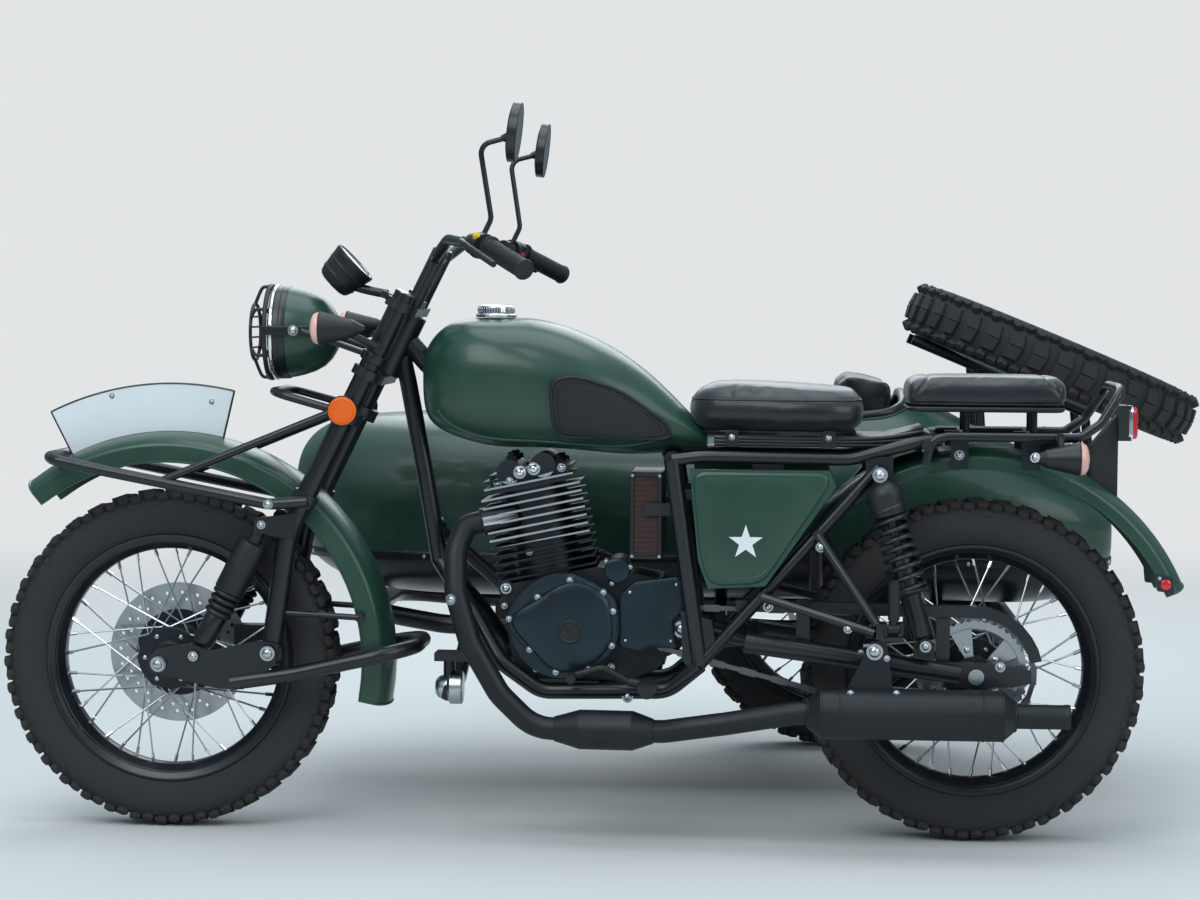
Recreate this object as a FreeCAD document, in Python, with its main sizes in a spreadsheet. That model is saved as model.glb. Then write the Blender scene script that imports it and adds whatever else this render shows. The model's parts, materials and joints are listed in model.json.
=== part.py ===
"""Sidecar motorcycle: a leading-link machine with a hollow one-seat sidecar on its right.

Millimetres. +X is forward, +Y is the rider's left, +Z is up. The origin is on the ground
under the rear axle. Every driving dimension is a cell of the sheet named Sizes.
"""
import FreeCAD, Part
import math
import os
import re
from FreeCAD import Placement, Rotation, Vector

doc = FreeCAD.newDocument("SidecarMotorcycle")

# The driving dimensions, in millimetres, degrees or counts

SIZES = {
    # Wheels and tyres
    "wheelbase": 1577, "tyre_radius": 335, "tyre_shoulder_width": 104, "tyre_width": 112,
    "tread_width": 82, "groove_depth": 11, "lug_count": 28, "shoulder_drop": 19,
    "belly_radius": 286, "bead_radius": 236, "bead_width": 68, "bead_fit": 0.3,
    "rim_well_radius": 219, "rim_well_width": 32, "rim_lip": 10, "rim_lip_width": 4,
    "hub_radius": 34, "hub_left": 50, "hub_right": 60, "flange_radius": 62,
    "flange_spread": 76, "flange_thickness": 5, "spoke_count": 36, "spoke_radius": 2,
    "spoke_lean": 62, "axle_radius": 10, "running_fit": 0.05, "seat_gap": 0.3,
    "disc_radius": 140, "rear_disc_radius": 110, "disc_thickness": 5, "disc_clearance": 6,
    "collar_radius": 16, "nut_radius": 15, "nut_height": 11,
    # Steering and fork
    "rake": 26, "trail": 19, "stem_radius": 13, "head_radius": 29, "head_low": 1004,
    "head_high": 1131, "yoke_gap": 1, "yoke_thickness": 18, "yoke_front": 42, "yoke_back": 16,
    "clamp_wall": 5,
    "fork_offset": 20, "fork_half_span": 100, "fork_radius": 20, "fork_top": 1166,
    "fork_knee": 647, "pivot_back": 214, "pivot_rise": 24, "link_thickness": 10,
    "link_tube_radius": 15, "link_loop_back": 494, "link_loop_rise": 34,
    "shock_foot_back": 68, "shock_foot_rise": 16, "shock_top_back": 198,
    "shock_top_rise": 272, "shock_radius": 30, "eye_radius": 15, "eye_width": 30,
    "guard_radius": 11, "guard_reach": 222,
    # Fenders
    "front_fender_gap": 110, "front_fender_width": 148, "front_fender_skirt": 55,
    "front_fender_start": 51, "front_fender_end": 191, "fender_wall": 3,
    "rear_fender_gap": 102, "rear_fender_width": 176, "rear_fender_skirt": 42,
    "rear_fender_start": 40, "rear_fender_end": 157, "side_fender_gap": 72,
    "side_fender_width": 176, "side_fender_skirt": 150, "side_fender_start": 12,
    "side_fender_end": 168, "fender_crown_drop": 26,
    # Lamps, dial, bars and mirrors
    "headlamp_radius": 94, "headlamp_along": 978, "headlamp_ahead": 228,
    "headlamp_depth": 128, "grille_depth": 44, "dial_radius": 47, "dial_depth": 66,
    "dial_lean": 43, "bar_radius": 11, "grip_radius": 17, "grip_length": 127,
    "bar_half_width": 445, "riser_spread": 50, "mirror_radius": 56,
    "mirror_thickness": 14, "stalk_radius": 5, "flasher_radius": 32,
    "flasher_length": 96, "flasher_side": 170,
    # Frame
    "frame_radius": 16, "rail_radius": 12, "frame_half_span": 120, "cradle_half_span": 100,
    "backbone_radius": 20, "down_radius": 17, "arm_pivot_x": 520, "arm_pivot_rise": 70,
    "arm_half_span": 125, "arm_radius": 20, "pivot_radius": 15, "rear_shock_half_span": 150,
    "rear_shock_radius": 36, "rear_shock_top_x": 188, "rear_shock_top_rise": 384,
    "rear_shock_foot_x": 99, "rear_shock_foot_rise": 54,
    # Drive
    "chain_y": 88, "chain_width": 15, "chain_height": 13, "chain_links": 54,
    "chain_waist": 4, "rear_sprocket_radius": 113, "front_sprocket_radius": 41,
    "sprocket_thickness": 6, "guard_skirt_y": 103, "drive_x": 590, "drive_rise": 80,
    "sprocket_clearance": 5,
    # Engine
    "crank_x": 773, "crank_rise": 113, "case_bottom": 138, "case_half_width": 76,
    "cover_radius": 100, "cover_depth": 40, "cylinder_lean": 12, "bore_wall_radius": 66,
    "fin_count": 11, "fin_pitch": 16, "fin_thickness": 4, "fin_length": 196,
    "fin_width": 148, "deck_rise": 66, "head_height": 62,
    # Exhaust
    "header_radius": 22, "collector_radius": 38, "muffler_radius": 48,
    "muffler_length": 388, "muffler_front_x": 320, "muffler_rise": -62, "muffler_y": 222,
    "tail_pipe_radius": 23, "tail_pipe_length": 102,
    # Tank, panels, seats
    "tank_half_width": 146, "tunnel_half_width": 26, "cap_radius": 40, "cap_height": 26,
    "pad_thickness": 10, "panel_inner_y": 112, "panel_depth": 28, "airbox_length": 60,
    "airbox_width": 200, "airbox_height": 166, "seat_height": 86, "seat_length": 350,
    "seat_half_width": 142, "seat_front_x": 566, "pillion_length": 322,
    "pillion_half_width": 118, "pillion_height": 50, "pillion_front_x": 145,
    "pillion_bottom_rise": 518, "tray_bottom_rise": 434,
    "tray_thickness": 22, "tray_half_width": 107, "tray_back_x": 104, "tray_length": 400,
    # Rear rack, lamps and pegs
    "rack_radius": 9, "rack_half_span": 142, "tail_lamp_width": 90,
    "tail_lamp_height": 68, "tail_lamp_depth": 24, "peg_radius": 11, "peg_length": 92,
    "peg_pivot_x": 161, "peg_pivot_rise": 98, "peg_pivot_y": 216, "peg_pin_radius": 4,
    "peg_eye_radius": 10, "peg_bridge_drop": 22, "fork_eye_gap": 1, "footrest_x": 623,
    "footrest_rise": -26,
    # Sidecar
    "side_track": 1150, "side_lead": 245, "tub_centre_y": 675, "tub_half_width": 322,
    "tub_wall": 5, "tub_seam_rise": 170, "tub_bottom_rise": 70, "cockpit_front": 900,
    "cockpit_back": 120,
    "cockpit_half_width": 235, "cockpit_corner": 60, "side_rail_radius": 20, "side_rail_rise": 24,
    "side_rail_left": 395, "side_rail_right": 945, "cross_size": 26,
    "side_arm_radius": 18, "side_shock_radius": 28, "side_shock_top_x": 230, "side_shock_top": 290,
    # Spare wheel
    "spare_x": -209, "spare_y": 700, "spare_rise": 582, "spare_tilt": 22.5,
}

sheet = doc.addObject("Spreadsheet::Sheet", "Sizes")
for row, (alias, value) in enumerate(SIZES.items(), start=1):
    sheet.set(f"A{row}", alias)
    sheet.set(f"B{row}", str(value))
    sheet.setAlias(f"B{row}", alias)
doc.recompute()


def size(alias):
    """Value of one cell of the sheet."""
    return float(sheet.get(alias))


def bound(text):
    """The same formula with each alias written as a cell of the sheet."""
    return re.sub(r"[a-z]\w*", lambda word: "Sizes." + word.group(0), text)


# Datum points: everything on the machine is placed from its axles and its steering axis

AXLE_HEIGHT = size("tyre_radius")
WHEELBASE = size("wheelbase")
RAKE = math.radians(size("rake"))
STEER_UP = Vector(-math.sin(RAKE), 0, math.cos(RAKE))
STEER_AHEAD = Vector(math.cos(RAKE), 0, math.sin(RAKE))
STEER_FOOT = Vector(WHEELBASE + size("trail"), 0, 0)
GAP = size("seat_gap")
SIDES = {"left": 1, "right": -1}


def rear(ahead, side, rise):
    """Point measured from the rear axle."""
    return Vector(ahead, side, AXLE_HEIGHT + rise)


def front(ahead, side, rise):
    """Point measured from the front axle."""
    return Vector(WHEELBASE + ahead, side, AXLE_HEIGHT + rise)


def steer(along, ahead, side=0):
    """Point measured up the steering axis from its foot on the ground, and ahead of it."""
    return STEER_FOOT + STEER_UP * along + STEER_AHEAD * ahead + Vector(0, side, 0)


def engine(ahead, side, rise):
    """Point measured from the crankshaft."""
    return rear(size("crank_x") + ahead, side, size("crank_rise") + rise)


def flipped(points):
    """The same points on the other side of the middle plane."""
    return [Vector(point.x, -point.y, point.z) for point in points]


# Shapes that no primitive gives: bars, bent tubes, plates, lofts and faceted tyres


def rod(start, end, radius):
    """Round bar from one point to the other."""
    run = end - start
    return Part.makeCylinder(radius, run.Length, start, run)


def spindle(start, end, profile):
    """Solid turned about a line, from (share of the length, radius) points."""
    run = end - start
    length = run.Length
    flat = [Vector(radius, 0, share * length) for share, radius in profile]
    flat = [Vector(0, 0, flat[0].z)] + flat + [Vector(0, 0, flat[-1].z)]
    turned = Part.Face(Part.makePolygon(flat + flat[:1])).revolve(
        Vector(0, 0, 0), Vector(0, 0, 1), 360)
    turned.Placement = Placement(start, Rotation(Vector(0, 0, 1), run))
    return turned


def pipe(start, end, outer, inner):
    """Round tube from one point to the other."""
    return rod(start, end, outer).cut(rod(start, end, inner))


def brick(centre, length, width, height, turn=0):
    """Box about its centre, turned about the Y direction."""
    box = Part.makeBox(length, width, height, Vector(-length / 2, -width / 2, -height / 2))
    box.Placement = Placement(centre, Rotation(Vector(0, 1, 0), turn)) * box.Placement
    return box


def rounded_path(points, bend):
    """Straight runs joined by tangent arcs, as large as bend and the runs allow."""
    edges = []
    start = points[0]
    for before, corner, after in zip(points, points[1:], points[2:]):
        come = corner - before
        leave = after - corner
        turn = come.getAngle(leave)
        if turn < 0.001:
            continue
        half_turn = math.tan(turn / 2)
        setback = min(bend * half_turn, 0.45 * come.Length, 0.45 * leave.Length)
        radius = setback / half_turn
        come.normalize()
        leave.normalize()
        inward = leave - come
        inward.normalize()
        centre = corner + inward * (radius / math.cos(turn / 2))
        arc_start = corner - come * setback
        arc_end = corner + leave * setback
        edges.append(Part.LineSegment(start, arc_start).toShape())
        edges.append(Part.Arc(arc_start, centre - inward * radius, arc_end).toShape())
        start = arc_end
    edges.append(Part.LineSegment(start, points[-1]).toShape())
    return Part.Wire(edges)


def bent_tube(points, radius, bend=60):
    """Round bar along straight runs with rounded corners."""
    if len(points) == 2:
        return rod(points[0], points[1], radius)
    ring = Part.Wire([Part.makeCircle(radius, points[0], points[1] - points[0])])
    return rounded_path(points, bend).makePipeShell([ring], True, False)


def plate(corners, low_y, high_y):
    """Flat plate whose outline lies in the side view."""
    outline = [Vector(corner.x, low_y, corner.z) for corner in corners]
    face = Part.Face(Part.makePolygon(outline + outline[:1]))
    return face.extrude(Vector(0, high_y - low_y, 0))


def fused(shapes):
    """One solid made of shapes that meet."""
    return shapes[0].multiFuse(shapes[1:])


def both_sides(shape):
    """A shape and its mirror image across the middle plane."""
    return [shape, shape.mirror(Vector(0, 0, 0), Vector(0, 1, 0))]


def oval(centre_y, centre_z, half_width, up, down, fullness, x):
    """Closed smooth outline across the machine, fuller than an ellipse."""
    points = []
    count = 20
    for step in range(count):
        angle = 2 * math.pi * step / count
        across = math.copysign(abs(math.cos(angle)) ** (2 / fullness), math.cos(angle))
        rise = math.copysign(abs(math.sin(angle)) ** (2 / fullness), math.sin(angle))
        height = up if rise > 0 else down
        points.append(Vector(x, centre_y + half_width * across, centre_z + height * rise))
    curve = Part.BSplineCurve()
    curve.interpolate(Points=points, PeriodicFlag=True)
    return Part.Wire([curve.toShape()])


# Objects of the document


def feature(label, shape):
    """Sub-part whose shape comes from the functions above."""
    item = doc.addObject("Part::Feature", label)
    item.Shape = shape
    item.Label = label
    return item


def primitive(kind, label, placement, **formulas):
    """Part primitive whose sizes are bound to the sheet."""
    item = doc.addObject(kind, label)
    for name, formula in formulas.items():
        item.setExpression(name, bound(formula))
    item.Placement = placement
    return item


def cylinder(label, start, direction, radius, height):
    """Cylinder that starts at a point and runs along a direction."""
    turn = Rotation(Vector(0, 0, 1), direction)
    return primitive("Part::Cylinder", label, Placement(start, turn),
                     Radius=radius, Height=height)


def combined(kind, label, parts):
    """Boolean or compound of several document objects."""
    item = doc.addObject(kind, label)
    if kind == "Part::Compound":
        item.Links = parts
    else:
        item.Shapes = parts
    item.Label = label
    return item


def origin_plane(body, role):
    """One of the three planes of a body."""
    return next(item for item in body.Origin.OriginFeatures if item.Role == role)


def sketched_body(label, role, curves, offset=Vector(0, 0, 0)):
    """Body with one sketch of closed curves on one of its planes."""
    body = doc.addObject("PartDesign::Body", label)
    body.Label = label
    sketch = body.newObject("Sketcher::SketchObject", label + "_outline")
    sketch.AttachmentSupport = [(origin_plane(body, role), "")]
    sketch.MapMode = "FlatFace"
    sketch.AttachmentOffset = Placement(offset, Rotation())
    sketch.addGeometry(curves, False)
    return body, sketch


def closed_lines(corners):
    """Straight edges around flat corners."""
    flat = [Vector(across, rise, 0) for across, rise in corners]
    return [Part.LineSegment(a, b) for a, b in zip(flat, flat[1:] + flat[:1])]


def revolved(label, profile, placement, angle=360):
    """Body turned about its own Y axis from a profile of (radius, y) points."""
    body, sketch = sketched_body(label, "XY_Plane", closed_lines(profile))
    turn = body.newObject("PartDesign::Revolution", label + "_turn")
    turn.Profile = sketch
    turn.ReferenceAxis = (sketch, ["V_Axis"])
    turn.Angle = angle
    body.Placement = placement
    return body


def padded(label, corners, thickness, low_y, centre):
    """Body with a side-view outline about a centre, padded across the machine."""
    body, sketch = sketched_body(label, "XZ_Plane", closed_lines(corners))
    pad = body.newObject("PartDesign::Pad", label + "_pad")
    pad.Profile = sketch
    pad.setExpression("Length", bound(thickness))
    pad.Reversed = True
    body.Placement = Placement(centre + Vector(0, low_y, 0), Rotation())
    return body


def axle_frame(centre):
    """Placement of a piece that turns about the Y direction through a point."""
    return Placement(centre, Rotation())


# Wheels


def tyre_shape():
    """Tyre with blocks around its tread, standing on the flat face of one block."""
    sectors = 2 * int(size("lug_count"))
    step = 2 * math.pi / sectors
    stretch = 1 / math.cos(step / 2)
    bead = (size("bead_radius") + size("bead_fit"), size("bead_width") / 2 - size("bead_fit"))
    belly = (size("belly_radius"), size("tyre_width") / 2)
    top = size("tyre_radius")
    shoulder = (top - size("shoulder_drop"), size("tyre_shoulder_width") / 2)
    lug = (top, size("tread_width") / 2)
    groove = (top - size("groove_depth"), size("tread_width") / 2 + size("groove_depth") / 2)

    def ring(profile, index):
        angle = -math.pi / 2 + (index - 0.5) * step
        mirrored = [(radius, -y) for radius, y in reversed(profile)]
        return [Vector(radius * stretch * math.cos(angle), y, radius * stretch * math.sin(angle))
                for radius, y in profile + mirrored]

    faces = []
    for index in range(sectors):
        tip = lug if index % 2 == 0 else groove
        profile = [bead, belly, shoulder, tip]
        here = ring(profile, index)
        ahead = ring(profile, index + 1)
        for corner in range(len(here)):
            after = (corner + 1) % len(here)
            quad = [here[corner], here[after], ahead[after], ahead[corner], here[corner]]
            faces.append(Part.Face(Part.makePolygon(quad)))
        wall = ring([shoulder, lug], index + 1) + list(reversed(ring([groove], index + 1)))
        faces.append(Part.Face(Part.makePolygon(wall + wall[:1])))
    shell = Part.makeShell(faces)
    shell.sewShape()
    solid = Part.makeSolid(shell)
    if solid.Volume < 0:
        solid.reverse()
    return solid


def rim_profile():
    """Section of the rim as (radius, y) points."""
    seat = size("bead_radius")
    half = size("bead_width") / 2
    lip = size("rim_lip")
    belly_slope = (size("tyre_width") / 2 - half) / (size("belly_radius") - seat)
    flare = half + lip * belly_slope
    well = size("rim_well_radius")
    well_half = size("rim_well_width") / 2
    left = [(seat, half), (seat + lip, flare), (seat + lip, flare + size("rim_lip_width")),
            (seat - 6, half + size("rim_lip_width")), (well, well_half)]
    right = [(radius, -y) for radius, y in reversed(left)]
    return left + right


def spokes_shape():
    """Crossed wire spokes between the hub flanges and the rim."""
    count = int(size("spoke_count"))
    radius = size("spoke_radius")
    root = size("flange_radius") - 2 * size("flange_thickness") / 2
    tip = size("rim_well_radius") + 4
    side = size("flange_spread") / 2
    spokes = []
    for index in range(count):
        turn = 360 * index / count
        flange = side if index % 2 == 0 else -side
        lean = size("spoke_lean") if index // 2 % 2 == 0 else -size("spoke_lean")
        hub_angle = math.radians(turn + lean)
        rim_angle = math.radians(turn)
        start = Vector(root * math.cos(hub_angle), flange, root * math.sin(hub_angle))
        end = Vector(tip * math.cos(rim_angle), flange / 6, tip * math.sin(rim_angle))
        spokes.append(rod(start, end, radius))
    return spokes


def hub_profile(left, right):
    """Section of the hub as (radius, y) points, bored for its axle."""
    bore = size("axle_radius") + size("running_fit")
    barrel = size("hub_radius")
    flange = size("flange_radius")
    thick = size("flange_thickness") / 2
    side = size("flange_spread") / 2
    return [(bore, -right), (barrel, -right), (barrel, -side - thick), (flange, -side - thick),
            (flange, -side + thick), (barrel, -side + thick), (barrel, side - thick),
            (flange, side - thick), (flange, side + thick), (barrel, side + thick),
            (barrel, left), (bore, left)]


def wheel(label, centre, left, right, plates):
    """Wire wheel with its hub and the discs that turn with it."""
    rim = revolved(label + "_rim", rim_profile(), axle_frame(Vector(0, 0, 0)))
    hub = revolved(label + "_hub", hub_profile(left, right), axle_frame(Vector(0, 0, 0)))
    spokes = feature(label + "_spokes", Part.makeCompound(spokes_shape()))
    whole = doc.addObject("Part::MultiFuse", label)
    whole.Shapes = [rim, hub] + plates + [spokes]
    whole.Label = label
    whole.Placement = axle_frame(centre)
    return whole


def ring_plate(label, outer, inner, low_y, thickness):
    """Flat ring that turns with a wheel."""
    profile = [(inner, low_y), (outer, low_y), (outer, low_y + thickness),
               (inner, low_y + thickness)]
    return revolved(label, profile, axle_frame(Vector(0, 0, 0)))


def tyre(label, placement):
    """Tyre at its place."""
    item = feature(label, tyre_shape())
    item.Placement = placement
    return item


FRONT_AXLE = front(0, 0, 0)
REAR_AXLE = rear(0, 0, 0)
SIDE_AXLE = rear(size("side_lead"), -size("side_track"), 0)
SPARE_PLACE = Placement(
    rear(size("spare_x"), -size("spare_y"), size("spare_rise")),
    Rotation(Vector(0, 1, 0), -size("spare_tilt")) * Rotation(Vector(1, 0, 0), 90))
HUB_BORE = size("axle_radius") + size("running_fit")
DISC_INSIDE = size("hub_right") - size("disc_thickness")
SPROCKET_LEFT = size("chain_y") - size("sprocket_thickness") / 2
SPROCKET_EDGE = (size("rear_sprocket_radius") - size("chain_height") / 2
                 - size("sprocket_clearance"))

front_disc = ring_plate("front_disc", size("disc_radius"), HUB_BORE + GAP,
                        -size("hub_right"), size("disc_thickness"))
front_wheel = wheel("front_wheel", FRONT_AXLE, size("hub_left"), size("hub_right"), [front_disc])
rear_disc = ring_plate("rear_disc", size("rear_disc_radius"), HUB_BORE + GAP, -size("hub_right"),
                       size("disc_thickness"))
sprocket = ring_plate("rear_sprocket", SPROCKET_EDGE, HUB_BORE + GAP, SPROCKET_LEFT,
                      size("sprocket_thickness"))
rear_wheel = wheel("rear_wheel", REAR_AXLE, SPROCKET_LEFT + size("sprocket_thickness"),
                   size("hub_right"), [rear_disc, sprocket])
side_disc = ring_plate("side_disc", size("rear_disc_radius"), HUB_BORE + GAP, DISC_INSIDE, size("disc_thickness"))
sidecar_wheel = wheel("sidecar_wheel", SIDE_AXLE, size("hub_right"), size("hub_left"),
                      [side_disc])
spare_wheel = wheel("spare_wheel", Vector(0, 0, 0), size("hub_left"), size("hub_left"), [])
spare_wheel.Placement = SPARE_PLACE

tyre("front_tyre", axle_frame(FRONT_AXLE))
tyre("rear_tyre", axle_frame(REAR_AXLE))
tyre("sidecar_tyre", axle_frame(SIDE_AXLE))
tyre("spare_tyre", SPARE_PLACE)


# Fork: yokes, tubes, leading link, axle and guard

FORK_Y = size("fork_half_span")
FORK_OUTER = FORK_Y + size("fork_radius")
LINK_INNER = FORK_OUTER + GAP
LINK_OUTER = LINK_INNER + size("link_thickness")
PIVOT = (-size("pivot_back"), size("pivot_rise"))


def yoke(along):
    """Clamp plate between the fork tubes, square to the steering axis."""
    ahead = size("yoke_front")
    back = size("yoke_back")
    thick = size("yoke_thickness")
    centre = steer(along + thick / 2, (ahead - back) / 2)
    bar = brick(centre, ahead + back, 2 * FORK_Y, thick, -size("rake"))
    eyes = [rod(steer(along, size("fork_offset"), side * FORK_Y),
                steer(along + thick, size("fork_offset"), side * FORK_Y),
                size("fork_radius") + 8) for side in SIDES.values()]
    return [bar] + eyes


def fork_side(side):
    """One fork tube from the top yoke to the link pivot, with its boss and shock lug."""
    y = side * FORK_Y
    top = steer(size("fork_top"), size("fork_offset"), y)
    knee = steer(size("fork_knee"), size("fork_offset"), y)
    foot = front(PIVOT[0], y, PIVOT[1])
    tube = bent_tube([top, knee, foot], size("fork_radius"), 260)
    boss_inner = y - side * size("fork_radius")
    boss = rod(Vector(foot.x, boss_inner, foot.z), Vector(foot.x, side * FORK_OUTER, foot.z), 24)
    lug_low = size("eye_width") / 2 + GAP
    shock = front(-size("shock_top_back"), 0, size("shock_top_rise"))
    corners = [shock + Vector(14, 0, -14), shock + Vector(14, 0, 14),
               shock + Vector(-70, 0, 22), shock + Vector(-62, 0, -30)]
    lug = plate(corners, y + side * lug_low, y + side * (lug_low + 6))
    fender_face = size("front_fender_width") / 2 + GAP
    upper = steer(688, size("fork_offset"))
    stay_end = front(-386, 0, 92)
    stays = [rod(Vector(upper.x, side * fender_face, upper.z), Vector(upper.x, y, upper.z), 12),
             rod(front(-228, y, 100), Vector(stay_end.x, y, stay_end.z), 6),
             rod(Vector(stay_end.x, side * fender_face, stay_end.z),
                 Vector(stay_end.x, y, stay_end.z), 9)]
    return [tube, boss, lug] + stays


LOW_YOKE = size("head_low") - size("yoke_gap") - size("yoke_thickness")
HIGH_YOKE = size("head_high") + size("yoke_gap")
stem = rod(steer(LOW_YOKE, 0), steer(HIGH_YOKE + size("yoke_thickness") + 12, 0),
           size("stem_radius"))
fork_shapes = [stem] + yoke(LOW_YOKE) + yoke(HIGH_YOKE) + fork_side(1) + fork_side(-1)
feature("fork_frame", fused(fork_shapes))


def link_side(side):
    """Side plate of the leading link, from the axle to the fork pivot."""
    axle = front(0, 0, 0)
    pivot = front(PIVOT[0], 0, PIVOT[1])
    corners = [axle + Vector(24, 0, 6), axle + Vector(8, 0, 26), axle + Vector(-60, 0, 40),
               axle + Vector(-100, 0, 26), pivot + Vector(16, 0, 24), pivot + Vector(-20, 0, 16),
               pivot + Vector(-14, 0, -22), axle + Vector(-165, 0, -48),
               axle + Vector(-120, 0, -48), axle + Vector(-20, 0, -26), axle + Vector(16, 0, -18)]
    low, high = sorted([side * LINK_INNER, side * LINK_OUTER])
    sheet_metal = plate(corners, low, high)
    foot = front(-size("shock_foot_back"), 0, size("shock_foot_rise"))
    pin_inner = side * (FORK_Y + size("eye_width") / 2 + GAP)
    pin = rod(Vector(foot.x, pin_inner, foot.z), Vector(foot.x, side * (LINK_OUTER + 8), foot.z), 9)
    bolt = rod(Vector(pivot.x, side * LINK_INNER, pivot.z),
               Vector(pivot.x, side * (LINK_OUTER + 10), pivot.z), 14)
    return [sheet_metal, pin, bolt]


def link_loop():
    """Tube that joins the two side plates behind the wheel."""
    y = LINK_INNER + size("link_thickness") / 2
    back = -size("link_loop_back")
    rise = size("link_loop_rise")
    half = [front(-140, y, -36), front(-264, y, -17), front(back + 60, y, rise - 12),
            front(back, y - 50, rise)]
    return bent_tube(half + list(reversed(flipped(half))), size("link_tube_radius"), 90)


def caliper(axle, ahead, rise, disc_y, disc_radius):
    """Brake caliper astride a disc, open where the disc runs."""
    opening = size("disc_thickness") / 2 + size("disc_clearance")
    outward = math.copysign(5, disc_y)
    block = brick(axle + Vector(ahead, disc_y + outward, rise), 74, 2 * opening + 20, 56)
    edge = Vector(0, disc_y, 0)
    half = Vector(0, opening, 0)
    slot = rod(axle + edge - half, axle + edge + half, disc_radius + size("disc_clearance"))
    return block.cut(slot)


DISC_Y = size("hub_right") - size("disc_thickness") / 2
axle_hole = rod(front(0, -LINK_OUTER - 5, 0), front(0, LINK_OUTER + 5, 0),
                size("axle_radius") + size("running_fit"))
front_caliper = caliper(FRONT_AXLE, -150, 30, -DISC_Y, size("disc_radius"))
front_bridge = brick(front(-158, -(DISC_Y + 20 + LINK_OUTER) / 2, 15), 34,
                     LINK_OUTER - DISC_Y - 20, 18)
link_shapes = link_side(1) + link_side(-1) + [link_loop(), front_caliper, front_bridge]
feature("fork_link", fused(link_shapes).cut(axle_hole))


def axle_shape(centre, left, right, left_hub, right_hub, left_face, right_face):
    """Axle with a collar on each side of the hub and a nut outside each arm."""
    along = Vector(0, 1, 0)
    play = size("yoke_gap")
    nut = size("nut_height")
    collar = size("collar_radius")
    shaft = rod(centre - along * (right_face + nut + 4), centre + along * (left_face + nut + 4),
                size("axle_radius"))
    collars = [rod(centre + along * (left_hub + play), centre + along * left, collar),
               rod(centre - along * (right_hub + play), centre - along * right, collar)]
    nuts = [rod(centre + along * (left_face + GAP), centre + along * (left_face + nut),
                size("nut_radius")),
            rod(centre - along * (right_face + GAP), centre - along * (right_face + nut),
                size("nut_radius"))]
    return fused([shaft] + collars + nuts)


feature("front_axle", axle_shape(FRONT_AXLE, LINK_INNER - GAP, LINK_INNER - GAP,
                                 size("hub_left"), size("hub_right"), LINK_OUTER, LINK_OUTER))


def bellows(start, end, radius, folds, core):
    """Ribbed rubber sleeve around a damper, with plain ends and eyes across."""
    run = end - start
    length = run.Length
    pitch = length * 0.62 / folds
    foot = length * 0.2
    profile = [(24 / length, core), (foot / length, core)]
    for fold in range(folds):
        base = foot + fold * pitch
        profile += [((base + pitch * 0.25) / length, radius),
                    ((base + pitch * 0.6) / length, radius),
                    ((base + pitch) / length, core + 3)]
    profile += [(1 - 20 / length, core)]
    return spindle(start, end, profile)


def shock(start, end, radius, folds):
    """Spring damper under its ribbed sleeve, with an eye at each end."""
    half = Vector(0, size("eye_width") / 2, 0)
    eye = size("eye_radius")
    run = end - start
    rod_ends = [rod(start, start + run * 0.12, 9), rod(end - run * 0.12, end, 9)]
    eyes = [rod(point - half, point + half, eye) for point in (start, end)]
    return fused([bellows(start, end, radius, folds, 16)] + rod_ends + eyes)


front_shock = shock(front(-size("shock_foot_back"), FORK_Y, size("shock_foot_rise")),
                    front(-size("shock_top_back"), FORK_Y, size("shock_top_rise")),
                    size("shock_radius"), 7)
feature("front_shocks", Part.makeCompound(both_sides(front_shock)))


def guard_shape():
    """Tube guard over the front fender, with its struts and its small top hoop."""
    radius = size("guard_radius")
    y = FORK_OUTER + GAP + radius
    reach = size("guard_reach")
    crown = size("tyre_radius") + size("front_fender_gap") + radius + GAP
    rise = math.sqrt(crown ** 2 - reach ** 2)
    side = [front(-290, y, 319), front(-215, y, 313), front(123, y, 377),
            front(reach - 14, y, rise - 4), front(reach, y - 24, rise)]
    hoop = bent_tube(side + list(reversed(flipped(side))), radius, 70)
    offset = size("fork_offset")
    strut_foot = front(-1, y, 354)
    strut_head = steer(905, offset + 18, FORK_Y + 20)
    struts = [rod(strut_foot, strut_head, 8),
              rod(flipped([strut_foot])[0], flipped([strut_head])[0], 8)]
    top = [strut_head, front(-215, y - 20, 530), front(-215, 20 - y, 530),
           flipped([strut_head])[0]]
    top_hoop = bent_tube(top, 8, 40)
    inner = size("fork_radius") + GAP
    outer = inner + size("clamp_wall")
    clamps = []
    bores = []
    for side_sign in SIDES.values():
        across = side_sign * FORK_Y
        for low, high, wall in ((893, 917, outer + 8), (708, 734, outer)):
            clamps.append(rod(steer(low, offset, across), steer(high, offset, across), wall))
            bores.append(rod(steer(low - 10, offset, across), steer(high + 10, offset, across),
                             inner))
    return fused([hoop] + struts + [top_hoop] + clamps).cut(bores)


feature("fork_guard", guard_shape())


# Fenders


def fender(label, centre, radius, width, skirt, start_angle, end_angle):
    """Arched mudguard turned about an axle between two angles from straight ahead."""
    half = width / 2
    drop = size("fender_crown_drop")
    wall = size("fender_wall")
    outer = [(radius, 0), (radius - drop * 0.3, half * 0.62), (radius - drop, half),
             (radius - skirt, half)]
    inner = [(radius - skirt, half - wall), (radius - drop - wall * 0.3, half - wall),
             (radius - drop * 0.3 - wall, half * 0.62 - wall * 0.3), (radius - wall, 0)]
    right = [(across, -y) for across, y in reversed(outer[1:])]
    right_inner = [(across, -y) for across, y in reversed(inner[:-1])]
    profile = outer + inner + right_inner + right
    place = Placement(centre, Rotation(Vector(0, 1, 0), -start_angle))
    body = revolved(label, profile, place, end_angle - start_angle)
    body.Group[-1].Reversed = True
    return body


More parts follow.
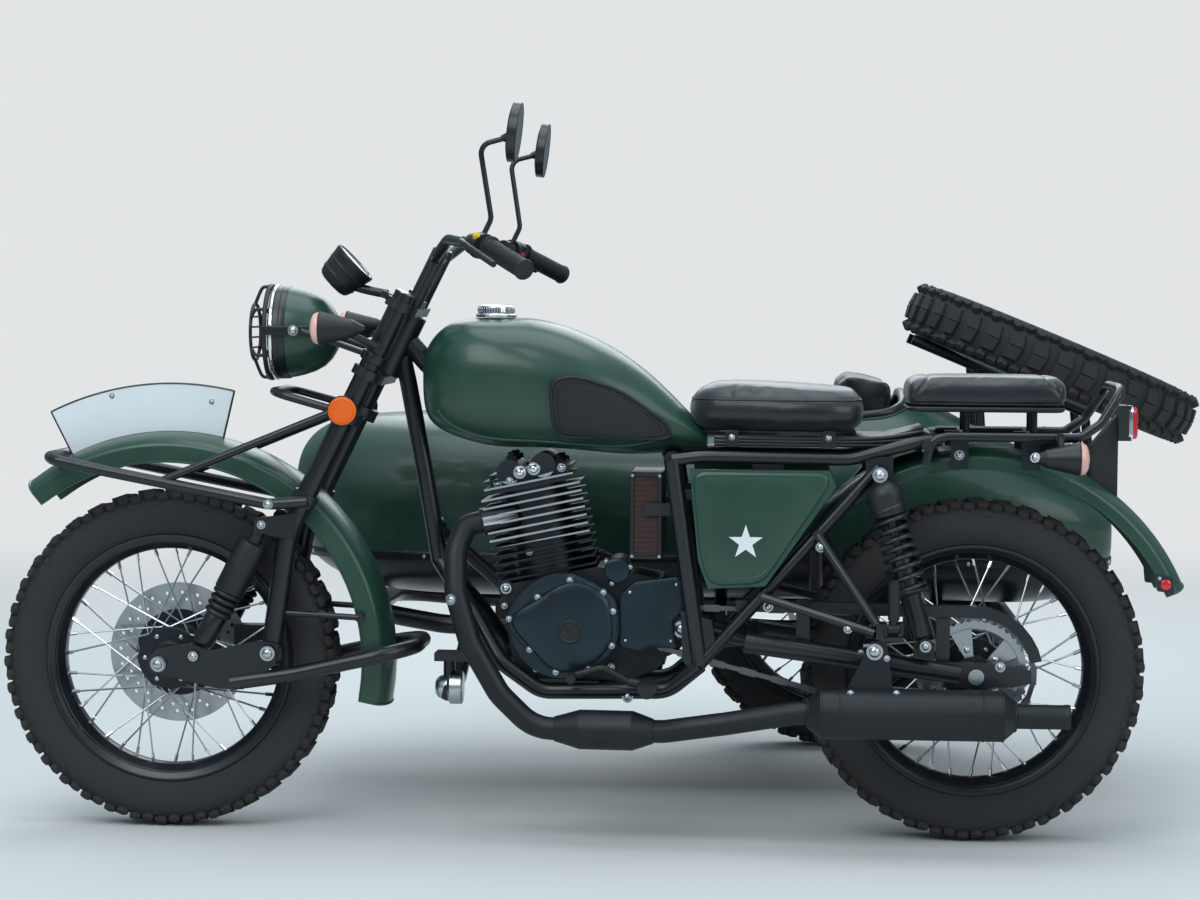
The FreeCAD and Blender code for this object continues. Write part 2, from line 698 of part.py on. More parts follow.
fender("front_fender", FRONT_AXLE, size("tyre_radius") + size("front_fender_gap"),
       size("front_fender_width"), size("front_fender_skirt"),
       size("front_fender_start"), size("front_fender_end"))
fender("rear_fender", REAR_AXLE, size("tyre_radius") + size("rear_fender_gap"),
       size("rear_fender_width"), size("rear_fender_skirt"),
       size("rear_fender_start"), size("rear_fender_end"))
fender("sidecar_fender", SIDE_AXLE, size("tyre_radius") + size("side_fender_gap"),
       size("side_fender_width"), size("side_fender_skirt"),
       size("side_fender_start"), size("side_fender_end"))


# Number plate, lamps, dial, bars and mirrors


def number_plate_shape():
    """Blank curved plate that stands along the front fender."""
    crown = size("tyre_radius") + size("front_fender_gap")
    low = crown + GAP
    high = crown + 96
    start = math.radians(63)
    end = math.radians(103)
    middle = (start + end) / 2

    def on_arc(radius, angle):
        return front(radius * math.cos(angle), -2, radius * math.sin(angle))

    edges = [Part.Arc(on_arc(low, start), on_arc(low, middle), on_arc(low, end)).toShape(),
             Part.LineSegment(on_arc(low, end), on_arc(high, end)).toShape(),
             Part.Arc(on_arc(high, end), on_arc(high, middle), on_arc(high, start)).toShape(),
             Part.LineSegment(on_arc(high, start), on_arc(low, start)).toShape()]
    return Part.Face(Part.Wire(edges)).extrude(Vector(0, 4, 0))


feature("number_plate", number_plate_shape())


def headlamp_shape():
    """Round lamp shell with its bezel, grille and side ears."""
    centre = steer(size("headlamp_along"), size("headlamp_ahead"))
    radius = size("headlamp_radius")
    depth = size("headlamp_depth")
    profile = [(0, 0), (radius, 0), (radius, -16), (radius - 3, -18), (radius - 6, -50),
               (radius * 0.72, -depth * 0.78), (radius * 0.35, -depth), (0, -depth)]
    flat = [Vector(along, 0, across) for across, along in profile]
    face = Part.Face(Part.makePolygon(flat + flat[:1]))
    shell = face.revolve(Vector(0, 0, 0), Vector(1, 0, 0), 360)
    shell.translate(centre)
    reach = size("grille_depth")
    ahead = Vector(1, 0, 0)
    rings = [pipe(centre + ahead * (reach - 6), centre + ahead * reach, 58, 52),
             pipe(centre + ahead * 4, centre + ahead * 12, radius + 1, radius - 8)]
    spokes = []
    for index in range(6):
        angle = math.radians(60 * index + 30)
        out = Vector(0, math.cos(angle), math.sin(angle))
        spokes.append(rod(centre + out * (radius - 5), centre + out * (radius - 5)
                          + ahead * (reach * 0.6), 3))
        spokes.append(rod(centre + out * (radius - 5) + ahead * (reach * 0.6),
                          centre + out * 54 + ahead * (reach - 3), 3))
    ears = []
    bores = []
    offset = size("fork_offset")
    bore = size("fork_radius") + GAP
    for side in SIDES.values():
        y = side * FORK_Y
        start = centre + Vector(-60, side * 70, 4)
        ears.append(rod(start, steer(1027, offset + bore + 2, y), 6))
        ears.append(rod(steer(1018, offset, y), steer(1036, offset, y),
                        bore + size("clamp_wall")))
        bores.append(rod(steer(1008, offset, y), steer(1046, offset, y), bore))
    return fused([shell] + rings + spokes + ears).cut(bores)


feature("headlamp", headlamp_shape())

dial_base = steer(1112, 170)
dial_axis = Vector(-math.cos(math.radians(size("dial_lean"))), 0,
                   math.sin(math.radians(size("dial_lean"))))
dial = cylinder("dial_case", dial_base, dial_axis, "dial_radius", "dial_depth")
dial_arm_shape = fused([rod(dial_base + dial_axis * 12, steer(HIGH_YOKE + 12, 62), 9),
                        brick(steer(HIGH_YOKE + 9, size("yoke_front") + 15 + GAP), 30, 40, 14,
                              -size("rake"))])
dial_arm = feature("dial_arm", dial_arm_shape)
combined("Part::MultiFuse", "instrument", [dial, dial_arm])


BAR_HALF = size("bar_half_width")
BAR_RISE = 1252
BAR_AHEAD = 1


def grip_ends(side):
    """Inner and outer end of the straight grip part of the bar."""
    return steer(1324, -112, side * (BAR_HALF - 100)), steer(1320, -194, side * (BAR_HALF - 4))


def bar_tube(radius):
    """The bent bar as thick as a radius."""
    inner, outer = grip_ends(1)
    half = [outer, inner, steer(1318, -86, 300), steer(1299, -15, 150),
            steer(BAR_RISE, BAR_AHEAD, 75), steer(BAR_RISE, BAR_AHEAD, 0)]
    return bent_tube(half + list(reversed(flipped(half[:-1]))), radius, 60)


def handlebar_shape():
    """Bent bar on two risers, with a grip at each end."""
    bar = bar_tube(size("bar_radius"))
    grips = []
    for side in SIDES.values():
        inner, outer = grip_ends(side)
        reach = outer - inner
        reach.normalize()
        grips.append(rod(outer - reach * size("grip_length"), outer + reach * 4,
                         size("grip_radius")))
    spread = size("riser_spread")
    top = HIGH_YOKE + size("yoke_thickness")
    risers = [rod(steer(top + GAP, BAR_AHEAD, side * spread),
                  steer(BAR_RISE + 16, BAR_AHEAD, side * spread), 15)
              for side in SIDES.values()]
    return fused([bar] + grips + risers)


feature("handlebar", handlebar_shape())


def hand_control(side):
    """Switch housing, lever perch and lever of one hand."""
    inner = steer(1318, -86, side * 300)
    grip, outer = grip_ends(side)
    run = grip - inner
    run.normalize()
    housing = rod(inner + run * 4, inner + run * 34, 24)
    perch = rod(inner - run * 22, inner - run * 2, 20)
    lever_root = inner - run * 12 + Vector(26, 0, 6)
    lever_tip = outer + Vector(54, 0, 8)
    lever_middle = grip + Vector(48, 0, 8)
    lever = bent_tube([lever_root, lever_middle, lever_tip], 6, 60)
    knuckle = rod(inner - run * 12, lever_root, 10)
    bore = bar_tube(size("bar_radius") + GAP)
    return fused([perch, knuckle, lever]).cut(bore), housing.cut(bore)


left_perch, left_switch = hand_control(1)
right_perch, right_switch = hand_control(-1)
feature("hand_controls", Part.makeCompound([left_perch, left_switch, right_perch, right_switch]))


def mirror_shape(side):
    """Round mirror on its bent stalk."""
    root = steer(1318, -86, side * 291) + STEER_UP * (20 + GAP)
    stalk = bent_tube([root, root + STEER_UP * 34, steer(1485, -7, side * 300),
                       steer(1514, -41, side * 305)], size("stalk_radius"), 24)
    centre = steer(1535, -56, side * 310)
    face = Vector(-1, 0, -0.12)
    face.normalize()
    half = size("mirror_thickness") / 2
    disc = rod(centre - face * half, centre + face * half, size("mirror_radius"))
    return fused([stalk, disc, rod(steer(1514, -41, side * 305), centre, 7)])


feature("mirrors", Part.makeCompound([mirror_shape(side) for side in SIDES.values()]))


def flasher(tip, direction, seat):
    """Bullet-shaped flashing lamp on an arm that ends in a boss square to its seat."""
    radius = size("flasher_radius")
    length = size("flasher_length")
    shell = spindle(tip, tip + direction * length,
                    [(0, radius * 0.8), (0.12, radius), (0.75, radius * 0.55),
                     (1, radius * 0.15)])
    outward = Vector(0, math.copysign(1, seat.y), 0)
    boss = rod(seat, seat + outward * 14, 9)
    arm = rod(tip + direction * (length * 0.45), seat + outward * 10, 7)
    return fused([shell, arm, boss])


front_flashers = []
for side in SIDES.values():
    tip = steer(1033, 138, side * size("flasher_side"))
    seat = steer(1052, size("fork_offset"), side * (FORK_OUTER + GAP))
    front_flashers.append(flasher(tip, Vector(-1, 0, 0), seat))
feature("front_indicators", Part.makeCompound(front_flashers))


# Main frame

PIVOT_X = size("arm_pivot_x")
PIVOT_RISE = size("arm_pivot_rise")
FRAME_Y = size("frame_half_span")
CRADLE_Y = size("cradle_half_span")
BACKBONE_BEND = front(-520, 0, 570)
BACKBONE_END = rear(600, 0, 440)
DOWN_TOP = front(-501, 0, 375)
DOWN_FOOT = front(-532, 0, 197)
SADDLE = rear(584, 0, 407)


def stay_point(side, share):
    """Point on the stay of one side, from its foot to its head."""
    foot = rear(527, side * FRAME_Y, 13)
    head = rear(188, side * FRAME_Y, 398)
    return foot + (head - foot) * share


def frame_side(side):
    """Cradle tube, upright, seat rail and stay of one side."""
    y = side * FRAME_Y
    cradle_y = side * CRADLE_Y
    cradle = bent_tube([DOWN_FOOT, front(-606, side * 70, 100),
                        front(-664, cradle_y, 10), rear(835, cradle_y, -45),
                        rear(590, cradle_y, -41), stay_point(side, 0)],
                       size("frame_radius"), 60)
    across = Vector(0, y, 0)
    upright = rod(stay_point(side, 0), SADDLE + across, size("frame_radius"))
    rail = bent_tube([SADDLE + across, rear(520, y, 414), rear(244, y, 411), rear(103, y, 449),
                      rear(70, y, 451)], size("rail_radius"), 120)
    stay = rod(stay_point(side, 0), stay_point(side, 1), size("rail_radius"))
    shock_pin_y = side * (size("rear_shock_half_span") - size("eye_width") / 2 - GAP)
    top = rear(size("rear_shock_top_x"), 0, size("rear_shock_top_rise"))
    pin = rod(Vector(top.x, y, top.z), Vector(top.x, shock_pin_y, top.z), 13)
    gusset = brick(Vector(top.x, y, top.z + 12), 52, 16, 44)
    skin = size("panel_inner_y") - GAP
    tab_y = side * (skin - 3)
    panel_tabs = [brick(rear(552, tab_y, 340), 44, 6, 18), brick(rear(400, tab_y, 398), 60, 6, 26)]
    box_face = size("airbox_width") / 2 + GAP
    box_lug = brick(rear(606, side * (box_face + 4), 310), 60, 8, 24)
    return [cradle, upright, rail, stay, pin, gusset, box_lug] + panel_tabs


def frame_shape():
    """Head tube, backbone, down tube, cradle, uprights and seat rails."""
    head = rod(steer(size("head_low"), 0), steer(size("head_high"), 0), size("head_radius"))
    backbone = bent_tube([steer(1085, 0), BACKBONE_BEND, BACKBONE_END],
                         size("backbone_radius"), 80)
    down = bent_tube([steer(1070, 0), steer(1005, -52), DOWN_TOP, DOWN_FOOT],
                     size("down_radius"), 200)
    reach = Vector(0, FRAME_Y, 0)
    cross = [rod(SADDLE - reach, SADDLE + reach, size("frame_radius")),
             rod(rear(86, -FRAME_Y, 451), rear(86, FRAME_Y, 451), size("rail_radius")),
             rod(rear(710, -CRADLE_Y, -43), rear(710, CRADLE_Y, -43), size("frame_radius"))]
    neck = rod(BACKBONE_END, SADDLE, size("backbone_radius"))
    pivot = rod(rear(PIVOT_X, -FRAME_Y, PIVOT_RISE), rear(PIVOT_X, FRAME_Y, PIVOT_RISE),
                size("pivot_radius"))
    pivot_plates = []
    for side in SIDES.values():
        low, high = sorted([side * (FRAME_Y + 6), side * (FRAME_Y - 6)])
        pivot_plates.append(plate([rear(505, 0, 100), rear(565, 0, 118), rear(560, 0, 20),
                                   rear(530, 0, -10), rear(495, 0, 40)], low, high))
    nose_cross = rod(front(-664, -CRADLE_Y, 10), front(-664, CRADLE_Y, 10), 14)
    nose_plate = brick(front(-596, 0, 8), 142, 60, 16)
    mount = brick(rear(size("crank_x") - 20, 0, -size("case_bottom") + size("crank_rise") - 14.3),
                  60, 2 * CRADLE_Y, 28)
    shapes = [head, backbone, down, neck, pivot, mount, nose_cross, nose_plate]
    shapes += cross + pivot_plates
    shapes += frame_side(1) + frame_side(-1)
    bore = rod(steer(size("head_low") - 5, 0), steer(size("head_high") + 5, 0),
               size("stem_radius") + size("running_fit"))
    return fused(shapes).cut(bore)


feature("main_frame", frame_shape())


# Swing arm, rear axle, rear shocks and chain


def arm_side(side):
    """One tube of the swing arm with its axle plate and shock lug."""
    y = side * size("arm_half_span")
    radius = size("arm_radius")
    tube = bent_tube([rear(440, y, 58), rear(325, y, 43), rear(30, y, 2)], radius, 200)
    low, high = sorted([y - 6, y + 6])
    end = plate([rear(60, 0, 26), rear(60, 0, -22), rear(-70, 0, -20), rear(-105, 0, -12),
                 rear(-105, 0, 12), rear(-70, 0, 20), rear(-20, 0, 26)], low, high)
    foot = rear(size("rear_shock_foot_x"), 0, size("rear_shock_foot_rise"))
    shock_y = side * (size("rear_shock_half_span") - size("eye_width") / 2 - GAP)
    pin = rod(Vector(foot.x, y, foot.z), Vector(foot.x, shock_y, foot.z), 11)
    lug = brick(Vector(foot.x, y, foot.z - 16), 40, 12, 50)
    return [tube, end, pin, lug]


def swing_arm_shape():
    """Rear swing arm with its cross tube, axle plates and shock lugs."""
    y = size("arm_half_span")
    cross = rod(rear(425, -y, 57), rear(425, y, 57), 18)
    nose = [rod(rear(440, side * 60, 58), rear(PIVOT_X - 16, side * 60, PIVOT_RISE), 14)
            for side in SIDES.values()]
    bore = rod(rear(0, -y - 20, 0), rear(0, y + 20, 0),
               size("axle_radius") + size("running_fit"))
    pivot_clear = rod(rear(PIVOT_X, -100, PIVOT_RISE), rear(PIVOT_X, 100, PIVOT_RISE),
                      size("pivot_radius") + GAP)
    brake = caliper(REAR_AXLE, 94, 72, -DISC_Y, size("rear_disc_radius"))
    bridge = brick(rear(106, -(DISC_Y + 20 + y) / 2, 36), 30, y - DISC_Y - 20, 32)
    lugs = [brick(rear(x, size("guard_skirt_y") + GAP + 3, rise), 26, 6, 96)
            for x, rise in ((330, 92), (62, 60))]
    shapes = [cross, brake, bridge] + nose + arm_side(1) + arm_side(-1) + lugs
    return fused(shapes).cut([bore, pivot_clear])


feature("swing_arm", swing_arm_shape())

ARM_FACE = size("arm_half_span") - 6
feature("rear_axle", axle_shape(REAR_AXLE, ARM_FACE - GAP, ARM_FACE - GAP,
                                SPROCKET_LEFT + size("sprocket_thickness"), size("hub_right"),
                                ARM_FACE + 12, ARM_FACE + 12))

rear_shock = shock(
    rear(size("rear_shock_foot_x"), size("rear_shock_half_span"), size("rear_shock_foot_rise")),
    rear(size("rear_shock_top_x"), size("rear_shock_half_span"), size("rear_shock_top_rise")),
    size("rear_shock_radius"), 9)
feature("rear_shocks", Part.makeCompound(both_sides(rear_shock)))


def chain_runs():
    """Slope of the chain line, half wrap of the small sprocket, straight run and whole length."""
    big = size("rear_sprocket_radius")
    small = size("front_sprocket_radius")
    line = Vector(size("drive_x"), 0, size("drive_rise"))
    slope = math.atan2(line.z, line.x)
    flare = math.acos((big - small) / line.Length)
    run = math.sqrt(line.Length ** 2 - (big - small) ** 2)
    total = 2 * run + small * 2 * flare + big * 2 * (math.pi - flare)
    return slope, flare, run, total


def chord_radius(radius):
    """Least distance of the straight links from a sprocket centre."""
    pitch = chain_runs()[3] / size("chain_links")
    return radius * math.cos(pitch / radius / 2)


def chain_path():
    """Points of the chain line at equal steps, with the direction outward at each."""
    big = size("rear_sprocket_radius")
    small = size("front_sprocket_radius")
    big_centre = REAR_AXLE
    small_centre = rear(size("drive_x"), 0, size("drive_rise"))
    slope, flare, run, total = chain_runs()
    small_wrap = 2 * flare
    big_wrap = 2 * math.pi - small_wrap
    count = int(size("chain_links"))
    points = []
    for index in range(count):
        travel = total * index / count
        if travel < small * small_wrap:
            angle = slope - flare + travel / small
            centre, radius = small_centre, small
            back = 0
        elif travel < small * small_wrap + run:
            angle = slope + flare
            centre, radius = small_centre, small
            back = travel - small * small_wrap
        elif travel < small * small_wrap + run + big * big_wrap:
            angle = slope + flare + (travel - small * small_wrap - run) / big
            centre, radius = big_centre, big
            back = 0
        else:
            angle = slope - flare
            centre, radius = big_centre, big
            back = travel - small * small_wrap - run - big * big_wrap
        out = Vector(math.cos(angle), 0, math.sin(angle))
        tangent = Vector(-math.sin(angle), 0, math.cos(angle))
        points.append((centre + out * radius + tangent * back, out))
    return points


def chain_shape():
    """Closed chain whose links are wide and narrow in turn."""
    stations = chain_path()
    outer = (size("chain_height") / 2, size("chain_width") / 2)
    waist = size("chain_waist") / 2
    inner = (outer[0] - waist, outer[1] - waist)

    def ring(index, half):
        centre, out = stations[index % len(stations)]
        across = Vector(0, 1, 0)
        middle = centre + across * size("chain_y")
        return [middle + out * (up * half[0]) + across * (side * half[1])
                for up, side in ((1, 1), (-1, 1), (-1, -1), (1, -1))]

    faces = []
    for index in range(len(stations)):
        half = outer if index % 2 == 0 else inner
        here = ring(index, half)
        ahead = ring(index + 1, half)
        for corner in range(4):
            after = (corner + 1) % 4
            for triangle in ([here[corner], here[after], ahead[after]],
                             [here[corner], ahead[after], ahead[corner]]):
                faces.append(Part.Face(Part.makePolygon(triangle + triangle[:1])))
        wide = ring(index + 1, outer)
        narrow = ring(index + 1, inner)
        for corner in range(4):
            after = (corner + 1) % 4
            wall = [wide[corner], wide[after], narrow[after], narrow[corner], wide[corner]]
            faces.append(Part.Face(Part.makePolygon(wall)))
    shell = Part.makeShell(faces)
    shell.sewShape()
    solid = Part.makeSolid(shell)
    if solid.Volume < 0:
        solid.reverse()
    return solid


feature("drive_chain", chain_shape())


def chain_guard_shape():
    """Guard over the top run of the chain, with a skirt on its left side."""
    slope, flare, run, total = chain_runs()
    big = size("rear_sprocket_radius")
    inner = size("chain_height") / 2 + size("sprocket_clearance") + 3
    skirt_y = size("guard_skirt_y")

    def edge(rise):
        points = []
        for share in (0.78, 0):
            out = Vector(math.cos(slope + flare), 0, math.sin(slope + flare))
            along = Vector(math.sin(slope + flare), 0, -math.cos(slope + flare))
            points.append(REAR_AXLE + out * (big + rise) + along * (run * share))
        for step in range(1, 8):
            angle = slope + flare + math.radians(11 * step)
            points.append(REAR_AXLE + Vector(math.cos(angle), 0, math.sin(angle)) * (big + rise))
        return points

    roof = plate(edge(inner + 3) + list(reversed(edge(inner))), skirt_y - 28, skirt_y)
    skirt = plate(edge(inner + 3) + list(reversed(edge(-4))), skirt_y - 3, skirt_y)
    return roof.fuse(skirt)


feature("chain_guard", chain_guard_shape())


# Engine

LEAN = math.radians(size("cylinder_lean"))
BARREL_UP = Vector(math.sin(LEAN), 0, math.cos(LEAN))
BARREL_FOOT = engine(52, 0, size("deck_rise") - 4)


def barrel_point(rise, ahead=0, side=0):
    """Point up the leaning cylinder from its foot."""
    forward = Vector(math.cos(LEAN), 0, -math.sin(LEAN))
    return BARREL_FOOT + BARREL_UP * rise + forward * ahead + Vector(0, side, 0)


def exhaust_port():
    """Outer end of the exhaust port and the direction in which it points."""
    rise = (size("fin_count") - 3) * size("fin_pitch")
    end = barrel_point(rise, 108, 58)
    out = end - barrel_point(rise, 40, 40)
    out.normalize()
    return end, out


def engine_case_shape():
    """Crankcase with its round left cover, gearbox cover and the fixed front sprocket."""
    half = size("case_half_width")
    bottom = -size("case_bottom")
    corners = [engine(-105, 0, bottom), engine(95, 0, bottom), engine(120, 0, bottom + 40),
               engine(138, 0, 0), barrel_point(0, 98), barrel_point(0, -98),
               engine(-170, 0, 60), engine(-205, 0, 20), engine(-205, 0, -60),
               engine(-160, 0, bottom + 20)]
    block = plate(corners, -half, half)
    depth = size("cover_depth")
    cover = rod(engine(20, half, -30), engine(20, half + depth, -30), size("cover_radius"))
    clutch = rod(engine(-12, -half, -6), engine(-12, -half - depth, -6),
                 size("cover_radius") + 8)
    drive = rear(size("drive_x"), 0, size("drive_rise"))
    gearbox = rod(Vector(drive.x + 20, -half, drive.z), Vector(drive.x + 20, half, drive.z), 60)
    shaft = rod(Vector(drive.x, 0, drive.z), Vector(drive.x, size("chain_y") + 8, drive.z), 16)
    sprocket_edge = chord_radius(size("front_sprocket_radius")) - size("chain_height") / 2 - GAP
    sprocket_side = size("sprocket_thickness") / 2
    small_sprocket = rod(Vector(drive.x, size("chain_y") - sprocket_side, drive.z),
                         Vector(drive.x, size("chain_y") + sprocket_side, drive.z),
                         sprocket_edge)
    starter = rod(engine(-83, -20, 77), engine(-83, 92, 77), 24)
    neck = brick(engine(-84, 20, 60), 40, 60, 60)
    return fused([block, cover, clutch, gearbox, shaft, small_sprocket, starter, neck])


feature("engine_case", engine_case_shape())


def barrel_shape():
    """Finned barrel with its exhaust stub."""
    lean = size("cylinder_lean")
    count = int(size("fin_count"))
    pitch = size("fin_pitch")
    height = count * pitch
    shapes = [rod(barrel_point(GAP), barrel_point(height), size("bore_wall_radius"))]
    for index in range(count):
        shapes.append(brick(barrel_point(pitch * (index + 0.5)), size("fin_length"),
                            size("fin_width"), size("fin_thickness"), lean))
    port, out = exhaust_port()
    shapes.append(rod(port - out * 70, port, 27))
    return fused(shapes)


feature("engine_cylinder", barrel_shape())


def engine_head_shape():
    """Cylinder head with two fins and its rocker covers."""
    lean = size("cylinder_lean")
    base = size("fin_count") * size("fin_pitch")
    high = size("head_height")
    width = size("fin_width")
    shapes = [brick(barrel_point(base + GAP + high * 0.3), 150, width - 16, high * 0.6, lean)]
    for rise in (12, 26):
        shapes.append(brick(barrel_point(base + rise), size("fin_length") - 20, width,
                            size("fin_thickness"), lean))
    for ahead in (34, -34):
        shapes.append(rod(barrel_point(base + high * 0.62, ahead, -width / 2),
                          barrel_point(base + high * 0.62, ahead, width / 2), 24))
    return fused(shapes)


feature("engine_head", engine_head_shape())


def exhaust_shape():
    """Header, collector, muffler and tail pipe of the left side."""
    port, out = exhaust_port()
    start = port + out * GAP
    radius = size("header_radius")
    y = size("muffler_y")
    wide = size("collector_radius")
    low = -222
    header = bent_tube([start, start + out * 30, engine(230, 104, 110), engine(226, 128, 34),
                        engine(196, 142, -62), engine(138, 153, -158), engine(70, 160, low),
                        engine(-20, 166, low)], radius, 90)
    chamber = spindle(engine(30, 163, low), engine(-160, 175, low),
                      [(0, radius + 2), (0.26, wide), (0.79, wide), (1, radius + 2)])
    front_x = size("muffler_front_x")
    rise = size("muffler_rise")
    link_pipe = bent_tube([engine(-140, 173, low), engine(-180, 176, low),
                           engine(-300, 194, low + 20), rear(front_x + 20, y, rise),
                           rear(front_x - 10, y, rise)], radius, 90)
    back_x = front_x - size("muffler_length")
    body = size("muffler_radius")
    muffler = spindle(rear(front_x, y, rise), rear(back_x, y, rise),
                      [(0, radius + 6), (0.06, body), (0.94, body), (1, radius + 6)])
    tail = rod(rear(back_x + 4, y, rise), rear(back_x - size("tail_pipe_length"), y, rise),
               size("tail_pipe_radius"))
    hanger = size("peg_pivot_rise") - size("peg_bridge_drop") - GAP
    bracket = plate([rear(250, 0, rise + 40), rear(160, 0, rise + 40), rear(174, 0, hanger),
                     rear(202, 0, hanger)], y - 4, y + 2)
    return fused([header, chamber, link_pipe, muffler, tail, bracket])


feature("exhaust", exhaust_shape())

AIRBOX_PLACE = rear(604, -size("airbox_width") / 2, 214)
primitive("Part::Box", "airbox", Placement(AIRBOX_PLACE, Rotation()), Length="airbox_length",
          Width="airbox_width", Height="airbox_height")


# Tank, cap, knee pads, side panels and seats

# Each tank station: ahead of the rear axle, middle rise, half width, height up, height down
TANK_STATIONS = [(1074, 560, 0.30, 36, 40), (1064, 560, 0.52, 66, 84), (1034, 560, 0.74, 98, 108),
                 (975, 560, 0.93, 115, 128), (880, 555, 1.0, 121, 132), (760, 530, 0.97, 116, 112),
                 (655, 500, 0.80, 86, 88), (575, 470, 0.56, 44, 52), (520, 440, 0.34, 22, 20)]


def tank_loft(grown):
    """Closed outer form of the tank, grown by a clearance."""
    width = size("tank_half_width")
    last = len(TANK_STATIONS) - 1
    sections = []
    for index, (x, rise, share, up, down) in enumerate(TANK_STATIONS):
        if index == 0:
            x += grown
        if index == last:
            x -= grown
        sections.append(oval(0, AXLE_HEIGHT + rise, width * share + grown, up + grown,
                             down + grown, 2.5, x))
    return Part.makeLoft(list(reversed(sections)), True, False)


def tank_shape():
    """Teardrop tank, open below for the backbone."""
    width = size("tank_half_width")
    body = tank_loft(0)
    half = size("tunnel_half_width")
    run = BACKBONE_BEND - BACKBONE_END
    run.normalize()
    lift = Vector(-run.z, 0, run.x) * (size("backbone_radius") + GAP)
    roof_back = BACKBONE_END + lift - run * 120
    roof_front = BACKBONE_BEND + lift - run * 30
    tunnel = plate([roof_back, roof_back - Vector(0, 0, 200), front(-440, 0, 200),
                    front(-440, 0, 700), roof_front], -half, half)
    saddle = rod(SADDLE - Vector(0, width, 0), SADDLE + Vector(0, width, 0),
                 size("frame_radius") + GAP)
    return body.cut([tunnel, saddle])


tank = feature("fuel_tank", tank_shape())


CAP_X = 936
column = rod(Vector(CAP_X, 0, AXLE_HEIGHT), Vector(CAP_X, 0, 4 * AXLE_HEIGHT), size("cap_radius"))
CAP_BASE = Vector(CAP_X, 0, tank.Shape.common(column).optimalBoundingBox().ZMax + GAP)
cylinder("fuel_cap", CAP_BASE, Vector(0, 0, 1), "cap_radius", "cap_height")


def knee_pad_shape(side):
    """Rubber pad on one side of the tank."""
    corners = [rear(818, 0, 558), rear(812, 0, 463), rear(798, 0, 448), rear(584, 0, 444),
               rear(592, 0, 475), rear(684, 0, 541), rear(770, 0, 568)]
    thick = size("pad_thickness")
    low, high = sorted([side * 40, side * (size("tank_half_width") + thick)])
    slab = plate(corners, low, high)
    return slab.common(tank_loft(thick)).cut(tank_loft(GAP))


feature("knee_pads", Part.makeCompound([knee_pad_shape(side) for side in SIDES.values()]))


def side_panel_shape():
    """Three-cornered cover between the upright, the rail and the stay."""
    corners = [rear(549, 0, 390), rear(282, 0, 390), rear(270, 0, 360), rear(403, 0, 168),
               rear(512, 0, 162), rear(532, 0, 216)]
    inner = size("panel_inner_y")
    stay = rod(stay_point(1, 0), stay_point(1, 1), size("rail_radius") + GAP)
    return plate(corners, inner, inner + size("panel_depth")).cut(stay)


feature("side_panels", Part.makeCompound(both_sides(side_panel_shape())))


def seat_shape():
    """Broad rider seat, narrow at its nose."""
    x = size("seat_front_x")
    length = size("seat_length")
    half = size("seat_half_width")
    bottom = size("tray_bottom_rise") + size("tray_thickness") + GAP
    high = size("seat_height")
    stations = [(0.0, 0.30, 0.34), (0.08, 0.52, 0.60), (0.3, 0.80, 0.80), (0.6, 1.0, 0.92),
                (0.85, 0.97, 0.98), (0.97, 0.80, 0.86), (1.0, 0.62, 0.62)]
    sections = [oval(0, AXLE_HEIGHT + bottom + high * 0.4, half * wide, high * 0.6 * tall,
                     high * 0.4 * min(1, tall + 0.15), 3, x - length * along)
                for along, wide, tall in stations]
    under = brick(rear(x - length / 2, 0, bottom - high / 2), 2 * length, 4 * half, high)
    cushion = Part.makeLoft(list(reversed(sections)), True, False)
    return cushion.cut([tank_loft(GAP), under])


feature("rider_seat", seat_shape())


def pillion_shape():
    """Flat passenger pad with rounded corners."""
    length = size("pillion_length")
    half = size("pillion_half_width")
    high = size("pillion_height")
    x = size("pillion_front_x")
    stations = [(0.0, 0.72, 0.5), (0.06, 0.94, 0.85), (0.3, 1.0, 1.0), (0.8, 1.0, 1.0),
                (0.95, 0.92, 0.85), (1.0, 0.7, 0.5)]
    centre = AXLE_HEIGHT + size("pillion_bottom_rise") + high / 2
    sections = [oval(0, centre, half * wide, high / 2 * tall, high / 2 * tall, 3.4,
                     x - length * along) for along, wide, tall in stations]
    return Part.makeLoft(list(reversed(sections)), True, False)


feature("passenger_seat", pillion_shape())


def tray_shape():
    """Deck between the seat rails, from the tank to the cross tube behind the seat."""
    half = size("tray_half_width")
    low = size("tray_bottom_rise")
    thick = size("tray_thickness")
    back = size("tray_back_x")
    length = size("tray_length")
    deck = brick(rear(back + length / 2, 0, low + thick / 2), length, 2 * half, thick)
    ramp = plate([rear(back, 0, low + thick), rear(back, 0, low + thick + 18),
                  rear(back + 70, 0, low + thick)], -half + 14, half - 14)
    return fused([deck, ramp])


feature("tail_tray", tray_shape())


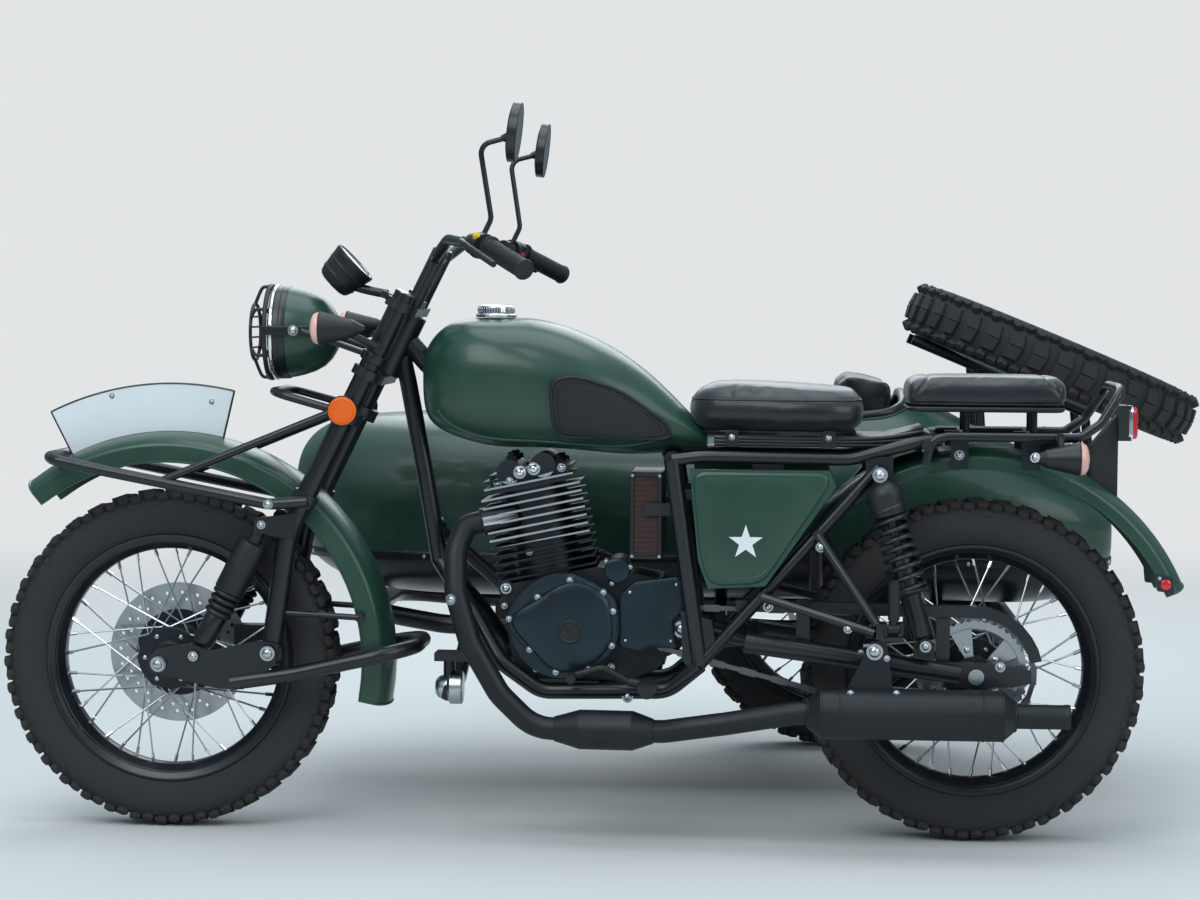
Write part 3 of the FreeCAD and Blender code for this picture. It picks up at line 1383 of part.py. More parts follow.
def rack_shape():
    """Tube rack and grab loop around the passenger pad."""
    y = size("rack_half_span")
    radius = size("rack_radius")
    half = [rear(103, y, 404), rear(90, y, 452), rear(60, y, 458), rear(-188, y, 458),
            rear(-228, y, 486), rear(-266, y - 12, 546), rear(-266, y - 50, 552)]
    loop = bent_tube(half + list(reversed(flipped(half))), radius, 30)
    bars = [rod(rear(x, -y, 458), rear(x, y, 458), radius - 1) for x in (20, -110)]
    posts = []
    for x in (20, -110):
        for side in SIDES.values():
            posts.append(rod(rear(x, side * 40, 458),
                             rear(x, side * 40, size("pillion_bottom_rise") - GAP), 7))
    feet = [rod(rear(98, side * (FRAME_Y + size("rail_radius") + GAP), 440),
                rear(98, side * (y + 14), 440), radius + 2) for side in SIDES.values()]
    skin = size("rear_fender_width") / 2 + GAP
    tabs = []
    for x in (35, -101):
        for side in SIDES.values():
            tabs.append(brick(rear(x, side * (skin + 3), 426), 34, 6, 58))
            tabs.append(brick(rear(x, side * (skin + y) / 2, 456), 34, y - skin, 6))
    return fused([loop] + bars + posts + feet + tabs)


feature("rear_rack", rack_shape())


def tail_lamp_shape():
    """Rear lamp with its bracket."""
    depth = size("tail_lamp_depth")
    lamp = brick(rear(-284, 0, 483), depth, size("tail_lamp_width"), size("tail_lamp_height"))
    crown = size("tyre_radius") + size("rear_fender_gap") + GAP
    bracket = plate([rear(-274, 0, 500), rear(-274, 0, 330), rear(-225, 0, 360),
                     rear(-225, 0, 440)], -24, 24)
    drum = rod(rear(0, -60, 0), rear(0, 60, 0), crown)
    return fused([lamp, bracket]).cut(drum)


rear_flashers = [flasher(rear(-195, side * size("flasher_side"), 420), Vector(1, 0, 0),
                         rear(-150, side * (size("rack_half_span") + size("rack_radius") + GAP),
                              458))
                 for side in SIDES.values()]
feature("rear_lamps", Part.makeCompound([tail_lamp_shape()] + rear_flashers))


# Foot controls and passenger pegs


def foot_controls_shape():
    """Rider footrests, shift lever and brake pedal."""
    x = size("footrest_x")
    rise = size("footrest_rise")
    inner = CRADLE_Y + size("frame_radius") + GAP
    shapes = []
    for side in SIDES.values():
        peg = rod(rear(x, side * inner, rise), rear(x, side * 262, rise + 4), 14)
        pad = brick(rear(x, side * 215, rise + 8), 34, 96, 14)
        lever = bent_tube([rear(x + 40, side * 140, rise + 6), rear(x + 90, side * 142, rise + 34),
                           rear(x + 150, side * 144, rise + 16)], 7, 30)
        tip = rod(rear(x + 148, side * 140, rise + 16), rear(x + 148, side * 190, rise + 16), 9)
        hanger = rod(rear(x, side * 140, rise), rear(x + 40, side * 140, rise + 6), 9)
        shapes.append(fused([peg, pad, lever, tip, hanger]))
    return Part.makeCompound(shapes)


feature("foot_controls", foot_controls_shape())


def peg_bracket(side):
    """Two struts from the stay that end in the clevis of a passenger peg."""
    y = side * size("peg_pivot_y")
    pivot = rear(size("peg_pivot_x"), y, size("peg_pivot_rise"))
    outward = Vector(0, side, 0)
    struts = []
    for share, end in ((0.66, Vector(30, 0, 6)), (0.35, Vector(34, 0, -8))):
        seat = stay_point(side, share) + outward * (size("rail_radius") + GAP)
        struts.append(rod(seat, seat + outward * 14, 10))
        struts.append(rod(seat + outward * 9, pivot + end, 9))
    ear = size("peg_eye_radius") + size("fork_eye_gap")
    base = brick(pivot + Vector(26, 0, -4), 14, 26, 30)
    ears = []
    for way in (1, -1):
        ears.append(brick(pivot + Vector(way * (ear + 4), 0, 0), 6, 22, 24))
    bridge = brick(pivot + Vector(4, 0, 4 - size("peg_bridge_drop")), 44, 18, 8)
    pin = rod(pivot - Vector(ear + 8, 0, 0), pivot + Vector(ear + 12, 0, 0),
              size("peg_pin_radius"))
    return fused(struts + [base, bridge, pin] + ears)


feature("peg_brackets", Part.makeCompound([peg_bracket(side) for side in SIDES.values()]))


def peg_shape(side):
    """Folding passenger peg, folded up against the machine."""
    pivot = rear(size("peg_pivot_x"), side * size("peg_pivot_y"), size("peg_pivot_rise"))
    eye_half = size("peg_eye_radius")
    eye = rod(pivot - Vector(eye_half, 0, 0), pivot + Vector(eye_half, 0, 0),
              size("peg_eye_radius"))
    bar = rod(pivot + Vector(0, 0, 2), pivot + Vector(0, 0, size("peg_length")),
              size("peg_radius") * 0.8)
    sleeve = rod(pivot + Vector(0, 0, 18), pivot + Vector(0, 0, size("peg_length") - 4),
                 size("peg_radius"))
    bore = rod(pivot - Vector(40, 0, 0), pivot + Vector(40, 0, 0),
               size("peg_pin_radius") + size("running_fit"))
    return fused([eye, bar, sleeve]).cut(bore)


for name, side in SIDES.items():
    feature("passenger_peg_" + name, peg_shape(side))


# Sidecar: frame, tub, seat, wheel arm and spare carrier

SIDE_ARM_Y = SIDE_AXLE.y + size("hub_right") + size("side_arm_radius") + size("disc_clearance")
SIDE_SHOCK_Y = SIDE_ARM_Y + size("side_arm_radius") + size("eye_width") / 2 + GAP
TUB_Y = -size("tub_centre_y")
TUB_FLOOR = size("tub_bottom_rise")
# Each tub station: ahead of the rear axle, middle rise, share of half width, up, down
TUB_STATIONS = [(-326, 225, 0.55, 40, 60), (-300, 230, 0.76, 74, 110), (-200, 240, 0.92, 134, 165),
                (-40, 240, 0.98, 208, 170), (120, 240, 1.0, 278, 170), (300, 240, 1.0, 262, 170),
                (500, 240, 1.0, 236, 170), (900, 240, 1.0, 232, 170), (1100, 240, 0.97, 228, 168),
                (1260, 245, 0.87, 214, 156), (1370, 258, 0.70, 178, 122), (1412, 268, 0.54, 130, 86),
                (1426, 275, 0.36, 78, 52)]


def tub_loft(inset):
    """Closed hull of the tub, drawn in by a wall thickness."""
    half = size("tub_half_width")
    last = len(TUB_STATIONS) - 1
    sections = []
    for index, (x, rise, share, up, down) in enumerate(TUB_STATIONS):
        if index == 0:
            x += inset
        if index == last:
            x -= inset
        sections.append(oval(TUB_Y, AXLE_HEIGHT + rise, half * share - inset, up - inset,
                             down - inset, 3, x))
    return Part.makeLoft(sections, True, False)


def tub_shape():
    """Hollow sidecar body with its open cockpit."""
    hull = tub_loft(0)
    hollow = tub_loft(size("tub_wall"))
    back = size("cockpit_back")
    ahead = size("cockpit_front")
    half = size("cockpit_half_width")
    mouth = Part.makeBox(ahead - back, 2 * half, 400,
                         Vector(back, TUB_Y - half, AXLE_HEIGHT + 330))
    uprights = [edge for edge in mouth.Edges
                if abs(edge.Vertexes[0].Z - edge.Vertexes[-1].Z) > 1]
    mouth = mouth.makeFillet(size("cockpit_corner"), uprights)
    return hull.cut(hollow).cut(mouth)


def below_seam(rise):
    """Block that holds everything of the tub under a height."""
    return Part.makeBox(3 * WHEELBASE, 3 * WHEELBASE, rise,
                        Vector(-WHEELBASE, TUB_Y - 1.5 * WHEELBASE, 0))


whole_tub = tub_shape()
TUB_SEAM = AXLE_HEIGHT + size("tub_seam_rise")
feature("sidecar_tub", whole_tub.cut(below_seam(TUB_SEAM + GAP)))
feature("sidecar_pan", whole_tub.common(below_seam(TUB_SEAM)))


def sidecar_frame_shape():
    """Rails under the tub, cross members and the struts to the motorcycle."""
    radius = size("side_rail_radius")
    rise = size("side_rail_rise")
    left = -size("side_rail_left")
    right = -size("side_rail_right")
    loop = [rear(-120, left, rise), rear(1080, left, rise), rear(1250, left - 60, rise + 20),
            rear(1250, right + 60, rise + 20), rear(1080, right, rise), rear(-120, right, rise)]
    rails = bent_tube(loop, radius, 120)
    cross = size("cross_size")
    top = TUB_FLOOR - GAP
    members = []
    for x in (40, 500, 960):
        members.append(brick(rear(x, (left + right) / 2, top - cross / 2), cross,
                             left - right, cross))
        for y in (left, right):
            members.append(brick(rear(x, y, (top + rise) / 2), cross, cross, top - rise))
    rear_cross = rod(rear(-120, left, rise), rear(-120, right, rise), radius)
    plate_face = FRAME_Y + size("frame_radius") + GAP
    down_face = size("down_radius") + GAP
    rail_face = FRAME_Y + size("rail_radius") + GAP
    ball = rear(1026, -10, -58)
    low_rear = rear(520, -plate_face - 14, 25)
    high_front = front(-521, -down_face - 20, 262)
    high_rear = rear(300, -rail_face - 20, 411)
    struts = [bent_tube([rear(1026, left, rise), rear(1026, -160, -58), ball], 17, 60),
              rod(ball, ball + Vector(0, 0, 58 - GAP), 12),
              Part.makeSphere(26, ball),
              rod(rear(300, left, rise), low_rear, 15),
              rod(low_rear - Vector(0, 10, 0), low_rear + Vector(0, 14, 0), 18),
              rod(rear(860, left, rise), high_front, 14),
              Part.makeSphere(20, high_front),
              rod(rear(300, left, rise), high_rear, 14),
              Part.makeSphere(20, high_rear)]
    tower_x = size("side_shock_top_x") - size("side_shock_radius") - 15
    tower_y = -size("tub_centre_y") - size("tub_half_width") - 23
    pin_rise = size("side_shock_top")
    tower_top = rear(tower_x, tower_y, pin_rise + 46)
    shock_pin = rear(size("side_shock_top_x"), tower_y + 13, pin_rise)
    fender_skin = -size("side_track") + size("side_fender_width") / 2 + GAP
    posts = [bent_tube([rear(tower_x, right, rise), rear(tower_x, tower_y, rise + 70), tower_top],
                       10, 40),
             rod(rear(tower_x, tower_y + 6, pin_rise), shock_pin, 7),
             rod(shock_pin + Vector(0, 2, 0), Vector(shock_pin.x, SIDE_SHOCK_Y
                                                     + size("eye_width") / 2 + GAP, shock_pin.z), 9),
             rod(tower_top - Vector(0, 0, 14), Vector(tower_x, fender_skin, tower_top.z - 14), 8),
             bent_tube([rear(480, right, rise), rear(480, right - 60, 110),
                        rear(480, fender_skin + 30, 190), rear(480, fender_skin, 190)], 8, 40)]
    return fused([rails, rear_cross] + members + struts + posts)


feature("sidecar_frame", sidecar_frame_shape())


def sidecar_seat_shape():
    """Passenger cushion and backrest inside the tub."""
    half = 215
    base = brick(rear(450, TUB_Y, TUB_FLOOR + 90), 400, 2 * half, 130, -4)
    back = brick(rear(225, TUB_Y, TUB_FLOOR + 310), 100, 2 * half, 370, -10)
    return fused([base.common(tub_loft(size("tub_wall") + GAP)), back])


feature("sidecar_seat", sidecar_seat_shape())


def side_arm_shape():
    """Trailing arm of the sidecar wheel with its stub axle."""
    rise = size("side_rail_rise")
    right = -size("side_rail_right")
    arm_y = SIDE_ARM_Y
    radius = size("side_arm_radius")
    start_y = right - size("side_rail_radius") - GAP
    tube = bent_tube([rear(560, start_y, rise), rear(560, arm_y, rise),
                      rear(size("side_lead"), arm_y, 0)], radius, 60)
    stub = rod(rear(size("side_lead"), arm_y + 10, 0),
               SIDE_AXLE - Vector(0, size("hub_left") + size("nut_height") + 4, 0),
               size("axle_radius"))
    nut = rod(SIDE_AXLE - Vector(0, size("hub_left") + 1, 0),
              SIDE_AXLE - Vector(0, size("hub_left") + 1 + size("nut_height"), 0),
              size("nut_radius"))
    boss = rod(rear(size("side_lead"), arm_y + 16, 0),
               SIDE_AXLE + Vector(0, size("hub_right") + 1, 0), 22)
    brake = caliper(SIDE_AXLE, 94, 72, DISC_Y, size("rear_disc_radius"))
    bridge = brick(SIDE_AXLE + Vector(106, arm_y - SIDE_AXLE.y - 2, 34), 30, 24, 36)
    return fused([tube, stub, nut, boss, brake, bridge])


feature("sidecar_arm", side_arm_shape())

side_shock = shock(rear(300, SIDE_SHOCK_Y, 4),
                   rear(size("side_shock_top_x"), SIDE_SHOCK_Y, size("side_shock_top")),
                   size("side_shock_radius"), 7)
feature("sidecar_shock", side_shock)


def carrier_shape():
    """Tubes on legs along the rear deck, with the stud plate under the spare hub."""
    centre = rear(size("spare_x"), -size("spare_y"), size("spare_rise"))
    tilt = Rotation(Vector(0, 1, 0), -size("spare_tilt"))
    up = tilt.multVec(Vector(0, 0, 1))
    along = tilt.multVec(Vector(1, 0, 0))
    across = Vector(0, 1, 0)
    low = centre - up * (size("tyre_width") / 2 + 12 + GAP)
    shapes = [rod(low - up * 12, centre - up * (size("hub_left") + GAP), 40)]
    shapes.append(rod(low - across * 120, low + across * 120, 11))
    for side in SIDES.values():
        middle = low + across * (side * 110)
        shapes.append(rod(middle - along * 110, middle + along * 300, 11))
        for reach in (-100, 150):
            top = middle + along * reach
            shapes.append(rod(top, Vector(top.x - 20, top.y, AXLE_HEIGHT + 300), 10))
    return fused(shapes).cut(tub_loft(-GAP))


feature("spare_carrier", carrier_shape())


# Check every object, then write one file per sub-part

NODES = [
    "front_wheel", "front_tyre", "rear_wheel", "rear_tyre", "sidecar_wheel", "sidecar_tyre",
    "spare_wheel", "spare_tyre", "fork_frame", "fork_link", "front_axle", "front_shocks",
    "fork_guard", "front_fender", "number_plate", "headlamp", "instrument", "handlebar",
    "hand_controls", "mirrors", "front_indicators", "main_frame", "swing_arm", "rear_axle",
    "rear_shocks", "drive_chain", "chain_guard", "engine_case", "engine_cylinder", "engine_head", "exhaust",
    "airbox", "fuel_tank", "fuel_cap", "knee_pads", "side_panels", "rider_seat",
    "passenger_seat", "tail_tray", "rear_fender", "rear_rack", "rear_lamps", "foot_controls",
    "peg_brackets", "passenger_peg_left", "passenger_peg_right", "sidecar_tub", "sidecar_pan",
    "sidecar_frame", "sidecar_seat", "sidecar_fender", "sidecar_arm", "sidecar_shock",
    "spare_carrier",
]

doc.recompute()
for item in doc.Objects:
    if "Invalid" in item.State or "Error" in item.State:
        raise RuntimeError(f"{item.Name} is in state {item.State}")

os.makedirs("parts", exist_ok=True)
for name in NODES:
    item = doc.getObject(name)
    if item.Shape.isNull() or not item.Shape.isValid():
        raise RuntimeError(f"{name} has no valid shape")
    item.Shape.exportStep(os.path.join("parts", name + ".step"))
    print(name, len(item.Shape.Solids), "solids", round(item.Shape.Volume / 1000), "cm3")
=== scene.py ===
"""Dressed visual model of a sidecar motorcycle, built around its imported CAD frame."""

import json
import logging
import math
from collections.abc import Sequence
from dataclasses import dataclass, field
from enum import Enum

import bmesh
import bpy
from mathutils import Matrix, Vector
from mathutils.bvhtree import BVHTree

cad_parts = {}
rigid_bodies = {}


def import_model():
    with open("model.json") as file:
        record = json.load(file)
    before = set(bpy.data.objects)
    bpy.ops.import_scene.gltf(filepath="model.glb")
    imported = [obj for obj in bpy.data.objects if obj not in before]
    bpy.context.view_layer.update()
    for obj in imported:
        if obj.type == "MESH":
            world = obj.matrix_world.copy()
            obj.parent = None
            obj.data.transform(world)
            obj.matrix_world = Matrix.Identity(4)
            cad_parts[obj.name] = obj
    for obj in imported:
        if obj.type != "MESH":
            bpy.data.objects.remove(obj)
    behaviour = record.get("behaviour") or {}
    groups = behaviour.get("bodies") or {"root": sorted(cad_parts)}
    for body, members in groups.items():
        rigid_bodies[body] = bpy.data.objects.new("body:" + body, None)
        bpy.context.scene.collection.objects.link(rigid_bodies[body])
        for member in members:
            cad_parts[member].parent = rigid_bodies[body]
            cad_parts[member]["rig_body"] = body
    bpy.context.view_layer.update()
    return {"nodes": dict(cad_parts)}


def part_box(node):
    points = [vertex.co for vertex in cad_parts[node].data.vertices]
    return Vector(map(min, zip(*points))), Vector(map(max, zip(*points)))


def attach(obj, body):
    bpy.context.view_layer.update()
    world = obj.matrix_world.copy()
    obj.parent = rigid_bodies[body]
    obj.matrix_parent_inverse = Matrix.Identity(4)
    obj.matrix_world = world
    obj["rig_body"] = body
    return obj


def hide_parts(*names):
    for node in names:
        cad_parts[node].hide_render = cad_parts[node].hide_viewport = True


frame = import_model()

LOG = logging.getLogger("sidecar_motorcycle")
MM = 0.001
LEFT, RIGHT = 1, -1
ROOT, FORK = "root", "fork"
RAKE = math.radians(26)
UP, SIDEWAYS, AHEAD = Vector((0, 0, 1)), Vector((0, 1, 0)), Vector((1, 0, 0))
CLOUD = (0.3, 0.7)
WORN = (0.53, 0.62)

Socket = bpy.types.NodeSocket
Outline = Sequence[tuple[float, float]]


class Grain(Enum):
    """Fine relief that a surface carries."""

    SMOOTH = "smooth"
    PAINT = "paint"
    CAST = "cast"
    LEATHER = "leather"
    RUBBER = "rubber"
    BRUSHED = "brushed"
    CLOTH = "cloth"


class Nodes:
    """The node tree of a material or of the world, under construction."""

    def __init__(self, tree: bpy.types.NodeTree) -> None:
        """Add to a tree."""
        self.tree = tree

    def feed(self, node: bpy.types.Node, inputs: dict[str | int, object]) -> None:
        """Set inputs of a node.

        Args:
            node: The node.
            inputs: For each input, its value or the socket that it is linked to.
        """
        for name, value in inputs.items():
            socket = node.inputs[name]
            if isinstance(value, Socket):
                self.tree.links.new(value, socket)
            else:
                socket.default_value = (*value, 1.0) if socket.type == "RGBA" else value

    def add(self, kind: str, inputs: dict[str | int, object], output: str | int = 0,
            **settings: str) -> Socket:
        """Add a node.

        Args:
            kind: Its type, without the leading ShaderNode.
            inputs: For each input, its value or the socket that it is linked to.
            output: The output that is wanted.
            **settings: The node's own settings.

        Returns:
            That output.
        """
        node = self.tree.nodes.new("ShaderNode" + kind)
        for name, value in settings.items():
            setattr(node, name, value)
        self.feed(node, inputs)
        return node.outputs[output]

    def noise(self, place: Socket, scale: float, detail: float) -> Socket:
        """Return noise round 0.5, from coordinates, cells a metre and octaves."""
        return self.add("TexNoise", {"Vector": place, "Scale": scale, "Detail": detail}, "Fac")

    def mapped(self, value: Socket, span: tuple[float, float], result: tuple[float, float]) -> Socket:
        """Return a value mapped from one range to another."""
        ends = {1: span[0], 2: span[1], 3: result[0], 4: result[1]}
        return self.add("MapRange", {"Value": value, **ends}, "Result")

    def mix(self, share: Socket, first: tuple | Socket, second: tuple | Socket) -> Socket:
        """Return two colours blended by the share of the second."""
        return self.add("Mix", {"Factor": share, 6: first, 7: second}, 2, data_type="RGBA")


@dataclass(frozen=True)
class Finish:
    """Colour, gloss and fine relief of one kind of surface."""

    name: str
    colour: tuple[float, float, float]
    roughness: float
    metallic: float = 0.0
    coat: float = 0.0
    sheen: float = 0.0
    grain: Grain = Grain.SMOOTH
    grain_size: float = 0.002
    relief: float = 0.0001
    mottle: float = 0.12
    wear: float = 0.0
    transmission: float = 0.0
    below: tuple[float, float, float] | None = None
    below_height: float = 0.0

    def material(self) -> bpy.types.Material:
        """Return this finish's material, made at its first use."""
        return bpy.data.materials.get(self.name) or self._build()

    def _build(self) -> bpy.types.Material:
        """Build the node tree.

        Returns:
            The new material.
        """
        made = bpy.data.materials.new(self.name)
        made.use_nodes = True
        made.diffuse_color = (*self.colour, 1.0)
        nodes = Nodes(made.node_tree)
        place = nodes.add("TexCoord", {}, "Object")
        cloud = nodes.noise(place, 9.0, 4.0)
        gloss = (self.roughness * 0.88, min(1.0, self.roughness * 1.12))
        inputs = {"Metallic": self.metallic, "Coat Weight": self.coat, "Coat Roughness": 0.12,
                  "Sheen Weight": self.sheen, "Transmission Weight": self.transmission,
                  "Base Color": self._tint(nodes, place, cloud),
                  "Roughness": nodes.mapped(cloud, CLOUD, gloss)}
        if self.grain is not Grain.SMOOTH:
            inputs["Normal"] = self._relief(nodes, place)
        nodes.feed(made.node_tree.nodes["Principled BSDF"], inputs)
        return made

    def _tint(self, nodes: Nodes, place: Socket, cloud: Socket) -> Socket:
        """Vary the colour slowly over the surface, with worn edges and a second colour below.

        Args:
            nodes: The material's nodes.
            place: Coordinates on the object.
            cloud: Slow noise.

        Returns:
            The surface colour.
        """
        dark = tuple(c * (1 - self.mottle) for c in self.colour)
        light = tuple(min(1.0, c * (1 + self.mottle) + 0.001) for c in self.colour)
        colour = nodes.mix(nodes.mapped(cloud, CLOUD, (0.0, 1.0)), dark, light)
        if self.below is not None:
            height = nodes.add("SeparateXYZ", {"Vector": place}, "Z")
            under = nodes.mapped(height, (self.below_height, self.below_height - 0.001), (0.0, 1.0))
            colour = nodes.mix(under, colour, self.below)
        if self.wear > 0:
            edge = nodes.mapped(nodes.add("NewGeometry", {}, "Pointiness"), WORN, (0.0, self.wear))
            colour = nodes.mix(edge, colour, tuple(min(1.0, c * 2.2 + 0.03) for c in self.colour))
        return colour

    def _relief(self, nodes: Nodes, place: Socket) -> Socket:
        """Raise the fine grain of the surface.

        Args:
            nodes: The material's nodes.
            place: Coordinates on the object.

        Returns:
            The bumped normal.
        """
        scale = 1.0 / self.grain_size
        if self.grain is Grain.LEATHER:
            height = nodes.add("TexVoronoi", {"Vector": place, "Scale": scale}, "Distance",
                               feature="SMOOTH_F1")
        elif self.grain is Grain.CLOTH:
            height = nodes.add("TexWave", {"Vector": place, "Scale": scale / 4, "Distortion": 1.5}, "Fac")
        elif self.grain is Grain.BRUSHED:
            drawn = nodes.add("Mapping", {"Vector": place, "Scale": (1.0, 14.0, 1.0)}, "Vector")
            height = nodes.noise(drawn, scale, 3.0)
        else:
            height = nodes.noise(place, scale, 2.0)
        return nodes.add("Bump", {"Strength": 0.6, "Distance": self.relief, "Height": height}, "Normal")


class Finishes:
    """Every finish of the machine."""

    PAINT = Finish("satin_green_paint", (0.012, 0.052, 0.034), 0.36, coat=0.2, grain=Grain.PAINT,
                   grain_size=0.0016, relief=0.00006, mottle=0.08, wear=0.12)
    TUB = Finish("green_over_black_paint", (0.012, 0.052, 0.034), 0.38, coat=0.2, grain=Grain.PAINT,
                 grain_size=0.0016, relief=0.00006, mottle=0.08, wear=0.1,
                 below=(0.004, 0.006, 0.009), below_height=0.505)
    BLACK = Finish("satin_black_paint", (0.004, 0.006, 0.009), 0.33, coat=0.12, grain=Grain.PAINT,
                   grain_size=0.0012, relief=0.00005, wear=0.25)
    CAST = Finish("black_cast_metal", (0.010, 0.014, 0.019), 0.42, metallic=0.35, grain=Grain.CAST,
                  grain_size=0.0014, relief=0.00018, wear=0.3)
    COVER = Finish("dark_machined_cover", (0.024, 0.039, 0.050), 0.32, metallic=0.7, grain=Grain.CAST,
                   grain_size=0.001, relief=0.00008, wear=0.3)
    EXHAUST = Finish("heat_black", (0.006, 0.009, 0.012), 0.48, metallic=0.2, grain=Grain.CAST,
                     grain_size=0.0009, relief=0.00008, mottle=0.25)
    TYRE = Finish("tyre_rubber", (0.007, 0.010, 0.014), 0.55, grain=Grain.RUBBER, grain_size=0.0012,
                  relief=0.00015, mottle=0.22, wear=0.5)
    RUBBER = Finish("moulded_rubber", (0.005, 0.007, 0.009), 0.52, grain=Grain.RUBBER, grain_size=0.0008,
                    relief=0.0001)
    PLASTIC = Finish("black_plastic", (0.006, 0.008, 0.010), 0.45, grain=Grain.CAST, grain_size=0.0007,
                     relief=0.00006, wear=0.15)
    LEATHER = Finish("black_leather", (0.005, 0.0075, 0.011), 0.36, coat=0.08, sheen=0.15,
                     grain=Grain.LEATHER, grain_size=0.0022, relief=0.00022, mottle=0.2)
    PIPING = Finish("piping_cord", (0.008, 0.010, 0.013), 0.45, grain=Grain.LEATHER, grain_size=0.001,
                    relief=0.0001)
    THREAD = Finish("stitch_thread", (0.06, 0.06, 0.06), 0.7, grain=Grain.CLOTH, grain_size=0.0006,
                    relief=0.0001)
    CHROME = Finish("bright_chrome", (0.78, 0.8, 0.82), 0.1, metallic=1.0, grain=Grain.SMOOTH, mottle=0.03)
    ZINC = Finish("zinc_fastener", (0.52, 0.55, 0.58), 0.28, metallic=1.0, grain=Grain.CAST,
                  grain_size=0.0008, relief=0.00005)
    STEEL = Finish("ground_steel", (0.42, 0.44, 0.46), 0.27, metallic=1.0, grain=Grain.BRUSHED,
                   grain_size=0.0012, relief=0.00004)
    CHAIN = Finish("oiled_chain_steel", (0.16, 0.16, 0.165), 0.36, metallic=1.0, grain=Grain.CAST,
                   grain_size=0.0012, relief=0.00008, mottle=0.3)
    FIN_EDGE = Finish("machined_fin_edge", (0.62, 0.64, 0.66), 0.3, metallic=1.0, grain=Grain.BRUSHED,
                      grain_size=0.001, relief=0.00003)
    ORANGE = Finish("orange_reflector", (0.82, 0.13, 0.0), 0.5, mottle=0.1)
    AMBER = Finish("pale_rose_lens", (0.80, 0.44, 0.38), 0.25, coat=0.3, mottle=0.1)
    RED = Finish("red_lens", (0.55, 0.008, 0.012), 0.18, coat=0.7, mottle=0.1)
    WHITE = Finish("white_enamel", (0.78, 0.82, 0.85), 0.35, coat=0.3, mottle=0.02)
    YELLOW = Finish("yellow_switch", (0.8, 0.5, 0.01), 0.4, mottle=0.05)
    MIRROR = Finish("mirror_glass", (0.75, 0.79, 0.82), 0.03, metallic=1.0, mottle=0.01)
    GLASS = Finish("clear_glass", (0.93, 0.96, 0.97), 0.03, transmission=0.92, mottle=0.01)
    DIAL = Finish("dial_face", (0.008, 0.008, 0.009), 0.5, mottle=0.1)
    FILTER = Finish("brown_filter_face", (0.040, 0.019, 0.016), 0.8, grain=Grain.CLOTH, grain_size=0.003,
                    relief=0.0006)


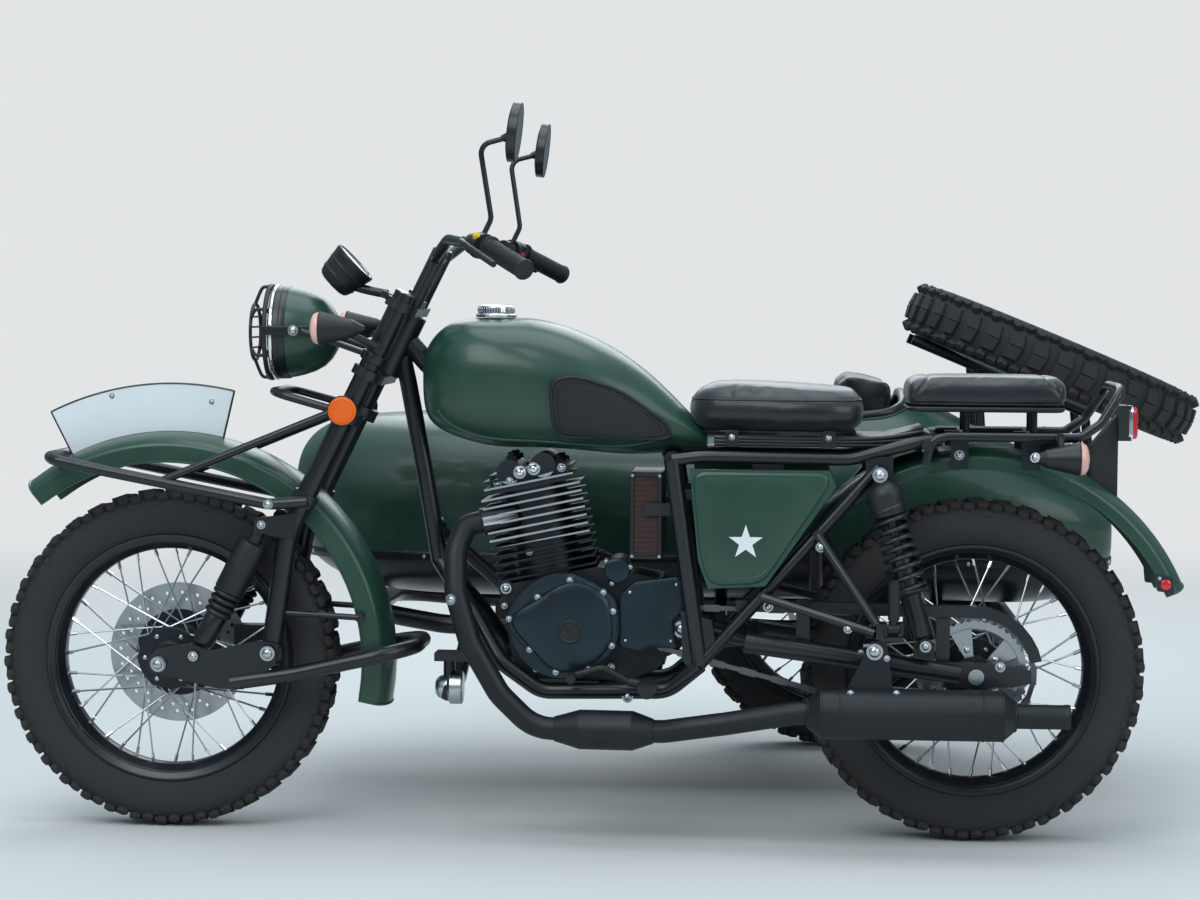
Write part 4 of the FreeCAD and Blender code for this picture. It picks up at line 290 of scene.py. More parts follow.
class Sheet:
    """A mesh under construction, in the row frame and in metres."""

    def __init__(self, name: str) -> None:
        """Start an empty mesh with a name."""
        self.name = name
        self.mesh = bmesh.new()
        self.finishes: list[Finish] = []

    def slot(self, finish: Finish) -> int:
        """Return the material index of a finish, adding it if it is new."""
        if finish not in self.finishes:
            self.finishes.append(finish)
        return self.finishes.index(finish)

    def grid(self, rows: list[list[Vector]], finish: Finish, wrap_rows: bool = False,
             wrap_columns: bool = False) -> None:
        """Skin a grid of points.

        Args:
            rows: Lines of points, all as long as each other.
            finish: Finish of the faces.
            wrap_rows: The last line joins the first.
            wrap_columns: Each line closes on itself.
        """
        index = self.slot(finish)
        made = [[self.mesh.verts.new(point) for point in row] for row in rows]
        row_count = len(made) if wrap_rows else len(made) - 1
        for i in range(row_count):
            here, after = made[i], made[(i + 1) % len(made)]
            column_count = len(here) if wrap_columns else len(here) - 1
            for j in range(column_count):
                k = (j + 1) % len(here)
                face = self.mesh.faces.new((here[j], here[k], after[k], after[j]))
                face.material_index = index

    def cap(self, points: list[Vector], finish: Finish) -> None:
        """Close a ring of points with one face."""
        face = self.mesh.faces.new([self.mesh.verts.new(point) for point in points])
        face.material_index = self.slot(finish)

    def lathe(self, profile: Outline, centre: Vector, axis: Vector, finish: Finish, steps: int = 32) -> None:
        """Turn a profile about an axis.

        Args:
            profile: Points as (radius, distance along the axis), in metres.
            centre: Point where the distance is zero.
            axis: Direction of the axis.
            finish: Finish of the faces.
            steps: Number of steps round the axis.
        """
        turn = axis.to_track_quat("Z", "X").to_matrix()
        rows = [[centre + turn @ Vector((radius * math.cos(angle), radius * math.sin(angle), along))
                 for radius, along in profile] for angle in turns(steps)]
        self.grid(rows, finish, wrap_rows=True)

    def turn(self, start: Vector, end: Vector, profile: Outline, finish: Finish, steps: int = 32) -> None:
        """Turn a profile about the line between two points.

        Args:
            start: First end of the line.
            end: Other end of the line.
            profile: Points as (millimetres from the start, radius in millimetres).
            finish: Finish of the faces.
            steps: Number of steps round the line.
        """
        points = [(radius * MM, along * MM) for along, radius in profile]
        self.lathe(points, start, (end - start).normalized(), finish, steps)

    def spin(self, profile: Outline, finish: Finish, steps: int, closed: bool = False) -> None:
        """Turn a profile about the wheel's own axis.

        Args:
            profile: Points as (radius, side), in metres.
            finish: Finish of the faces.
            steps: Number of steps round the axis.
            closed: The profile ends where it starts.
        """
        rows = [[polar(radius, angle, side) for radius, side in profile] for angle in turns(steps)]
        self.grid(rows, finish, wrap_rows=True, wrap_columns=closed)

    def tube(self, path: list[Vector], radius: float, finish: Finish, sides: int = 10,
             closed: bool = False) -> None:
        """Sweep a round section along a path.

        Args:
            path: Points of the centre line.
            radius: Radius of the section.
            finish: Finish of the faces.
            sides: Corners of the section.
            closed: The path ends where it starts.
        """
        count = len(path)
        normal = None
        rows = []
        for i, point in enumerate(path):
            before = path[(i - 1) % count] if closed or i else point
            after = path[(i + 1) % count] if closed or i < count - 1 else point
            along = (after - before).normalized()
            if normal is None:
                normal = along.orthogonal().normalized()
            normal = (normal - along * normal.dot(along)).normalized()
            across = along.cross(normal)
            rows.append([point + (normal * math.cos(angle) + across * math.sin(angle)) * radius
                         for angle in turns(sides)])
        self.grid(rows, finish, wrap_rows=closed, wrap_columns=True)
        if not closed:
            self.cap(list(reversed(rows[0])), finish)
            self.cap(rows[-1], finish)

    def block(self, corners: list[Vector], finish: Finish) -> None:
        """Closed six-sided block from its four lower and four upper corners."""
        index = self.slot(finish)
        verts = [self.mesh.verts.new(corner) for corner in corners]
        for ring in ((3, 2, 1, 0), (4, 5, 6, 7), (0, 1, 5, 4), (1, 2, 6, 5), (2, 3, 7, 6), (3, 0, 4, 7)):
            face = self.mesh.faces.new([verts[i] for i in ring])
            face.material_index = index

    def place(self, matrix: Matrix) -> None:
        """Move everything made so far."""
        bmesh.ops.transform(self.mesh, matrix=matrix, verts=self.mesh.verts)

    def finish(self, body: str, smooth_angle: float = 35.0, bevel: float = 0.0) -> bpy.types.Object:
        """Turn the mesh into a piece that rides on a body.

        Args:
            body: CAD body that carries the piece.
            smooth_angle: Edges flatter than this many degrees look smooth.
            bevel: Width of the rounded edges.

        Returns:
            The new object.
        """
        bmesh.ops.remove_doubles(self.mesh, verts=self.mesh.verts, dist=1e-6)
        bmesh.ops.recalc_face_normals(self.mesh, faces=self.mesh.faces)
        data = bpy.data.meshes.new(self.name)
        self.mesh.to_mesh(data)
        self.mesh.free()
        for finish in self.finishes:
            data.materials.append(finish.material())
        piece = bpy.data.objects.new(self.name, data)
        bpy.context.scene.collection.objects.link(piece)
        if bevel > 0:
            rounded = piece.modifiers.new("rounded_edges", "BEVEL")
            rounded.width = bevel
            rounded.segments = 2
            rounded.limit_method = "ANGLE"
        data.shade_smooth()
        data.set_sharp_from_angle(angle=math.radians(smooth_angle))
        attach(piece, body)
        LOG.info("built %s on %s, %d faces", self.name, body, len(data.polygons))
        return piece


def turns(count: int, first: float = 0.0) -> list[float]:
    """Even angles round a circle, from a first one given in steps."""
    return [math.tau * (step + first) / count for step in range(count)]


def polar(radius: float, angle: float, side: float) -> Vector:
    """Point about the wheel's axis Y from a radius, an angle in radians and a side."""
    return Vector((radius * math.cos(angle), side, radius * math.sin(angle)))


def spot(x: float, y: float, z: float) -> Vector:
    """Point of the row frame from millimetres."""
    return Vector((x, y, z)) * MM


def steer(along: float, ahead: float, side: float = 0.0) -> Vector:
    """Point measured up the steering axis and ahead of it, in millimetres."""
    return spot(1596 - along * math.sin(RAKE) + ahead * math.cos(RAKE), side,
                along * math.cos(RAKE) + ahead * math.sin(RAKE))


def smooth_line(points: list[Vector], steps: int = 8, closed: bool = False) -> list[Vector]:
    """Round off a line of points.

    Args:
        points: Points that the line passes through.
        steps: New points for each old one.
        closed: The line ends where it starts.

    Returns:
        The finer line.
    """
    count = len(points)
    made = []
    for i in range(count if closed else count - 1):
        if closed:
            p0, p1, p2, p3 = (points[(i + k) % count] for k in (-1, 0, 1, 2))
        else:
            p0, p1, p2, p3 = (points[min(max(i + k, 0), count - 1)] for k in (-1, 0, 1, 2))
        for step in range(steps):
            t = step / steps
            made.append(0.5 * ((2 * p1) + (p2 - p0) * t + (2 * p0 - 5 * p1 + 4 * p2 - p3) * t ** 2
                               + (3 * p1 - p0 - 3 * p2 + p3) * t ** 3))
    if not closed:
        made.append(points[-1].copy())
    return made


def mirrored(point: Vector, side: int) -> Vector:
    """Point on a side of the machine from its place on the left."""
    return Vector((point.x, point.y * side, point.z))


def shrunk(outline: Outline, middle: tuple[float, float], share: float) -> Outline:
    """Flat outline drawn in towards its middle."""
    return [(middle[0] + (a - middle[0]) * share, middle[1] + (b - middle[1]) * share) for a, b in outline]


def side_layers(outline: Outline, middle: tuple[float, float], side: int,
                layers: Outline) -> list[list[Vector]]:
    """Stack an outline that is seen from the side.

    Args:
        outline: Points as (x, z) in millimetres.
        middle: Point towards which it is drawn in.
        side: Side of the machine.
        layers: How far out each layer lies, and its share of the outline.

    Returns:
        The points of each layer.
    """
    return [[spot(x, side * out, z) for x, z in shrunk(outline, middle, share)] for out, share in layers]


def rounded_polygon(corners: Outline, radius: float, steps: int = 5) -> Outline:
    """Round the corners of a flat outline.

    Args:
        corners: Corners in order.
        radius: Distance from each corner at which its curve starts.
        steps: Number of steps round a corner.

    Returns:
        Points of the rounded outline.
    """
    made = []
    count = len(corners)
    for i, corner in enumerate(corners):
        here = Vector(corner)
        before, after = Vector(corners[i - 1]), Vector(corners[(i + 1) % count])
        start = here + (before - here).normalized() * min(radius, (before - here).length * 0.45)
        end = here + (after - here).normalized() * min(radius, (after - here).length * 0.45)
        for step in range(steps + 1):
            t = step / steps
            point = start * (1 - t) ** 2 + here * (2 * t * (1 - t)) + end * t ** 2
            made.append((point.x, point.y))
    return made


@dataclass
class Wheel:
    """Wire wheel with its knobbly tyre."""

    name: str
    body: str
    centre: Vector
    hub_left: float = 0.050
    hub_right: float = 0.060
    disc_radius: float = 0.0
    disc_side: float = 0.0
    sprocket_radius: float = 0.0
    tilt: float | None = None
    pitches: int = 38
    tyre_radius: float = 0.3345
    spoke_count: int = 36

    def placement(self) -> Matrix:
        """Return the matrix from the wheel's own axes to the row frame."""
        made = Matrix.Translation(self.centre)
        if self.tilt is not None:
            made = made @ Matrix.Rotation(math.radians(self.tilt), 4,
                                          "Y") @ Matrix.Rotation(math.pi / 2, 4, "X")
        return made

    def build(self) -> None:
        """Build every piece of the wheel."""
        self.build_tyre()
        self.build_rim()
        self.build_spokes()
        self.build_hub()
        if self.disc_radius:
            self.build_disc()
        if self.sprocket_radius:
            self.build_sprocket()

    def build_tyre(self) -> None:
        """Carcass with wide bars along the middle and pairs of lugs on the shoulders."""
        tyre = self.name.replace("wheel", "tyre")
        sheet = Sheet(tyre + "_knobbly")
        half = [(0.2375, 0.0335), (0.242, 0.038), (0.247, 0.0405), (0.252, 0.046), (0.264, 0.0515),
                (0.276, 0.0550), (0.288, 0.0560), (0.300, 0.0545), (0.309, 0.0500), (0.3165, 0.0415),
                (0.3215, 0.030), (0.3245, 0.016), (0.3252, 0.0)]
        inner = [(0.2385, -0.030), (0.2385, 0.030)]
        sheet.spin(half + [(r, -y) for r, y in reversed(half[:-1])] + inner, Finishes.TYRE, 152, closed=True)
        pitch = math.tau / self.pitches
        for index in range(self.pitches):
            angle = -math.pi / 2 + index * pitch
            for side in (LEFT, RIGHT):
                self._bar(sheet, angle, side, pitch)
                self._shoulder_lug(sheet, angle + 0.28 * pitch, side, pitch, 0.0)
                self._shoulder_lug(sheet, angle + 0.78 * pitch, side, pitch, 0.003)
                self._wall_rib(sheet, angle + 0.5 * pitch, side, pitch)
        sheet.place(self.placement())
        piece = sheet.finish(self.body, 30, bevel=0.0009)
        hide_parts(tyre)

    def _bar(self, sheet: Sheet, angle: float, side: int, pitch: float) -> None:
        """One half of a bar across the middle of the tread.

        Args:
            sheet: The tyre's mesh.
            angle: Middle of the bar.
            side: Left or right half.
            pitch: Angle from bar to bar.
        """
        lean = 0.10 * pitch
        inner, outer = 0.0008, 0.0285
        low, top = 0.3195, self.tyre_radius
        near, far = 0.30 * pitch, 0.27 * pitch
        lower, upper = [], []
        for y, shift, width in ((inner, 0.0, near), (outer, lean, far)):
            crown = top - 0.0035 * (y / outer) ** 2
            for end in (-1, 1) if not lower or y == inner else (1, -1):
                lower.append(polar(low, angle + shift + end * width * 1.12, side * y))
                upper.append(polar(crown, angle + shift + end * width, side * y))
        sheet.block(lower + upper, Finishes.TYRE)

    def _shoulder_lug(self, sheet: Sheet, angle: float, side: int, pitch: float, drop: float) -> None:
        """One six-sided lug on the shoulder.

        Args:
            sheet: The tyre's mesh.
            angle: Middle of the lug.
            side: Left or right shoulder.
            pitch: Angle from bar to bar.
            drop: How much further down the shoulder the lug sits.
        """
        middle = Vector((0.0, 0.0413 + drop, 0.3205 - drop * 1.2))
        outward = Vector((0.0, 0.66, 0.75)).normalized()
        across = Vector((0.0, outward.z, -outward.y))
        half = 0.215 * pitch * middle.z
        ring = [(half * 1.1 * math.cos(turn), 0.0088 * math.sin(turn)) for turn in turns(6, 0.5)]
        rows = []
        for height, grow in ((-0.006, 1.1), (0.0072, 0.96), (0.0086, 0.82)):
            row = []
            for along, over in ring:
                flat = middle + across * (over * grow) + outward * height
                row.append(polar(flat.z, angle + along * grow / flat.z, side * flat.y))
            rows.append(row)
        sheet.grid(rows, Finishes.TYRE, wrap_columns=True)
        sheet.cap(rows[-1], Finishes.TYRE)
        sheet.cap(list(reversed(rows[0])), Finishes.TYRE)

    def _wall_rib(self, sheet: Sheet, angle: float, side: int, pitch: float) -> None:
        """Short rib that runs from the shoulder on to the side wall."""
        lower, upper = [], []
        for radius, y, width in ((0.3110, 0.0475, 0.16), (0.2990, 0.0540, 0.10)):
            for end in (-1, 1) if not lower else (1, -1):
                turn = angle + end * width * pitch
                lower.append(polar(radius, turn, side * (y - 0.002)))
                upper.append(polar(radius + 0.0014, turn, side * (y + 0.0018)))
        sheet.block(lower + upper, Finishes.TYRE)

    def build_rim(self) -> None:
        """Rolled rim with its well, its shoulders and its two lips."""
        sheet = Sheet(self.name + "_rim")
        left = [(0.2200, 0.0), (0.2190, 0.012), (0.2215, 0.017), (0.2345, 0.024), (0.2355, 0.0325),
                (0.2440, 0.0375), (0.2455, 0.0405), (0.2440, 0.0432), (0.2400, 0.0430), (0.2345, 0.0385),
                (0.2300, 0.0365), (0.2290, 0.0315), (0.2255, 0.0290), (0.2240, 0.0240), (0.2165, 0.0185),
                (0.2145, 0.0120), (0.2140, 0.0)]
        sheet.spin(left + [(r, -y) for r, y in reversed(left[1:-1])], Finishes.BLACK, 144, closed=True)
        sheet.place(self.placement())
        piece = sheet.finish(self.body, 40)
        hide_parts(self.name)

    def spoke_ends(self, index: int) -> tuple[Vector, Vector]:
        """Hub end and rim end of one spoke."""
        turn = math.tau * index / self.spoke_count
        side = 0.038 if index % 2 == 0 else -0.038
        lean = math.radians(62) * (1 if index // 2 % 2 == 0 else -1)
        return polar(0.056, turn + lean, side), polar(0.2205, turn, side / 6)

    def build_spokes(self) -> None:
        """Crossed spokes, each with its bent head at the flange and its nipple at the rim."""
        sheet = Sheet(self.name + "_spokes")
        for index in range(self.spoke_count):
            start, end = self.spoke_ends(index)
            run = (end - start).normalized()
            sheet.tube([start, end], 0.0019, Finishes.ZINC, sides=6)
            sheet.tube([end - run * 0.021, end - run * 0.003], 0.0036, Finishes.CHROME, sides=6)
            out = Vector((0.0, math.copysign(1.0, start.y), 0.0))
            sheet.tube([start - out * 0.005, start + out * 0.0045], 0.0034, Finishes.ZINC, sides=6)
        sheet.place(self.placement())
        sheet.finish(self.body, 40)

    @staticmethod
    def _bolt_circle(sheet: Sheet, radius: float, face: float, size: float) -> None:
        """Six bolts in a ring on a face, given by its place along the axle."""
        out = Vector((0, math.copysign(1.0, face), 0))
        for angle in turns(6):
            Bolt(polar(radius, angle, face), out, size).add(sheet)

    def build_hub(self) -> None:
        """Waisted hub with ribbed flanges and bolts."""
        sheet = Sheet(self.name + "_hub")
        left, right = self.hub_left, self.hub_right
        flange = [(0.0345, 0.044), (0.060, 0.0425), (0.062, 0.040), (0.062, 0.036), (0.060, 0.0335),
                  (0.040, 0.031), (0.034, 0.022)]
        profile = [(0.0115, left), (0.030, left), (0.034, left - 0.003), *flange, (0.031, 0.0),
                   *((r, -y) for r, y in reversed(flange)), (0.034, -right + 0.003), (0.030, -right),
                   (0.0115, -right)]
        sheet.spin(profile, Finishes.CAST, 48)
        for side in (LEFT, RIGHT):
            self._bolt_circle(sheet, 0.048, side * 0.041, 0.0062)
        sheet.place(self.placement())
        sheet.finish(self.body, 35, bevel=0.0006)

    def build_disc(self) -> None:
        """Brake disc with rows of holes on a dark carrier."""
        sheet = Sheet(self.name + "_brake_disc")
        self._perforated_ring(sheet, self.disc_side, self.disc_radius)
        carrier, half = self.disc_radius * 0.66, 0.0018
        low, high = self.disc_side - half, self.disc_side + half
        for line in (((0.033, low), (carrier, low)), ((0.033, high), (carrier, high)),
                     ((carrier, low), (carrier, high))):
            sheet.spin(line, Finishes.CAST, 60)
        self._bolt_circle(sheet, carrier * 0.9, self.disc_side + math.copysign(half, self.disc_side), 0.006)
        sheet.place(self.placement())
        sheet.finish(self.body, 35)

    def _perforated_ring(self, sheet: Sheet, side: float, radius: float) -> None:
        """Ring with two rows of real holes through it.

        Args:
            sheet: The disc's mesh.
            side: Middle of the ring along the axle.
            radius: Outer radius.
        """
        inner, thick = radius * 0.62, 0.0024
        bands, sectors = 4, 72
        low, high = side - thick, side + thick
        edges = [inner + (radius - inner) * b / bands for b in range(bands + 1)]
        for sector in range(sectors):
            first, last = math.tau * sector / sectors, math.tau * (sector + 1) / sectors
            for band in range(bands):
                holed = (sector % 3, band) in ((0, 2), (1, 1))
                for y in (low, high):
                    self._ring_cell(sheet, edges[band], edges[band + 1], first, last, y, holed)
                if holed:
                    rings = [self._hole_ring(edges[band], edges[band + 1], first, last, y)
                             for y in (low, high)]
                    sheet.grid(rings, Finishes.CAST, wrap_columns=True)
        for edge in (edges[0], edges[-1]):
            sheet.spin([(edge, low), (edge, high)], Finishes.STEEL, sectors)

    @staticmethod
    def _hole_ring(low: float, high: float, first: float, last: float, y: float) -> list[Vector]:
        """Eight points round the hole in one cell of the ring."""
        middle, turn = (low + high) / 2, (first + last) / 2
        size = min((high - low), (last - first) * middle) * 0.36
        return [polar(middle + size * math.cos(angle), turn + size * math.sin(angle) / middle, y)
                for angle in turns(8, 0.5)]

    def _ring_cell(self, sheet: Sheet, low: float, high: float, first: float, last: float, y: float,
                   holed: bool) -> None:
        """One cell of the ring's face, with or without its hole."""
        corners = [polar(high, last, y), polar(low, last, y), polar(low, first, y), polar(high, first, y)]
        if not holed:
            sheet.cap(corners, Finishes.STEEL)
            return
        ring = self._hole_ring(low, high, first, last, y)
        for k in range(4):
            a, b, c = ring[2 * k], ring[2 * k + 1], ring[(2 * k + 2) % 8]
            sheet.cap([corners[k], b, a], Finishes.STEEL)
            sheet.cap([corners[k], corners[(k + 1) % 4], c, b], Finishes.STEEL)

    def build_sprocket(self) -> None:
        """Toothed chain wheel with lightening holes bolted to the hub."""
        sheet = Sheet(self.name + "_sprocket")
        teeth = 42
        low, high = 0.0853, 0.0907
        outer, web = self.sprocket_radius, self.sprocket_radius * 0.86
        outline = [(outer + step, math.tau * (tooth + share) / teeth) for tooth in range(teeth)
                   for share, step in ((0.0, 0.0), (0.25, 0.003), (0.5, 0.0), (0.75, -0.0025))]
        rows = [[polar(r if toothed else web, a, y) for r, a in outline]
                for toothed, y in ((False, low), (True, low), (True, high), (False, high))]
        sheet.grid(rows, Finishes.STEEL, wrap_rows=True, wrap_columns=True)
        across = (-0.24, -0.12, 0.0, 0.12, 0.24)
        spoke = (0.030, 0.060, web + 0.001)
        for middle in turns(5):
            for y in (low, high):
                sheet.grid([[polar(r, middle + turn, y) for r in spoke] for turn in across], Finishes.STEEL)
            for turn in (across[0], across[-1]):
                sheet.grid([[polar(r, middle + turn, y) for r in spoke] for y in (low, high)], Finishes.STEEL)
            Bolt(polar(0.048, middle, high), SIDEWAYS, 0.0075).add(sheet)
        sheet.lathe([(0.0125, 0.0500), (0.034, 0.0500), (0.034, 0.0907), (0.0125, 0.0907)],
                    Vector((0, 0, 0)), SIDEWAYS, Finishes.CAST, 40)
        sheet.place(self.placement())
        sheet.finish(self.body, 35)


@dataclass
class Bolt:
    """Domed screw head with its washer."""

    spot: Vector
    out: Vector
    radius: float = 0.007
    finish: Finish = Finishes.ZINC

    def add(self, sheet: Sheet) -> None:
        """Add the head to a mesh."""
        r = self.radius
        profile = [(0.0, r * 0.78), (r * 0.30, r * 0.76), (r * 0.62, r * 0.62), (r * 0.82, r * 0.38),
                   (r * 0.88, r * 0.16), (r * 1.22, r * 0.16), (r * 1.25, -r * 0.25)]
        sheet.lathe(profile, self.spot, self.out, self.finish, 14)


class Surface:
    """Finds where a straight line meets some of the carried CAD pieces or dressed pieces."""

    def __init__(self, *sources: str | bpy.types.Object) -> None:
        """Index the meshes of CAD nodes, given by name, or of objects."""
        self.trees = []
        for source in sources:
            data = frame["nodes"][source].data if isinstance(source, str) else source.data
            self.trees.append(BVHTree.FromPolygons([v.co for v in data.vertices],
                                                   [p.vertices for p in data.polygons]))

    def hit(self, start: Vector, way: Vector, reach: float = 4.0) -> tuple[Vector, Vector] | None:
        """Nearest meeting point along a line.

        Args:
            start: Where the line starts.
            way: Its direction.
            reach: Its length in metres.

        Returns:
            The meeting point and the surface's direction there, or None.
        """
        best = None
        for tree in self.trees:
            place, normal, _, distance = tree.ray_cast(start, way, reach)
            if place is not None and (best is None or distance < best[2]):
                if normal.dot(way) > 0:
                    normal = -normal
                best = (place, normal, distance)
        return None if best is None else best[:2]

    def line(self, starts: list[Vector], way: Vector, reach: float, out: float = 0.0) -> list[Vector]:
        """Points where lines side by side meet the surface.

        Args:
            starts: Where the lines start.
            way: Their direction.
            reach: Their length in metres.
            out: Distance by which the points stand off the surface.

        Returns:
            The points that were met, in order.
        """
        hits = (self.hit(start, way, reach) for start in starts)
        return [hit[0] + hit[1] * out for hit in hits if hit is not None]

    def beside(self, places: Outline, side: int, reach: float = 400.0) -> list[Vector]:
        """Points met from a side at places given as (x, z), all in millimetres."""
        return self.line([spot(x, side * reach, z) for x, z in places], -SIDEWAYS * side, reach * MM)

    def girdle(self, centre: Vector, count: int, reach: float, out: float = 0.0) -> list[Vector]:
        """Points round a level section, found from outside.

        Args:
            centre: Middle of the section.
            count: Number of points.
            reach: Distance from which each line starts.
            out: Distance by which the points stand off the surface.

        Returns:
            The points in order.
        """
        made = []
        for angle in turns(count):
            way = Vector((math.cos(angle), math.sin(angle), 0))
            made += [point + way * out for point in self.line([centre + way * reach], -way, 4.0)]
        return made


@dataclass
class Fasteners:
    """Domed bolt heads set on the pieces that they hold, on both sides."""

    name: str
    body: str
    nodes: tuple[str, ...]
    places: tuple[tuple[float, float, float], ...]
    from_side: float = 900.0

    def build(self) -> None:
        """Set each bolt on the surface that a line from the side meets first, there or close by."""
        surface = Surface(*self.nodes)
        sheet = Sheet(self.name)
        tries = [(0.0, 0.0)] + [(reach * math.cos(angle), reach * math.sin(angle))
                                for reach in (5, 10, 15) for angle in turns(8)]
        for x, z, radius in self.places:
            for side in (LEFT, RIGHT):
                way = -SIDEWAYS * side
                hits = (surface.hit(spot(x + a, side * self.from_side, z + b), way, self.from_side * MM)
                        for a, b in tries)
                found = next((hit for hit in hits if hit is not None), None)
                if found is None:
                    LOG.warning("%s: nothing at %s, %s", self.name, x, z)
                    continue
                out = found[1] if found[1].dot(-way) > 0.75 else -way
                Bolt(found[0], out, radius * MM).add(sheet)
        sheet.finish(self.body, 40)


def add_eye(sheet: Sheet, centre: Vector, radius: float, half: float) -> None:
    """Add a damper eye with its rubber bush, along the Y direction.

    Args:
        sheet: The mesh to add to.
        centre: Middle of the eye.
        radius: Outer radius in millimetres.
        half: Half its width in millimetres.
    """
    start, end = centre - SIDEWAYS * half * MM, centre + SIDEWAYS * half * MM
    sheet.turn(start, end, [(0, 4), (0, radius - 5), (1, radius - 4), (1, radius - 1), (2.5, radius),
                            (2 * half - 2.5, radius), (2 * half - 1, radius - 1),
                            (2 * half - 1, radius - 4), (2 * half, radius - 5), (2 * half, 4)],
               Finishes.BLACK, 28)


@dataclass
class CoilShock:
    """Damper with an open helical spring between two seats, alone or one on each side."""

    name: str
    node: str
    foot: Vector
    top: Vector
    coil_radius: float = 31.0
    wire_radius: float = 4.4
    turns: float = 9.0
    spring_from: float = 118.0
    spring_to: float = 296.0
    paired: bool = True

    def build(self) -> None:
        """Build the dampers and their springs."""
        plural = "s" if self.paired else ""
        body = Sheet(self.name + "_damper" + plural)
        coils = Sheet(self.name + "_spring" + plural)
        for side in (LEFT, RIGHT) if self.paired else (LEFT,):
            foot, top = mirrored(self.foot, side), mirrored(self.top, side)
            self._damper(body, foot, top)
            self._coil(coils, foot, top)
        piece = body.finish(ROOT, 40, bevel=0.0006)
        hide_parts(self.node)
        coils.finish(ROOT, 60)

    def _damper(self, sheet: Sheet, foot: Vector, top: Vector) -> None:
        """Eyes, body, rod, lower seat and top cap of one damper."""
        length = (top - foot).length / MM
        seat = self.coil_radius + self.wire_radius
        add_eye(sheet, foot, 15, 15)
        add_eye(sheet, top, 15, 15)
        low, high = self.spring_from, self.spring_to
        sheet.turn(foot, top, [(10, 0), (10, 11), (20, 12), (26, 19), (low - 10, 20), (low - 8, seat - 4),
                               (low - 5, seat), (low - 1, seat), (low, seat - 3), (low, 21), (low + 60, 20),
                               (low + 62, 8), (high, 8)], Finishes.BLACK, 36)
        sheet.turn(foot, top, [(high - 34, 9), (high - 34, seat - 7), (high - 30, seat - 3),
                               (high, seat - 1), (high + 8, seat), (high + 16, seat - 2),
                               (high + 24, seat - 9), (high + 28, 20), (length - 10, 13), (length - 8, 0)],
                   Finishes.PLASTIC, 36)

    def _coil(self, sheet: Sheet, foot: Vector, top: Vector) -> None:
        """Spring wire of one damper."""
        axis = (top - foot).normalized()
        across = axis.orthogonal().normalized()
        over = axis.cross(across)
        path = []
        steps = int(self.turns * 30)
        for step in range(steps + 1):
            share = step / steps
            turn = math.tau * self.turns * share
            ease = share + 0.018 * math.sin(math.tau * share)
            along = self.spring_from + (self.spring_to - self.spring_from) * ease
            path.append(foot + axis * along * MM
                        + (across * math.cos(turn) + over * math.sin(turn)) * self.coil_radius * MM)
        sheet.tube(path, self.wire_radius * MM, Finishes.BLACK, 10)


@dataclass
class ForkDampers:
    """Leading-link dampers: a smooth sleeve, a short bellows and a plain lower body."""

    foot: Vector = field(default_factory=lambda: spot(1509, 100, 351))
    top: Vector = field(default_factory=lambda: spot(1379, 100, 607))

    def build(self) -> None:
        """Build both dampers as one piece."""
        sheet = Sheet("fork_dampers")
        for side in (LEFT, RIGHT):
            foot, top = mirrored(self.foot, side), mirrored(self.top, side)
            length = (top - foot).length / MM
            add_eye(sheet, foot, 15, 15)
            add_eye(sheet, top, 15, 15)
            sheet.turn(foot, top, [(8, 0), (8, 12), (18, 14), (24, 20), (30, 21.5), (84, 21.5), (88, 20)],
                       Finishes.BLACK, 40)
            bellows = [(84, 20)]
            for fold in range(4):
                base = 86 + fold * 13.5
                bellows += [(base, 21), (base + 3, 26.5 + fold * 0.6), (base + 6.5, 28 + fold * 0.6),
                            (base + 10, 26.5 + fold * 0.6), (base + 13.5, 21)]
            sheet.turn(foot, top, bellows, Finishes.RUBBER, 40)
            sheet.turn(foot, top, [(138, 20), (138, 28), (141, 30), (length - 46, 30), (length - 42, 29),
                                   (length - 40, 25), (length - 38, 14), (length - 16, 12),
                                   (length - 8, 12), (length - 8, 0)], Finishes.PLASTIC, 40)
        piece = sheet.finish(FORK, 35, bevel=0.0005)
        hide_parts("front_shocks")


